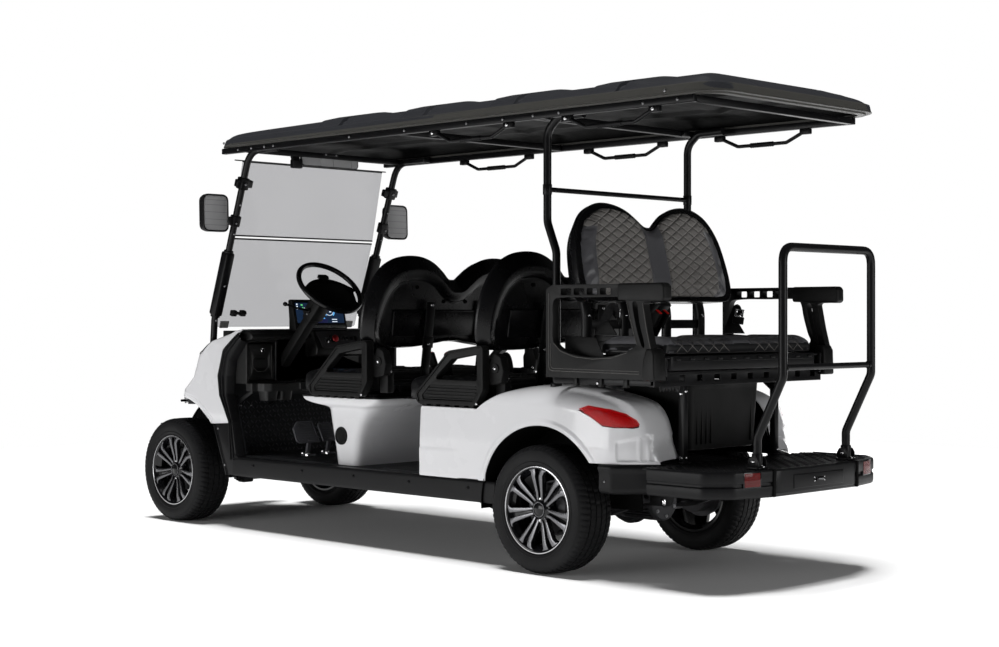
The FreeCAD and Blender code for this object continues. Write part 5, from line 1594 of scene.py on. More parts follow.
def seat_shell(outline, core, half_depth, rim=4):
    """Moulded shell at a backrest's hard side: rounded rim, two broad bevels and a sunk flat panel."""
    outer = curve([(0, y / 1000, z / 1000) for y, z in whole(outline)], 5, closed=True)
    inner = curve([(0, y / 1000, z / 1000) for y, z in whole(core)], 5, closed=True)
    centre = Vector((0, 0, 0.11))
    rings = []
    h = half_depth
    steps = ((0.05, rim + 2), (0.0, rim), (0.0, 0), (0.012, -5), (0.05, -11), (0.46, 3 - h),
             (0.49, 0.6 - h), (0.53, -h), (0.87, 9 - h), (0.91, 12 - h), (0.96, 20 - h), (1.0, 22 - h))
    for amount, depth in steps:
        rings.append([a + (b - a) * amount + Vector((depth / 1000, 0, 0)) for a, b in zip(outer, inner)])
    last = rings[-1]
    for amount in (0.04, 0.5, 0.98):
        rings.append(towards(last, centre + Vector(((22 - h) / 1000, 0, 0)), amount))
    sheet = ring_stack(rings)
    fill_ends(sheet)
    return smooth(sheet, 24)


def back_pad(outline, depth, front):
    """Front pad of a backrest, before it is sewn: it is made smaller than its case and swells."""
    outer = curve([(0, y / 1000, z / 1000) for y, z in whole(outline)], 5, closed=True)
    centre = Vector((0, 0, 0.17))
    rings = [towards(outer, centre, 0.98)]
    for amount, t in ((0.5, 3), (0.045, 3), (0.02, 8), (0.016, depth - 26), (0.03, depth - 14),
                      (0.075, depth - 7), (0.17, depth - 4), (0.5, depth - 2), (0.98, depth - 2)):
        rings.append([p + Vector((t / 1000, 0, 0)) for p in towards(outer, centre, amount)])
    rings[0] = [Vector((0.003, p.y, p.z)) for p in rings[0]]
    pad = ring_stack(rings)
    fill_ends(pad)
    cloth_pad(pad, 0.009, 0.009, lambda p: p.x < 0.012)
    edge_line = [(p.z, p.y) for p in outer if p.y > 0.2 and p.z < 0.36]
    edge_line.sort()

    def depth_at(p):
        y = abs(p.y)
        edge = between(edge_line, p.z) if p.z < 0.36 else 0.6
        bolster = edge - 0.094
        cut_in = 0.008 * groove(y - 0.066, 0.0055) + 0.007 * groove(y - bolster, 0.006)
        rim = min(edge - y, 0.1)
        if 0.070 < y < bolster - 0.004 and p.z > 0.02:
            soft = ease(y, 0.070, 0.086) * (1 - ease(y, bolster - 0.018, bolster - 0.004))
            cut_in += 0.0042 * quilt(y - 0.25, p.z) * soft * ease(rim, 0.0, 0.03)
        if y < 0.06:
            cut_in += 0.004 * (1 - (y / 0.06) ** 2)
        return cut_in

    return sew(pad, depth_at, (front, 0, 0), lambda p: (abs(p.y) - 0.25, p.z))


def unquilted(outline):
    """Picks a backrest pad's faces outside its two sewn panels: channel, bolsters and edge."""
    line = sorted((z / 1000, y / 1000) for y, z in outline if y > 100)

    def plain(face):
        y, z = abs(face.center.y), face.center.z
        return y < 0.063 or face.center.x < 0.022 or (z < 0.33 and y > between(line, z) - 0.092)

    return plain


def leaning(x, base, lean, turned=False):
    place = Matrix.Translation(back(x, 0, base)) @ Matrix.Rotation(math.radians(lean), 4, "Y")
    return place @ Matrix.Rotation(math.pi, 4, "Z") if turned else place


def piped(outline, t, radius, inset=0.0):
    line = towards(curve([(t, y / 1000, z / 1000) for y, z in whole(outline)], 5, closed=True),
                   Vector((t, 0, 0.17)), inset)
    return tube(line, radius, sides=10, closed=True)


ROW_PITCH, MIDDLE_DROP = 794, -0.016
SEAT_BASE, SEAT_LEAN, REAR_SEAT_LEAN = 716.3, -8, 14
ROWS = (("front", 0, 0.0), ("middle", -ROW_PITCH, MIDDLE_DROP))
shell = seat_shell(MID_BACK, MID_CORE, 48)
panel = plate([(-0.41, 0.060), (0.41, 0.060), (0.41, 0.192), (-0.41, 0.192)], "x", -0.0365, -0.020, 0.006,
              3)
crease = plate([(-0.39, 0.186), (0.39, 0.186), (0.385, 0.192), (-0.385, 0.192)], "x", -0.0385, -0.030,
               0.0018, 2)
# near-black heads mark the shell's four dimples: painted shade in them
dimples = round_heads(0.010, DARK,
                      [((-0.0265, y, z), (-1, 0, 0)) for y,
                       z in ((-0.265, 0.305), (0.265, 0.305), (-0.075, 0.235), (0.075, 0.235))])
shell = join(paint(shell, BACK_SHELL), paint(join(panel, crease), BACK_SHELL), dimples)
pad = back_pad(MID_BACK, 48, 1)
paint(pad, QUILTED_BLACK)
paint(pad, VINYL, unquilted(MID_BACK))
trim = paint(piped(MID_BACK, 0.0045, 0.0028, 0.004), RUBBER)
for name, offset, drop in ROWS:
    place = leaning(1228 + offset, 962, SEAT_LEAN)
    piece(twin(shell, place), name + "_row_back_shell", "cart", ("seat_backs",) if offset
          else ())
    cushion_piece = piece(join(twin(pad, place), twin(trim, place)), name + "_row_back_pad", "cart")
for part in (shell, pad, trim):
    bpy.data.objects.remove(part)


def bench(x_low, x_high, half, low, high, cap, front):
    """A bench cushion: flat below, crowned above, its sides drawn in between the corners."""
    size_x, rise = (x_high - x_low) / 1000, (high - low) / 1000
    mid = back((x_low + x_high) / 2, 0, low)
    rings = []
    for inset, z in ((0.30, 0.002), (0.012, 0.002), (0.006, 0.010), (0.004, rise * 0.45),
                     (0.007, rise - 0.030), (0.020, rise - 0.016), (0.055, rise - 0.010),
                     (0.16, rise - 0.008)):
        corners = [(-size_x / 2 + inset, -half / 1000 + inset), (size_x / 2 - inset, -half / 1000 + inset),
                   (size_x / 2 - inset, half / 1000 - inset), (-size_x / 2 + inset, half / 1000 - inset)]
        rings.append([Vector((mid.x + p.x, p.y, mid.z + z))
                      for p in fillet(corners, max(0.012, 0.05 - inset * 0.2), 5)])
    form = ring_stack(rings)
    fill_ends(form)
    cloth_pad(form, 0.010, cap, lambda p: p.z < mid.z + 0.008)

    def relief(p):
        u, y = (p.x - mid.x) * front, abs(p.y)
        cut_in = 0.009 * groove(y - 0.072, 0.0065) + 0.008 * groove(y - (half / 1000 - 0.085), 0.0065)
        inside = ease(y, 0.074, 0.09) * (1 - ease(y, half / 1000 - 0.104, half / 1000 - 0.088))
        seat = inside * (1 - ease(abs(u), size_x / 2 - 0.06, size_x / 2 - 0.045))
        cut_in += inside * 0.006 * groove(abs(u) - (size_x / 2 - 0.052), 0.006)
        cut_in += 0.004 * quilt(y - 0.27, u) * seat + 0.007 * inside
        return cut_in

    return sew(form, relief, (0, 0, 1), lambda p: (abs(p.y) - 0.27, (p.x - mid.x) * front))


bench_pad = paint(bench(1252, 1743, 533, 739, 855, 0.010, 1), VINYL)
BENCH_MIDDLE = back((1252 + 1743) / 2, 0, 0).x
paint(bench_pad, QUILTED_BLACK, lambda f: f.normal.z > 0.5 and 0.08 < abs(f.center.y) < 0.44
      and abs(f.center.x - BENCH_MIDDLE) < 0.195)
WELT_SIDE = [(1252, 500), (1262, 524), (1290, 532), (1500, 531), (1705, 532), (1733, 524), (1742, 500)]
welt_path = [*WELT_SIDE, (1741, 0), *[(x, -y) for x, y in reversed(WELT_SIDE)], (1253, 0)]
welt_line = curve([back(x, y, 744) for x, y in welt_path], 5, closed=True)
welt = paint(tube(welt_line, 0.003, sides=8, closed=True), RUBBER)
bench_pad = join(bench_pad, welt)
for name, offset, drop in ROWS:
    cushion_piece = piece(twin(bench_pad, shift(offset / 1000, 0, drop)), name + "_row_bench_cushion",
                          "cart", ("seat_cushions",) if offset else ())
bpy.data.objects.remove(bench_pad)


def buckle(at, direction):
    """Seat-belt buckle on its stalk: a tapered case with a coloured button."""
    case = box((-0.011, -0.021, 0.0), (0.011, 0.021, 0.072), 0.006, 3)
    button = paint(box((-0.007, -0.016, 0.066), (0.0075, 0.016, 0.075), 0.0025, 2), BUCKLE_RED)
    stalk = paint(tube([(0, 0, -0.095), (0, 0, 0.01)], 0.006, sides=10), BLACK_PLASTIC)
    band = paint(box((-0.002, -0.016, -0.09), (0.002, 0.016, 0.01), 0.0015), WEB)
    made = join(paint(case, BLACK_PLASTIC), button, stalk, band)
    made.data.transform(standing(at, Vector(direction).normalized()))
    return made


def webbing(points, width=0.046):
    """A flat strap through points, its width level across the cart."""
    return paint(flat_bar(curve(points, 6), width, 0.0016, up=(0, 1, 0), edge=0.0005), WEB)


def tongue(at, direction):
    """Bright belt tongue in its black grip."""
    grip = paint(box((-0.005, -0.026, 0.0), (0.005, 0.026, 0.034), 0.003, 2), BLACK_PLASTIC)
    metal = paint(cut(box((-0.0012, -0.021, -0.036), (0.0012, 0.021, 0.002), 0.0006),
                      box((-0.01, -0.010, -0.028), (0.01, 0.010, -0.012), 0.0)), CHROME)
    made = join(grip, metal)
    made.data.transform(standing(at, Vector(direction).normalized()))
    return made


def seat_arm():
    """Moulded loop armrest with a ribbed lower panel and a foot with notches."""
    outline = fillet([(1165, 1004), (1390, 975), (1616, 773), (1600, SEAT_BASE + 10),
                      (1215, SEAT_BASE + 10), (1165, 800)], 26, 6)
    window = fillet([(1204, 962), (1370, 936), (1488, 842), (1202, 842)], 14, 5)
    arm = side_plate(pairs(outline), 545, 590, 0.0)
    cut(arm, side_plate(pairs(window), 520, 620, 0.0))
    panel_cut = fillet([(1200, 816), (1512, 816), (1566, 768), (1560, 748), (1232, 748), (1200, 790)], 10,
                       4)
    cut(arm, side_plate(pairs(panel_cut), 583, 620, 0.0))
    soften(arm, 0.007, 3, 40)
    ribs = []
    for k, z in enumerate((752, 767, 782, 797, 811)):
        ribs.append(box(back(1212, 581, z), back(1556 - 9 * k if z > 760 else 1552, 588, z + 5.5), 0.0022))
    rim = flat_bar([back(1186, 590, 990), back(1386, 590, 963), back(1598, 590, 772), back(1586, 590, 735)],
                   0.004, 0.012, 0.018, (0, 1, 0), 0.0015)
    feet = [box(back(x, 548, SEAT_BASE - 2), back(x + 34, 584, SEAT_BASE + 12), 0.003)
            for x in range(1230, 1580, 62)]
    link = box(back(1300, 500, SEAT_BASE + 1), back(1480, 547, SEAT_BASE + 19), 0.004)
    bolts = round_heads(0.007, CHROME,
                        [(back(1204, 590, 738), (0, 1, 0)), (back(1178, 545, 880), (0, -1, 0))])
    hinge_line = fillet([(1092, 832), (1168, 820), (1172, 905), (1140, 968), (1098, 950), (1078, 890)], 12,
                        4)
    hinge = side_plate(pairs(hinge_line), 500, 546, 0.008, 3)
    bracket = box(back(1100, 470, 745), back(1160, 512, 850), 0.006)
    hub = lathe([(0, 0.0), (0.020, 0.0), (0.022, -0.003), (0.022, -0.02), (0, -0.02)], back(1126, 552, 898),
                "Y", 32)
    extra = round_heads(0.008, CHROME,
                        [(back(1126, 552, 898), (0, 1, 0)), (back(1098, 498, 850), (-0.9, 0, 0.2))])
    return join(paint(join(arm, *ribs, rim, *feet, link, hub), ARM_BLACK),
                paint(join(hinge, bracket), BLACK_PLASTIC), bolts, extra)


def seat_pan():
    """Seat base with a turned rim, and the two flat posts of the backrest with their bolts."""
    pan = floor_plate(fillet([(1206, -500), (1690, -500), (1690, 500), (1206, 500)], 40, 5), SEAT_BASE,
                      SEAT_BASE + 22, 0.006, 3)
    lip = [box(back(x, -498, SEAT_BASE - 1), back(x + 10, 498, SEAT_BASE + 24), 0.003)
           for x in (1225, 1672)]
    parts = [pan, *lip]
    spots = []
    for s in (1, -1):
        post = box((-0.005, s * 0.19 - 0.027, 0.002), (0.005, s * 0.19 + 0.027, 0.476), 0.0025)
        gusset = box((-0.012, s * 0.19 - 0.034, 0.0), (0.012, s * 0.19 + 0.034, 0.030), 0.004)
        pad_plate = box((-0.007, s * 0.19 - 0.034, 0.245), (0.003, s * 0.19 + 0.034, 0.30), 0.003)
        upright = join(post, gusset, pad_plate)
        leaned = Matrix.Rotation(math.radians(SEAT_LEAN), 4, "Y")
        upright.data.transform(Matrix.Translation(back(1203.6, 0, SEAT_BASE)) @ leaned)
        parts.append(upright)
        for z, y in ((456, 0), (262, 0), (34, -14), (34, 14)):
            spots.append((back(1196 - z * math.tan(math.radians(-SEAT_LEAN)), s * 190 + y, SEAT_BASE + z),
                          (-1, 0, -0.14)))
    cross = rod(back(1150, -470, 792), back(1150, 470, 792), 0.013, 20, 0.002)
    bolts = round_heads(0.008, CHROME, spots)
    hooks = [tube([back(1205, y, 742), back(1215, y + 12, 765), back(1228, y, 772)], 0.004, 0.01, 8)
             for y in (-300, -120, 60, 330)]
    return join(paint(join(*parts, cross, *hooks), BLACK_PAINT), bolts)


arm = both(seat_arm())
frame_part = seat_pan()
for name, offset, drop in ROWS:
    place = shift(offset / 1000, 0, drop)
    piece(twin(arm, place), name + "_row_arms", "cart", ("seat_arms",) if offset else ())
    piece(twin(frame_part, place), name + "_row_frame", "cart", ("seat_frames",) if offset
          else ())
    belts = [buckle(back(1262 + offset, y, 862 + drop * 1000), (0.35, 0.1 * y / 60, 0.93))
             for y in (-52, 52)]
    for s in (1, -1):
        belts.append(webbing([back(1236 + offset, s * 470, 760 + drop * 1000),
                              back(1240 + offset, s * 474, 850 + drop * 1000),
                              back(1262 + offset, s * 468, 905 + drop * 1000),
                              back(1300 + offset, s * 440, 872 + drop * 1000),
                              back(1330 + offset, s * 400, 866 + drop * 1000)]))
        belts.append(tongue(back(1338 + offset, s * 388, 868 + drop * 1000), (-0.55, s * 0.8, 0.02)))
    piece(join(*belts), name + "_row_belts", "cart")
bpy.data.objects.remove(arm)
bpy.data.objects.remove(frame_part)


# ---------------------------------------------------------------- rear seat
REAR_PAD = [(y * 0.968, 170 + (z - 170) * 0.94) for y, z in REAR_BACK]
rear_shell = paint(seat_shell(REAR_BACK, REAR_CORE, 74, 20), BACK_SHELL)
rear_pad = paint(back_pad(REAR_PAD, 46, 1), GREY_VINYL)
paint(rear_pad, GREY_SMOOTH, unquilted(REAR_PAD))
paint(rear_pad, VINYL, lambda f: f.center.x < 0.022)
rear_trim = paint(piped(REAR_BACK, 0.021, 0.003, 0.004), RUBBER)
for part in (rear_shell, rear_pad, rear_trim):
    part.data.transform(leaning(-160, 1180, REAR_SEAT_LEAN, True))
piece(rear_shell, "rear_seat_back_shell", "cart")
piece(join(rear_pad, rear_trim), "rear_seat_back_pad", "cart", "rear_seat_back")

rear_bench = paint(bench(-640, -256, 538, 954.5, 1034, 0.009, -1), VINYL)
paint(rear_bench, GREY_SMOOTH, lambda f: f.normal.z > 0.35)


def cross_stitch(pad, y_low, y_high, z_low, z_high, start_x, way):
    """Two crossing zigzags of thread laid on a cushion's upright edge."""
    lines = []
    count = max(2, round((y_high - y_low) / 0.072))
    for phase in (0, 1):
        points = []
        for k in range(count + 1):
            z = z_high if (k + phase) % 2 else z_low
            points.append((y_low + (y_high - y_low) * k / count, z))
        dense = []
        for (y0, z0), (y1, z1) in zip(points, points[1:]):
            dense += [(y0 + (y1 - y0) * t / 5, z0 + (z1 - z0) * t / 5) for t in range(5)]
        path = []
        for y, z in [*dense, points[-1]]:
            hit, place = pad.ray_cast(Vector((start_x - 0.15 * way, y, z)), Vector((way, 0, 0)))[:2]
            path.append((place.x - 0.0002 * way if hit else start_x, y, z))
        lines.append(tube(path, 0.0012, sides=6))
    return paint(join(*lines), THREAD)


stitches = [cross_stitch(rear_bench, a, b, 0.966, 1.018, -1.69, 1) for a,
            b in ((0.09, 0.45), (-0.45, -0.09))]
rear_cushion = piece(join(rear_bench, *stitches), "rear_bench_cushion", "rear_seat",
                     "rear_seat_cushion")


def seat_deck():
    """Moulded board under the rear cushion, with a row of tabs along its hinged edge."""
    board = floor_plate(fillet([(-651, -520), (-253, -520), (-253, 520), (-651, 520)], 22, 5), 890.5, 953,
                        0.005, 3)
    groove_bar = box(back(-654, -505, 928), back(-648, 505, 931), 0.001)
    tabs = [box(back(-656, y - 15, 934), back(-648, y + 15, 944), 0.002) for y in range(-470, 471, 94)]
    ends = [box(back(-640, s * 521 - 3, 900), back(-270, s * 521 + 3, 936), 0.003) for s in (1, -1)]
    return paint(join(board, groove_bar, *tabs, *ends), SOFT_BLACK)


piece(seat_deck(), "rear_seat_board", "rear_seat", "rear_seat_deck")


def rear_arm():
    """Side frame of the rear seat: base panel with a swooping top, front post, beam and curved strut."""
    outline = fillet([(-64, 856, 4), (-64, 1232, 20), (-100, 1250, 10), (-716, 1250, 16), (-718, 1178, 12),
                      (-604, 1176, 14), (-628, 1060, 60), (-648, 984, 8), (-664, 960, 8),
                      (-664, 856, 4)], 8, 5)
    arm = side_plate(pairs(outline), 600, 638, 0.0)
    opening = ((-106, 1010), (-104, 1100), (-108, 1180), (-160, 1196), (-320, 1196), (-470, 1196),
               (-512, 1180), (-530, 1110), (-552, 1040), (-566, 1000), (-520, 972), (-430, 950),
               (-330, 944), (-230, 952), (-150, 974))
    window = curve([(x, z, 0) for x, z in opening], 4, closed=True)
    cut(arm, side_plate(pairs(window), 580, 660, 0.0))
    gap = pairs(curve([(x, z, 0) for x, z in ((-548, 1168), (-572, 1168), (-585, 1090), (-612, 1000),
                                              (-596, 996), (-566, 1080))], 3, closed=True))
    cut(arm, side_plate(gap, 580, 660, 0.0))
    for x in (-150, -224, -298, -372):
        cut(arm, side_plate(fillet([(x, 1206), (x - 58, 1206), (x - 58, 1234), (x, 1234)], 5, 2), 580, 660,
                            0.0))
    soften(arm, 0.005, 3, 40)
    cap = side_plate(fillet([(-470, 1182), (-706, 1176), (-720, 1186), (-719, 1238), (-704, 1252),
                             (-470, 1252)], 12, 4), 592, 645, 0.009, 4)
    corner = side_plate([(-600, 852), (-668, 852), (-664, 962), (-650, 986), (-620, 984), (-604, 930)], 566,
                        643, 0.008, 3)
    # light grey lines along the frame's post, foot and openings: painted highlights on their edges
    edge_highlights = [tube([back(-82, 639, 1214), back(-82, 639, 884), back(-585, 639, 880)], 0.0019, 0.022, 8),
             tube([back(-92, 639, 1000), back(-92, 639, 894), back(-585, 639, 890)], 0.0013, 0.018, 8),
             tube([back(x, 638.6, z) for x, z in ((-520, 966), (-430, 943), (-330, 937), (-230, 945),
                                                  (-150, 967), (-110, 1000))], 0.0014, 0.03, 8),
             tube([back(x, 638.6, z) for x, z in ((-644, 984), (-624, 1060), (-602, 1170))], 0.0016, 0.03,
                  8),
             tube([back(x, 638.6, z) for x, z in ((-572, 1000), (-558, 1040), (-536, 1110), (-518, 1176))],
                  0.0016, 0.03, 8)]
    foot = box(back(-560, 560, 857), back(-120, 602, 868), 0.003)
    inner_panel = side_plate(fillet([(-108, 870), (-560, 870), (-560, 948), (-330, 946), (-286, 1024),
                                     (-108, 1034)], 12, 4), 560, 566, 0.002)
    brackets = [box(back(x - 22, 585, 820), back(x, 605, 858), 0.003) for x in (-190, -330, -470)]
    bolts = round_heads(0.007, CHROME,
                        [(back(-620, 600, 900), (0, -1, 0)), (back(-90, 600, 900), (0, -1, 0)),
                         (back(-330, 606, 836), (0, 1, 0))])
    return join(paint(join(arm, cap, corner, foot, inner_panel, *brackets), ARM_BLACK),
                paint(join(*edge_highlights), EDGE_HIGHLIGHT), bolts)


piece(both(rear_arm()), "rear_seat_side_frames", "cart", "rear_seat_arms")


def rear_frame():
    """Rails under the rear seat: a slotted rail behind, side rails, hinge lugs and struts."""
    rail = side_plate([(-628, 826), (-628, 886), (-600, 886), (-600, 880), (-621, 878), (-621, 834),
                       (-600, 832), (-600, 826)], -594, 594, 0.0)
    holes = [box(back(-640, y - 19, 846), back(-612, y + 19, 872), 0.0)
             for y in (*range(-530, -40, 118), *range(58, 531, 118))]
    cut(rail, join(*holes))
    soften(rail, 0.0015, 2, 40)
    front_rail = flat_bar([back(-83, -594, 843), back(-83, 594, 843)], 0.026, 0.030, edge=0.003)
    parts = [rail, front_rail]
    spots = []
    for s in (1, -1):
        parts += [flat_bar([back(-610, s * 578, 843), back(-72, s * 578, 843)], 0.034, 0.028, edge=0.003),
                  flat_bar([back(-600, s * 268, 857), back(-72, s * 268, 857)], 0.030, 0.052, edge=0.003),
                  flat_bar([back(-562, s * 325, 500), back(-562, s * 325, 834)], 0.029, 0.029, edge=0.003,
                           up=(1, 0, 0)),
                  box(back(-583, s * 325 - 28, 497), back(-541, s * 325 + 28, 503), 0.002),
                  box(back(-109, s * 317 - 17, 800), back(-83, s * 317 + 17, 832), 0.003)]
        lug = fillet([(-656, 864), (-603, 864), (-603, 884), (-626, 950), (-640, 957), (-656, 950)], 9, 3)
        parts.append(side_plate(pairs(lug), 545.5 if s > 0 else -556.5, 556.5 if s > 0 else -545.5, 0.002))
        parts.append(rod(back(-640, s * 502, 945), back(-640, s * 557, 945), 0.006, 20, 0.001))
        brace = fillet([(-576, 835), (-576, 760), (-480, 835)], 4, 2)
        parts.append(side_plate(pairs(brace), s * 325 - 3, s * 325 + 3, 0.001))
        spots += [(back(-640, s * 557, 945), (0, s, 0)), (back(-577, s * 325, 520), (-1, 0, 0)),
                  (back(-577, s * 325, 800), (-1, 0, 0)), (back(-562, s * 340, 520), (0, s, 0)),
                  (back(-562, s * 340, 790), (0, s, 0))]
    teeth = [(386, 826)]
    for k in range(7):
        teeth += [(388 + 20 * k, 826 if k == 0 else 820), (398 + 20 * k, 804)]
    teeth += [(526, 826)]
    parts.append(plate(metres(teeth), "x", REAR - 0.60, REAR - 0.594, 0.001))
    bolts = round_heads(0.008, CHROME, spots)
    return join(paint(join(*parts), BLACK_PAINT), bolts)


piece(rear_frame(), "rear_seat_rails", "cart", "rear_seat_frame")


def storage_box():
    """Tapered plastic bin with upright ribs and a turned rim."""
    rows = []
    for z, grow in ((542, -20), (546, -14), (600, -11), (700, -6), (800, -1), (818, 0), (822, 3), (829, 3)):
        ring = fillet([(-540 - grow, -245 - grow), (-150 + grow, -245 - grow), (-150 + grow, 245 + grow),
                       (-540 - grow, 245 + grow)], 30, 5)
        row = [back(p.x, p.y, z) for p in ring]
        rows.append([*row, row[0]])
    base = rows[0]
    middle_point = back(-345, 0, 542)
    rows.insert(0, [p + (middle_point - p) * 0.99 for p in base])
    case = outer_side(merge(skin(rows), 0.0003), back(-345, 0, 680))
    wall(case, 0.005)
    ribs = []
    for y in (-190, 96, 128, 160, 192):
        ribs.append(box(back(-534, y - 4, 566), back(-524, y + 4, 806), 0.003))
        ribs[-1].data.transform(Matrix.Translation((-0.002, 0, 0)))
    for x in (-480, -400, -320, -240):
        ribs += [box(back(x - 4, s * 238 - 5, 570), back(x + 4, s * 238 + 5, 800), 0.003) for s in (1, -1)]
    lid = paint(floor_plate([(-536, -240), (-154, -240), (-154, 240), (-536, 240)], 824, 829, 0.001),
                BLACK_PLASTIC)
    rims = [box(back(-538, s * 258 - 14, 823), back(-152, s * 258 + 14, 829), 0.002) for s in (1, -1)]
    return paint(join(case, *ribs, lid, *rims), BLACK_PLASTIC)


piece(storage_box(), "rear_storage_bin", "cart", "storage_bin")


def back_posts():
    """Four curved brackets that carry the rear backrest, with a triangular brace in the middle."""
    parts, spots = [], []
    for y in (-400, -150, 150, 400):
        line = curve([back(x, y, z) for x, z in ((-84, 862), (-84, 1000), (-84, 1120), (-72, 1180),
                                                 (-58, 1260), (-36, 1370), (-30, 1398))], 4)
        parts.append(flat_bar(line, 0.022, 0.050, up=(0, 1, 0), edge=0.004))
        spots += [(back(-98, y + 12 * q, z), (-1, 0, 0)) for q, z in ((-1, 900), (1, 900), (0, 1120))]
    web = side_plate(fillet([(-92, 1075), (-92, 1172), (-196, 1176), (-206, 1164)], 8, 3), -40, 40, 0.004)
    cross = flat_bar([back(-80, -420, 1080), back(-80, 420, 1080)], 0.012, 0.040, edge=0.003)
    bolts = round_heads(0.007, CHROME, spots)
    return join(paint(join(*parts, web, cross), BLACK_PAINT), bolts)


piece(back_posts(), "rear_back_brackets", "cart", "rear_back_posts")
rear_belts = [buckle(back(-196, y, 1076), (-0.55, 0.05, 0.83)) for y in (34, 84)]
rear_belts.append(webbing([back(-120, 59, 1040), back(-150, 59, 1044), back(-190, 59, 1070)], 0.06))
for s in (1, -1):
    rear_belts.append(paint(side_plate([(-176, 1036), (-306, 1036), (-262, 1096), (-240, 1096)],
                                       s * 452 - 4, s * 452 + 4, 0.003), BLACK_PLASTIC))
    rear_belts.append(webbing([back(-210, s * 452, 1050), back(-246, s * 450, 1120),
                               back(-270, s * 440, 1150), back(-292, s * 424, 1118)], 0.046))
    rear_belts.append(tongue(back(-292, s * 424, 1114), (0.12, -s * 0.1, -1.0)))
piece(join(*rear_belts), "rear_seat_belts", "cart")


# ---------------------------------------------------------------- roof
ROOF_FRONT, ROOF_REAR, ROOF_HALF, ROOF_LOW = 2445.0, -950.0, 615.0, 2005.0
STEPS = [(1549, 1361), (927, 750), (335, 161), (-261, -431)]
SIDE_RISE = [(0, 10), (5, 22), (14, 43), (20, 46), (26, 47), (62, 72), (76, 78), (170, 101), (262, 119),
             (300, 120)]
FRONT_RISE = [(0, 26), (8, 34), (24, 40), (70, 62), (400, 92), (1000, 119)]
REAR_RISE = [(0, 10), (5, 22), (14, 43), (20, 46), (44, 51), (80, 72), (140, 98), (205, 119)]
FRONT_CORNER, REAR_CORNER = 240.0, 150.0


def roof_half(x):
    """Half width of the roof's outline at x, with its rounded corners."""
    near, corner = min((x - ROOF_REAR, REAR_CORNER), (ROOF_FRONT - x, FRONT_CORNER))
    if near >= corner:
        return ROOF_HALF
    return ROOF_HALF - corner + math.sqrt(max(0.0, corner ** 2 - (corner - near) ** 2))


def roof_top(x, y):
    half = roof_half(x)
    side = half - abs(y)
    ahead, behind = ROOF_FRONT - x, x - ROOF_REAR
    rises = [between(SIDE_RISE, side), between(FRONT_RISE, ahead), between(REAR_RISE, behind)]
    low = min(rises)
    soft = 4.0
    height = low - soft * math.log(sum(math.exp(-(r - low) / soft) for r in rises))
    raised = 0.0
    for step, notch in STEPS:
        raised = max(raised, 11 * ease(x, step + 7, step - 7) if x > notch
                     else 11 * (1 - ease(notch - x, 60, 150)))
        hollow = (1 - ease(abs(x - notch), 14, 19)) * ease(side, 22, 34) * (1 - ease(side, 150, 200))
        height -= 16 * hollow
    top = ease(side, 30, 60) * ease(behind, 40, 90)
    height += raised * top
    for y_notch in (-240, 240):
        across = 1 - ease(abs(y - y_notch), 8, 16)
        height -= 9 * across * ease(behind, 30, 44) * (1 - ease(behind, 86, 110))
    height -= 2.5 * (1 - ease(abs(abs(y) - 345), 3, 9)) * ease(behind, 120, 150) * ease(ahead, 420, 700)
    return ROOF_LOW + height


def stations(low, high, fine, coarse, marks):
    """Places along a line: close together at the ends and at the marks, wider between."""
    spots = {low, high}
    value = low
    while value < high:
        near = min([value - low, high - value, *[abs(value - mark) for mark in marks]])
        value += fine + (coarse - fine) * ease(near, 30, 130)
        spots.add(min(value, high))
    return sorted(spots)


def roof_skin():
    marks = [m for pair in STEPS for m in pair]
    rows = []
    across = [-1 + 2 * k / 92 for k in range(93)]
    for x in stations(ROOF_REAR + 1, ROOF_FRONT - 1, 6, 42, marks):
        half = roof_half(x)
        row = []
        for s in across:
            y = half * math.copysign(1 - (1 - abs(s)) ** 1.45, s)
            row.append(back(x, y, roof_top(x, y)))
        rows.append(row)
    top = skin(rows, facing=(0, 0, 1))
    return smooth(top, 28)


def roof_edge():
    """Rolled lip round the roof, with a ledge turned in under it."""
    outline = []
    for x, y, corner, start in ((ROOF_REAR, -1, REAR_CORNER, 180), (ROOF_FRONT, -1, FRONT_CORNER, 270),
                                (ROOF_FRONT, 1, FRONT_CORNER, 0), (ROOF_REAR, 1, REAR_CORNER, 90)):
        middle_x, middle_y = x + (corner if x < 0 else -corner), y * (ROOF_HALF - corner)
        for k in range(15):
            a = math.radians(start + 90 * k / 14)
            outline.append(Vector((middle_x + corner * math.cos(a), middle_y + corner * math.sin(a))))
    profile = [(-17, 46), (-13.5, 44), (-11, 39), (-2, 18), (1.5, 11), (1.0, 8), (-3, 6.5), (-14, 6),
               (-22, 6), (-24, 0), (-60, 0), (-60, 10), (-26, 14), (-24, 34), (-22, 42)]
    rows = []
    count = len(outline)
    for i, here in enumerate(outline):
        ahead = (outline[(i + 1) % count] - outline[i - 1]).normalized()
        out = Vector((ahead.y, -ahead.x))
        thin = 1 - 0.34 * ease(here.x, ROOF_FRONT - 420, ROOF_FRONT - 40)
        rows.append([back(here.x + out.x * o, here.y + out.y * o,
                          ROOF_LOW + (h * thin if h > 14 else h * (0.4 + 0.6 * thin))) for o,
                     h in [*profile, profile[0]]])
    rows.append(rows[0])
    edge = skin(rows)
    merge(edge, 0.0001)
    return smooth(outward(edge), 40)


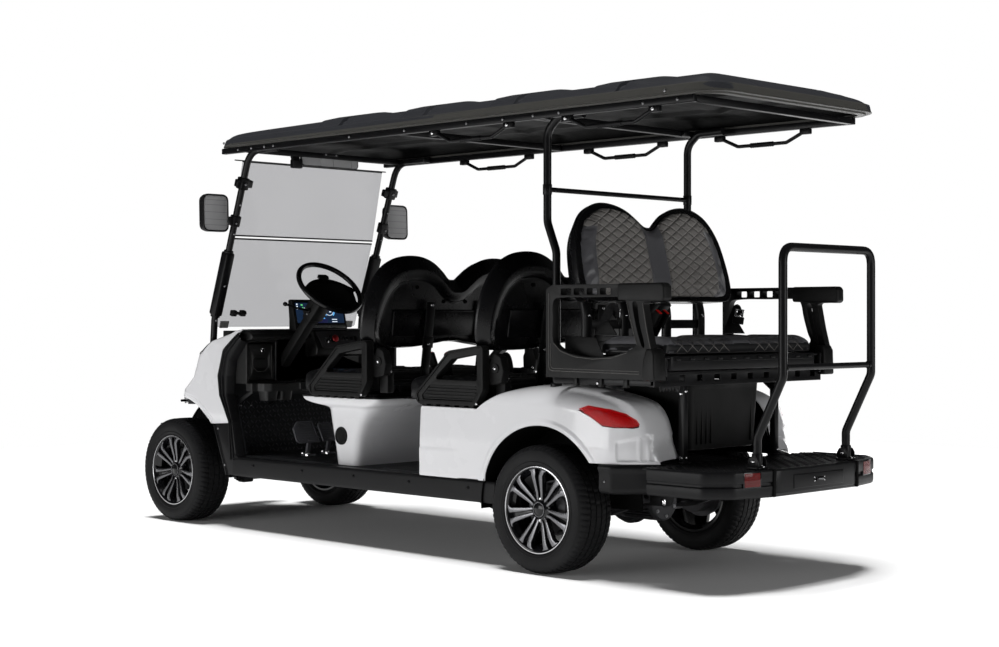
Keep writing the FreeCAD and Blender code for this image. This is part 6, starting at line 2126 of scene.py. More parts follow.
def roof_lining():
    """Black underside: shallow panels between long and cross ribs."""
    rows = []
    for k in range(73):
        x = ROOF_REAR + 40 + (ROOF_FRONT - ROOF_REAR - 80) * k / 72
        row = []
        for j in range(49):
            s = -1 + 2 * j / 48
            half = roof_half(x) - 34
            y = half * s
            inside = min(half - abs(y), (x - ROOF_REAR) - 40, (ROOF_FRONT - x) - 40)
            height = 8 + 40 * ease(inside, 0, 130)
            height -= 12 * (1 - ease(abs(abs(y) - 200), 16, 30)) * ease(inside, 30, 120)
            for step, notch in STEPS:
                height -= 10 * (1 - ease(abs(x - (step + notch) / 2), 26, 52)) * ease(inside, 30, 120)
            row.append(back(x, y, ROOF_LOW + height))
        rows.append(row)
    return smooth(skin(rows, facing=(0, 0, -1)), 40)


shell_top = paint(roof_skin(), ROOF_GREY)
rolled = paint(roof_edge(), ROOF_LIP)
lining = paint(roof_lining(), UNDER_ROOF)
screws = round_heads(0.007, STEEL,
                     [(back(x, s * 616, 2026), (0, s, 0.1)) for x in (-700, 2280) for s in (1, -1)])
piece(join(shell_top, rolled, lining, screws), "roof_panels", "cart", "roof")


def roof_frame():
    """Rails and cross bars under the roof, and the bent rear pillars."""
    parts, spots = [], []
    for s in (1, -1):
        parts.append(flat_bar([back(-820, s * 570, 1990), back(2345, s * 570, 1990)], 0.030, 0.030,
                              edge=0.004))
        pillar = [(10, 780), (10, 1400), (64, 1530), (64, 1932), (-4, 1988), (-150, 1990)]
        route = [back(x, s * 492, z) for x, z in pillar]
        parts.append(tube([(*p, r) for p, r in zip(route, (0, 0.09, 0.09, 0.085, 0.06, 0))], 0.018, 0.09,
                          20, steps=8))
        parts.append(rod(back(10, s * 492, 800), back(10, s * 492, 826), 0.027, 28, 0.004))
        parts.append(box(back(30, s * 492 - 25, 1976), back(98, s * 492 + 62, 2002), 0.006))
        parts.append(rod(back(64, s * 492, 1651), back(64, s * 492, 1697), 0.0205, 24, 0.002))
        for x in (-740, -560, -90, 64, 250, 480, 900, 1300, 1900, 2200):
            spots.append((back(x, s * 585, 1990), (0, s, 0)))
        spots.append((back(82, s * 492, 1674), (1, 0, 0)))
    for x in (-805, 64, 960, 2163):
        parts.append(flat_bar([back(x, -556, 1990), back(x, 556, 1990)], 0.030, 0.030, edge=0.004))
    parts.append(rod(back(64, -474, 1674), back(64, 474, 1674), 0.011, 20, 0.0))
    bolts = round_heads(0.0065, STEEL, spots)
    return join(paint(join(*parts), BLACK_PAINT), bolts)


piece(roof_frame(), "roof_rails_and_pillars", "cart", "canopy_frame")


def handles():
    """Bent grab handles under the roof rails, on blocks with bright bolts, their grips ribbed."""
    parts, spots, grips = [], [], []
    for side, front_x, rear_x in ((1, 707, 225), (1, -127, -611), (-1, 1685, 1192), (-1, 768, 281),
                                  (-1, -72, -562)):
        y = side * 570
        feet = (front_x, rear_x)
        route = [back(front_x, y, 1962), back(front_x - 20, y, 1958), back(front_x - 107, y, 1900 + 20),
                 back(rear_x + 107, y, 1920), back(rear_x + 20, y, 1958), back(rear_x, y, 1962)]
        parts.append(tube(route, 0.0085, 0.030, 14))
        for x in feet:
            parts.append(box(back(x - 26, y - 15, 1950), back(x + 26, y + 15, 1976), 0.005, 3))
            spots.append((back(x, y + side * 15, 1963), (0, side, 0)))
        middle_x = (front_x + rear_x) / 2
        grips.append(rod(back(middle_x - 66, y, 1920), back(middle_x + 66, y, 1920), 0.0112, 16, 0.002))
        for k in range(-5, 6):
            rib_x = middle_x + k * 12
            grips.append(rod(back(rib_x - 2.5, y, 1920), back(rib_x + 2.5, y, 1920), 0.0122, 16, 0.001))
    bolts = round_heads(0.0085, CHROME, spots)
    return join(paint(join(*parts), BLACK_PAINT), paint(join(*grips), RUBBER), bolts)


piece(handles(), "roof_grab_handles", "cart", "roof_handles")

# ---------------------------------------------------------------- flat pieces drawn in their own plane
def rounded(width, height, corner, centre=(0, 0), steps=5):
    """Outline of a rectangle with round corners."""
    a, b = width / 2, height / 2
    x, y = centre
    return pairs(fillet([(x - a, y - b), (x + a, y - b), (x + a, y + b), (x - a, y + b)], corner, steps))


def facing_frame(origin, right, up):
    right, up = Vector(right).normalized(), Vector(up).normalized()
    out = right.cross(up)
    return Matrix.Translation(Vector(origin)) @ Matrix((right, up, out)).transposed().to_4x4()


def panel(outline, frame_of, low, high, edge=0.001, segments=2):
    """A plate drawn in a plane: millimetres to the right and up, thick from low to high."""
    obj = plate(metres(outline), "z", low / 1000, high / 1000, edge, segments)
    obj.data.transform(frame_of)
    return obj


def stack(outline, levels, frame_of):
    """Rings of one outline, each at its depth and scale, joined into a closed shape."""
    rows = []
    for depth, scale in levels:
        row = [frame_of @ Vector((a * scale / 1000, b * scale / 1000, depth / 1000)) for a, b in outline]
        rows.append(row + [row[0]])
    obj = skin(rows)
    close_ends(obj)
    return smooth(outward(obj), 35)


SEEN_FROM_BEHIND = (0, -1, 0)

# ---------------------------------------------------------------- windshield and its pillars
PILLAR = [(-234, 930), (-248, 1105), (-480, 1760), (-560, 1986), (-800, 1988)]
PILLAR_LEAN = Vector((-0.334, 0, 0.943))


def pillar_at(z):
    """Place of the pillar's line at a height, forward of the front axle."""
    return between([(height, x) for x, height in PILLAR[:4]], z)


def front_pillars():
    """Bent tubes with thicker sleeves, cross-shaped clamps for the glass and bolts."""
    parts, spots = [], []
    for s in (1, -1):
        route = [fore(x, s * 520, z) for x, z in PILLAR]
        parts.append(tube([(*p, r) for p, r in zip(route, (0, 0.12, 0.3, 0.12, 0))], 0.018, 0.1, 20,
                          steps=9))
        ends = [fore(pillar_at(z), s * 520, z) for z in (1122, 1460)]
        parts.append(flat_bar(ends, 0.055, 0.058, up=(1, 0, 0), edge=0.012))
        for z in (1120, 1462):
            here = fore(pillar_at(z), s * 520, z)
            parts.append(rod(here - PILLAR_LEAN * 0.006, here + PILLAR_LEAN * 0.006, 0.0255, 28, 0.003))
        for z in (1819, 1286):
            here = fore(pillar_at(z), s * 520, z)
            grow = 1.0 if z > 1500 else 1.16
            if z > 1500:
                parts.append(flat_bar([here - PILLAR_LEAN * 0.032, here + PILLAR_LEAN * 0.032], 0.050,
                                      0.050, up=(1, 0, 0), edge=0.006))
                side = Vector((0, s, 0))
                parts.append(flat_bar([here - side * 0.056, here + side * 0.046], 0.030, 0.040,
                                      up=PILLAR_LEAN, edge=0.005))
            spots.append((here + Vector((-0.024 * grow - 0.001, 0, -0.008)), (-0.943, 0, -0.334)))
        for z in (1560, 1712):
            spots.append((fore(pillar_at(z) - 17, s * 520, z - 6), (-0.943, 0, -0.334)))
        spots.append((fore(pillar_at(1100) - 17, s * 520, 1094), (-1, 0, 0)))
        parts.append(box(fore(-812, s * 526 - 14, 1976), fore(-640, s * 526 + 32, 2003), 0.004))
        for x in (-662, -772):
            spots += [(fore(x, s * 586, 1990), (0, s, 0)), (fore(x, s * 511, 1990), (0, -s, 0))]
    bolts = round_heads(0.0068, STEEL, spots)
    return join(paint(join(*parts), BLACK_PAINT), bolts)


piece(front_pillars(), "windshield_pillars", "cart", "front_pillars")

EDGE_DARK = finish("dark cut edge of the glass", (0.035, 0.035, 0.036), 0.35, grain=0.1, grain_size=0.001)
PAD_PALE = finish("pale rubber glass pad", (0.45, 0.45, 0.44), 0.5, grain=0.2, grain_size=0.0015)


def windshield():
    """Two tinted panes with dark edges, a gap between them, a latch clip and pads at the foot."""
    low_start, low_end, top_start, top_end = (-216, 1060), (-371, 1537), (-374, 1546), (-461, 1943)
    panes, edges = [], []
    for (x0, z0), (x1, z1), marks in ((low_start, low_end, "top"), (top_start, top_end, "both")):
        height = math.hypot(x1 - x0, z1 - z0)
        plane = facing_frame(fore(x0, 0, z0), SEEN_FROM_BEHIND, (x1 - x0, 0, z1 - z0))
        panes.append(panel(rounded(984, height, 14, (0, height / 2)), plane, -2.5, 2.5, 0.0008, 1))
        if marks == "both":
            edges.append(panel(rounded(1062, 6, 2.5, (-12, height + 1)), plane, -4, 4, 0.001))
        else:
            for x in (-400, -340):
                edges.append(panel(rounded(34, 32, 5, (x, 82)), plane, 2.5, 26, 0.004, 3))
            edges.append(panel(rounded(96, 14, 4, (-370, 84)), plane, 14, 30, 0.004, 3))
        places = (height - 3, 4) if marks == "both" else (height - 4,)
        for place in places:
            edges.append(panel(rounded(984, 8, 2, (0, place)), plane, -3.4, 3.4, 0.001))
    plane = facing_frame(fore(-216, 0, 1060), SEEN_FROM_BEHIND, (-154, 0, 473))
    pads = [panel(rounded(58, 40, 5, (x, 14)), plane, 2.6, 6, 0.001) for x in (-440, 440)]
    glass = paint(join(*panes), TINT)
    return glass, join(paint(join(*edges), EDGE_DARK), paint(join(*pads), PAD_PALE))


panes, pane_edges = windshield()
piece(panes, "windshield_panes", "cart", "windshield")
piece(pane_edges, "windshield_edges_and_latch", "cart")

# ---------------------------------------------------------------- mirrors
# the mirror glass is a flat grey with darker lines: a painted reflection
MIRROR_PAINTED_REFLECTION = finish("mirror glass with a painted grey reflection", (0.36, 0.36, 0.365), 0.3, metal=0.0, grain=0.04,
                     grain_size=0.01, mottle=0.06)
MIRROR_REFLECTED_LINE = finish("painted reflected line on mirror glass", (0.17, 0.17, 0.172), 0.4, grain=0.1, grain_size=0.001)
SHELL_LEVELS = [(-4, 0.90), (-1.5, 0.925), (0, 0.955), (0, 0.985), (-4, 1.0), (-26, 0.99), (-46, 0.93),
                (-60, 0.78), (-67, 0.5), (-68, 0.2)]


def side_mirror():
    """Deep rounded shell, glass painted as a flat grey reflection with fine painted lines across it, and a
    knuckled arm to the pillar.
    """
    plane = facing_frame(fore(-428, 639, 1662), SEEN_FROM_BEHIND, (0.03, 0, 1))
    shell = stack(rounded(163, 200, 38, steps=7), SHELL_LEVELS, plane)
    glass = stack(rounded(163, 200, 38, steps=7), [(-4.2, 0.905), (-2.2, 0.905), (-1.8, 0.89)], plane)
    lines = [panel(rounded(143, 1.6, 0.5, (0, b)), plane, -2.0, -1.4, 0.0) for b in (-64, -34, 4, 42, 68)]
    knuckle = fore(-424, 549, 1624)
    arm = [rod(knuckle, fore(-398, 572, 1624), 0.012, 20, 0.003),
           rod(fore(-424, 549, 1602), fore(-424, 549, 1646), 0.017, 24, 0.004),
           rod(fore(-398, 570, 1606), fore(-398, 570, 1642), 0.015, 24, 0.004)]
    here = fore(pillar_at(1624), 520, 1624)
    arm.append(flat_bar([here - PILLAR_LEAN * 0.030, here + PILLAR_LEAN * 0.030], 0.046, 0.044,
                        up=(1, 0, 0), edge=0.006))
    arm.append(flat_bar([here, knuckle], 0.024, 0.030, edge=0.004))
    screws = round_heads(0.0058, STEEL, [(here + Vector((-0.022, 0.006, 0.014)), (-1, 0, 0)),
                                         (here + Vector((-0.020, 0.006, -0.016)), (-1, 0, 0))])
    black = paint(join(shell, *arm), MIRROR_SHELL)
    return join(black, paint(glass, MIRROR_PAINTED_REFLECTION), paint(join(*lines), MIRROR_REFLECTED_LINE), screws)


def centre_mirror():
    """Wide mirror of five panes side by side, with round ends, on a bracket from the roof."""
    up = (0.10, 0, 1)
    plane = facing_frame(fore(-592, 0, 1968), SEEN_FROM_BEHIND, up)
    outline = rounded(404, 76, 27, steps=6)
    shell = stack(outline, [(-3, 0.97), (0, 0.98), (1, 0.99), (-1, 1.0), (-10, 0.995), (-18, 0.95),
                            (-23, 0.8), (-24, 0.4)], plane)
    panes = []
    cuts = [-196, -66, 20, 148, 196]
    for k, (a, b) in enumerate(zip(cuts, cuts[1:])):
        inner, outer = a + (0 if k == 0 else 1.2), b - (0 if k == 3 else 1.2)
        pts = [(inner, -34), (outer, -34), (outer, 34), (inner, 34)]
        bend = [(22 if k == 0 else 1), (22 if k == 3 else 1), (22 if k == 3 else 1), (22 if k == 0 else 1)]
        line = fillet([(x, y, r) for (x, y), r in zip(pts, bend)], 1, 5)
        # each pane is a flat grey: a painted reflection
        panes.append(panel(pairs(line), plane, -3, 1.6 + 0.5 * (k % 2), 0.0006))
    bracket = [box(fore(-604, 196, 1912), fore(-570, 262, 1960), 0.008, 3),
               flat_bar([fore(-586, 232, 1950), fore(-572, 232, 1990)], 0.05, 0.02, edge=0.004),
               flat_bar([fore(-580, 0, 1950), fore(-566, 0, 1998)], 0.044, 0.016, edge=0.004),
               box(fore(-600, -52, 1988), fore(-548, 52, 2006), 0.005)]
    screws = round_heads(0.005, STEEL, [(fore(-600.5, y, 1997), (-1, 0, 0)) for y in (-36, 36)])
    return join(paint(join(shell, *bracket), MIRROR_SHELL), paint(join(*panes), MIRROR_PAINTED_REFLECTION), screws)


piece(join(both(side_mirror()), centre_mirror()), "rear_view_mirrors", "cart", "mirrors")

# ---------------------------------------------------------------- dashboard
DASH = finish("moulded black dash plastic", (0.008, 0.008, 0.008), 0.42, grain=0.45, grain_size=0.0012,
              hide=True, Specular_IOR_Level=0.3)
PANEL_GREY = finish("grey switch panel", (0.040, 0.039, 0.042), 0.42, grain=0.35, grain_size=0.0012,
                    hide=True, Specular_IOR_Level=0.3)
LIP_SILVER = finish("silvered display lip", (0.20, 0.21, 0.20), 0.32, metal=0.5, grain=0.15,
                    grain_size=0.001)
KNOB_RED = finish("red mushroom switch", (0.42, 0.012, 0.016), 0.3, grain=0.08, grain_size=0.002,
                  Specular_IOR_Level=0.5)


def dash_body():
    """Dash face with its openings, the rolled cap and the sloped centre console."""
    face = box(fore(-545, -530, 760), fore(-338, 530, 1001), 0.0)
    holes = [box(fore(-546, 336, 775), fore(-370, 515, 978), 0.0),
             box(fore(-546, -515, 775), fore(-370, -245, 978), 0.0),
             box(fore(-546, 215, 759), fore(-445, 322, 1000), 0.0)]
    cut(face, *holes)
    soften(face, 0.005, 3, 40)
    cap = side_plate([(-545, 992), (-578, 994), (-593, 999), (-598, 1008), (-592, 1022), (-566, 1032),
                      (-556, 1040), (-545, 1043), (-530, 1041), (-505, 1038), (-338, 1040),
                      (-338, 1000)], -530, 530, 0.003, 2, FRONT)
    ridge = side_plate([(-516, 1037), (-508, 1044), (-496, 1045), (-486, 1038)], -522, 522, 0.002, 2, FRONT)
    lower_lip = side_plate([(-545, 764), (-556, 762), (-560, 770), (-554, 778), (-545, 778)], -522, 208,
                           0.002, 2, FRONT)
    console = side_plate([(-540, 1040), (-608, 1040), (-650, 942), (-641, 906), (-600, 898), (-540, 900)],
                         -190, 135, 0.009, 3, FRONT)
    return paint(join(face, cap, ridge, lower_lip, console), DASH)


def tray():
    """Shelf with a raised rim and two squarish cup holders hanging under it."""
    outline = fillet([(-540, 528, 0), (-588, 528, 8), (-594, 492, 14), (-630, 484, 26), (-662, 452, 26),
                      (-664, 262, 22), (-640, 246, 10), (-540, 246, 0)], 12, 6)
    shelf = floor_plate(pairs(outline), 722, 762, 0.0, 2, FRONT)
    inner = fillet([(-546, 519, 4), (-580, 519, 6), (-586, 482, 12), (-626, 474, 22), (-652, 446, 22),
                    (-654, 272, 16), (-546, 272, 6)], 10, 6)
    cut(shelf, floor_plate(pairs(inner), 742, 790, 0.0, 2, FRONT))
    for y in (335, 432):
        cut(shelf, floor_plate(rounded(78, 78, 20, (-603, y)), 700, 790, 0.0, 2, FRONT))
    soften(shelf, 0.004, 3, 40)
    cups = []
    for y in (335, 432):
        plane = facing_frame(fore(-603, y, 0), (1, 0, 0), (0, 1, 0))
        levels = [(684, 0.74), (684, 0.78), (742, 0.92), (744, 0.96), (744, 1.0), (741, 1.01), (722, 0.99),
                  (676, 0.86), (672, 0.82)]
        cups.append(stack(rounded(84, 84, 22), levels, plane))
        cups.append(box(fore(-646, y - 2.5, 724), fore(-642, y + 2.5, 741), 0.001))
    brace = [flat_bar([fore(-560, y, 722), fore(-395, y, 640)], 0.010, 0.020, edge=0.002)
             for y in (270, 500)]
    return paint(join(shelf, *cups, *brace), DASH)


def lock(at, radius=0.011):
    """Round key lock: a plated rim, a dark barrel and its slot."""
    rim = paint(lathe([(0.6, 0), (1.0, 0), (1.0, 0.25), (0.86, 0.42), (0.66, 0.36), (0.6, 0.2)], (0, 0, 0),
                      "Z", 32), CHROME)
    barrel = paint(lathe([(0, 0), (0.62, 0), (0.62, 0.22), (0, 0.22)], (0, 0, 0), "Z", 28), SOFT_BLACK)
    # the key slot is a near-black mark: painted shade in it
    slot_mark = paint(box((-0.08, -0.36, 0.2), (0.08, 0.36, 0.25), 0.0), DARK)
    obj = join(rim, barrel, slot_mark)
    obj.data.transform(at @ Matrix.Scale(radius, 4))
    return obj


def glovebox_door():
    """Door with rounded corners, a sunk U-shaped pull, a rib down its side and a round lock."""
    plane = facing_frame(fore(-537, 425.5, 874), SEEN_FROM_BEHIND, (0, 0, 1))
    leaf = panel(rounded(167, 195, 12), plane, -4.5, 2.6, 0.003, 3)
    cut(leaf, panel(rounded(98, 56, 20, (-8, -4)), plane, 1.0, 9, 0.0))
    parts = [paint(leaf, DASH)]
    # the pull's rim and the rib down the side are light grey: painted highlights on their edges
    u_line = fillet([(-66, 34), (-58, -26), (-30, -50), (18, -50), (44, -26), (50, 34)], 18, 5,
                    closed=False)
    parts.append(paint(tube([plane @ Vector((p.x / 1000, p.y / 1000, 0.0028)) for p in u_line], 0.0018,
                            sides=8), EDGE_HIGHLIGHT))
    parts.append(paint(tube([plane @ Vector((0.066, b / 1000, 0.0028)) for b in (-84, 0, 84)], 0.0014,
                            sides=8), EDGE_HIGHLIGHT))
    parts.append(paint(panel(rounded(60, 10, 4, (-8, 16)), plane, 0.8, 3.4, 0.0015), SOFT_BLACK))
    parts.append(lock(plane @ Matrix.Translation((0.006, 0.062, 0.0024)), 0.0125))
    return join(*parts)


def switches():
    """Grey panel on the sloped console: key switch, red mushroom switch, two small black knobs."""
    up = Vector((42, 0, 98)).normalized()
    plane = facing_frame(fore(-629.5, -27, 991), SEEN_FROM_BEHIND, up)
    plate_piece = panel(pairs(fillet([(-146, 48), (-126, -44), (-112, -52), (128, -52), (142, -44),
                                      (154, 48)], 5, 3)), plane, 0.0, 4.0, 0.0015)
    parts = [paint(plate_piece, PANEL_GREY)]

    def turned(a, b, profile, material, steps=28):
        obj = lathe(metres(profile), (0, 0, 0), "Z", steps)
        obj.data.transform(plane @ Matrix.Translation((a / 1000, b / 1000, 0.004)))
        return paint(obj, material)

    key_at, red_at = (-86, -6), (-38, -2)
    parts.append(turned(*key_at, [(0, 0), (15, 0), (15, 3), (12.5, 5), (10, 5), (10, 4), (0, 4)], CHROME))
    parts.append(turned(*key_at, [(0, 4), (8, 4), (8, 11), (6.5, 12), (0, 12)], BRIGHT))
    blade = panel(rounded(3, 26, 1.2, key_at), plane, 14, 36, 0.0008)
    bow = panel(rounded(4.6, 24, 2, (key_at[0], key_at[1] + 2)), plane, 30, 52, 0.0016)
    parts += [paint(blade, CHROME), paint(bow, SOFT_BLACK)]
    parts.append(turned(*red_at, [(0, 0), (19, 0), (19, 3), (16, 4.5), (0, 4.5)], SOFT_BLACK))
    parts.append(turned(*red_at, [(0, 4), (10, 4), (10, 14), (19, 15.5), (20, 19), (18, 24), (12, 27),
                                  (0, 28)], KNOB_RED, 36))
    for a in (24, 50):
        parts.append(turned(a, 2, [(0, 0), (9, 0), (9, 2), (7, 3), (6.4, 15), (5.4, 17), (0, 17)],
                            GLOSS_BLACK, 20))
        parts.append(turned(a, 2, [(8.6, 0), (10.4, 0), (10.4, 1.6), (8.6, 1.8)], CHROME, 24))
    parts.append(turned(92, 2, [(0, 0), (11, 0), (11, 1.6), (9, 2.4), (0, 2.4)], SOFT_BLACK))
    parts.append(paint(panel(rounded(16, 26, 3, (122, 2)), plane, 3.6, 7.5, 0.0015), GLOSS_BLACK))
    return join(*parts)


SCREEN_GREEN = glow("green screen mark", (0.12, 0.60, 0.20), 0.9)
SCREEN_VIOLET = glow("violet screen wash", (0.020, 0.022, 0.085), 0.5)


def display():
    """Tilted housing, the dark screen with its plain marks, and the silver lip with buttons."""
    housing = side_plate([(-606, 1038), (-610, 1046), (-573, 1200), (-566, 1207), (-546, 1207),
                          (-538, 1200), (-548, 1100), (-548, 1038)], -110, 250, 0.006, 3, FRONT)
    plane = facing_frame(fore(-609.4, 70, 1047), SEEN_FROM_BEHIND, (38, 0, 154))
    parts = [paint(housing, BLACK_PLASTIC)]
    parts.append(paint(panel(rounded(344, 126, 8, (0, 88)), plane, -0.6, 2.0, 0.001), GLOSS_BLACK))
    parts.append(paint(panel(rounded(326, 112, 5, (0, 90)), plane, 1.0, 2.6, 0.0006), SCREEN))

    def mark(from_left, v, width, height, material, depth=3.0):
        outline = rounded(width, height, min(width, height) * 0.3, (from_left - 163, v), 3)
        parts.append(paint(panel(outline, plane, 2.4, depth, 0.0), material))

    for v in (138, 125, 112):
        mark(12, v, 9, 7, SCREEN_WHITE)
    mark(44, 134, 14, 8, SCREEN_GREEN)
    mark(50, 120, 8, 5, SCREEN_GREEN)
    mark(98, 136, 14, 9, SCREEN_BLUE)
    for a in (66, 88):
        mark(a, 117, 16, 4, SCREEN_WHITE)
    for v in (54, 41):
        mark(258, v, 36, 4, SCREEN_WHITE)
    mark(176, 73, 15, 7, SCREEN_WHITE)
    mark(182, 60, 22, 5, SCREEN_BLUE)
    mark(163, 82, 7, 4, SCREEN_BLUE)
    mark(150, 47, 120, 24, SCREEN_VIOLET, 2.8)
    mark(236, 96, 14, 5, SCREEN_WHITE)

    def dial_arc(across, rise, lift_out, start, turn, count):
        """Points of an oval line round the dial, from a start angle through a turn, in degrees."""
        places = []
        for k in range(count):
            a = math.radians(start + turn * k / (count - 1))
            across_place, up_place = 65 + across * math.cos(a), 92 + rise * math.sin(a)
            places.append(plane @ Vector((across_place / 1000, up_place / 1000, lift_out)))
        return places

    parts.append(paint(tube(dial_arc(33, 22, 0.0030, -45, 270, 34), 0.0030, sides=8), SCREEN_BLUE))
    parts.append(paint(tube(dial_arc(25, 15.5, 0.0029, 160, 200, 21), 0.0013, sides=6), SCREEN_WHITE))
    parts.append(paint(panel(rounded(318, 15, 5, (6, 15)), plane, -0.4, 4.6, 0.0022, 3), LIP_SILVER))
    for a in (-122, -40, 40, 62):
        parts.append(paint(panel(rounded(11, 7, 3, (a, 15)), plane, 4.2, 6.4, 0.001), LAMP_SILVER))
    return join(*parts)


piece(join(dash_body(), both(tray())), "dashboard_moulding", "cart", "dashboard")
piece(glovebox_door(), "glovebox_door_panel", "glovebox", "glovebox_door")
piece(switches(), "switch_panel", "cart")
piece(display(), "display_unit", "cart", "dash_display")

# ---------------------------------------------------------------- steering
HUB = fore(-915, 270, 1265)
COLUMN_UP = Vector((-0.6947, 0, 0.7193))
WHEEL_TOP = Vector((0.7193, 0, 0.6947))
WHEEL_PLANE = facing_frame(HUB, SEEN_FROM_BEHIND, WHEEL_TOP)


def column_place(s):
    return HUB + COLUMN_UP * s / 1000


def steering_wheel():
    """Padded rim, and a wide flat plate that fills all but the top of it, with a paper clip."""
    rim = lathe([(0.178 + 0.013 * math.cos(a), 0.0135 * math.sin(a))
                 for a in [2 * math.pi * k / 18 for k in range(18)]], (0, 0, 0), "Z", 96)
    rim.data.transform(WHEEL_PLANE)
    seam = lathe([(0.1652 + 0.0009 * math.cos(a), 0.0012 * math.sin(a) + 0.003)
                  for a in [2 * math.pi * k / 6 for k in range(6)]], (0, 0, 0), "Z", 96)
    seam.data.transform(WHEEL_PLANE)
    half = [(0, 74), (34, 72), (66, 65), (96, 52), (122, 36), (146, 18), (168, 2), (171, -14), (149, -26),
            (142, -48), (136, -72), (126, -98), (134, -108)]
    low = [(171 * math.sin(a), -171 * math.cos(a))
           for a in [math.radians(45 * (1 - k / 8)) for k in range(1, 9)]]
    right_side = [*half, *low]
    outline = [*right_side, *[(-a, b) for a, b in reversed(right_side[:-1]) if a > 0]]
    hub_plate = panel(outline, WHEEL_PLANE, -11, -3.0, 0.003, 3)
    dish_line = fillet([(-96, 34), (96, 34), (112, -40), (70, -120), (-70, -120), (-112, -40)], 30, 5)
    dish = panel(pairs(dish_line), WHEEL_PLANE, -4, -1.0, 0.0025)
    clip = panel(pairs(fillet([(-30, 62), (30, 62), (36, 80), (26, 94), (-26, 94), (-36, 80)], 6, 4)),
                 WHEEL_PLANE, -4, 9, 0.003, 3)
    clip_bar = panel(rounded(84, 10, 4, (0, 58)), WHEEL_PLANE, -3, 3.5, 0.002)
    boss = rod(column_place(-12), column_place(-46), 0.052, 36, 0.004, 0.043)
    neck = rod(column_place(-44), column_place(-61), 0.034, 32, 0.003)
    dark_part = paint(join(hub_plate, boss, neck), BLACK_PLASTIC)
    return join(paint(smooth(rim, 50), GLOSS_BLACK), paint(seam, DARK), dark_part, paint(dish, SOFT_BLACK),
                paint(join(clip, clip_bar), SOFT_BLACK))


def steering_column():
    """Boxy covers round the column, the stalk with its round knob, and the universal joint below."""
    parts = [flat_bar([column_place(-62), column_place(-74), column_place(-196), column_place(-214)], 0.090,
                      0.086, up=COLUMN_UP.cross((0, 1, 0)), edge=0.012),
             flat_bar([column_place(-208), column_place(-560)], 0.058, 0.052, up=COLUMN_UP.cross((0, 1, 0)),
                      edge=0.007),
             flat_bar([column_place(-206), column_place(-236)], 0.070, 0.066, up=COLUMN_UP.cross((0, 1, 0)),
                      edge=0.006)]
    parts.append(rod(column_place(-550), column_place(-672), 0.018, 24, 0.003))
    parts.append(rod(column_place(-556), column_place(-588), 0.027, 28, 0.004))
    seam = [flat_bar([column_place(-70) + side, column_place(-206) + side], 0.0016, 0.0016, edge=0.0)
            for side in (Vector((0, 0.0452, 0)), Vector((0, -0.0452, 0)))]
    start, end = column_place(-165) + Vector((0, 0.045, 0)), column_place(-142) + Vector((0, 0.215, 0.017))
    along = (end - start).normalized()
    collar = rod(start - along * 0.006, start + along * 0.010, 0.014, 24, 0.003)
    stalk = tube([start, start.lerp(end, 0.5) + Vector((0, 0, -0.004)), end], 0.0062, sides=14)
    knob = lathe([(0, -12), (7, -11), (10.5, -6), (11.5, 0), (10.5, 6), (7, 10.5), (0, 12)], (0, 0, 0), "Z",
                 28)
    knob.data.transform(standing(end, end - start) @ Matrix.Scale(0.001, 4))
    screws = round_heads(0.005, STEEL,
                         [(column_place(-s) + Vector((0, 0.0452, 0)), (0, 1, 0)) for s in (90, 190)])
    return join(paint(join(*parts), BLACK_PLASTIC), paint(join(*seam), DARK),
                paint(join(collar, stalk), SOFT_BLACK), paint(knob, GLOSS_BLACK), screws)


piece(steering_wheel(), "steering_wheel_and_pad", "steering", "steering_wheel")
piece(steering_column(), "steering_column_covers", "cart", "steering_column")


# ---------------------------------------------------------------- pedals and floor
def pedals():
    """Six-sided plates with a raised border and ribs, on arms from the floor, with brackets and bolts."""
    parts, bright = [], []
    up = Vector((65, 0, 111)).normalized()
    for y, grow, lean in ((300, 1.0, 0), (140, 0.70, 30)):
        plane = facing_frame(fore(-790 + lean, y, 452), SEEN_FROM_BEHIND, up)
        outline = [(-66, 0), (-84, 14), (-79, 88), (-41, 127), (63, 127), (67, 0)]
        if grow < 1:
            outline = [(-45, 0), (-45, 96), (-36, 110), (36, 110), (45, 96), (45, 0)]
        base = pairs(fillet(outline, 7, 4))
        centre_a, centre_b = (-8, 62) if grow == 1 else (0, 55)
        inner = [(centre_a + (a - centre_a) * 0.90, centre_b + (b - centre_b) * 0.90) for a, b in base]
        pad = panel(base, plane, -7, 1.5, 0.0025)
        rim = panel(base, plane, 0, 3.4, 0.0012)
        cut(rim, panel(inner, plane, -3, 8, 0.0))
        top = 127 if grow == 1 else 110
        parts += [pad, rim]
        for k in range(4):
            spot = (centre_a + 10 * grow, top - 13 - 7.5 * k)
            parts.append(panel(rounded(88 * grow, 3.4, 1.5, spot), plane, 1, 4.2, 0.001))
        for a in range(-2, 3):
            for b in range(4):
                spot = (centre_a + a * 16 * grow + (b % 2) * 8, 20 + 14 * b)
                parts.append(panel(rounded(9, 3, 1.2, spot), plane, 1, 3.0, 0.0008))
        parts.append(flat_bar([fore(-784 + lean, y, 474), fore(-778 + lean, y, 440),
                               fore(-766 + lean, y, 378)], 0.024, 0.016, 0.02, edge=0.003))
        parts.append(flat_bar([fore(-800 + lean, y - 4, 386), fore(-744 + lean, y - 4, 386)], 0.056, 0.014,
                              edge=0.003))
        bright.append((fore(-800 + lean + 2, y + 26, 394), (-0.5, 0.8, 0.3)))
        bright.append((fore(-756 + lean, y + 22, 393), (0, 0, 1)))
    bolts = hex_heads(0.0075, CHROME, bright)
    return join(paint(join(*parts), PEDAL), bolts)


piece(pedals(), "foot_pedals", "cart", "pedals")

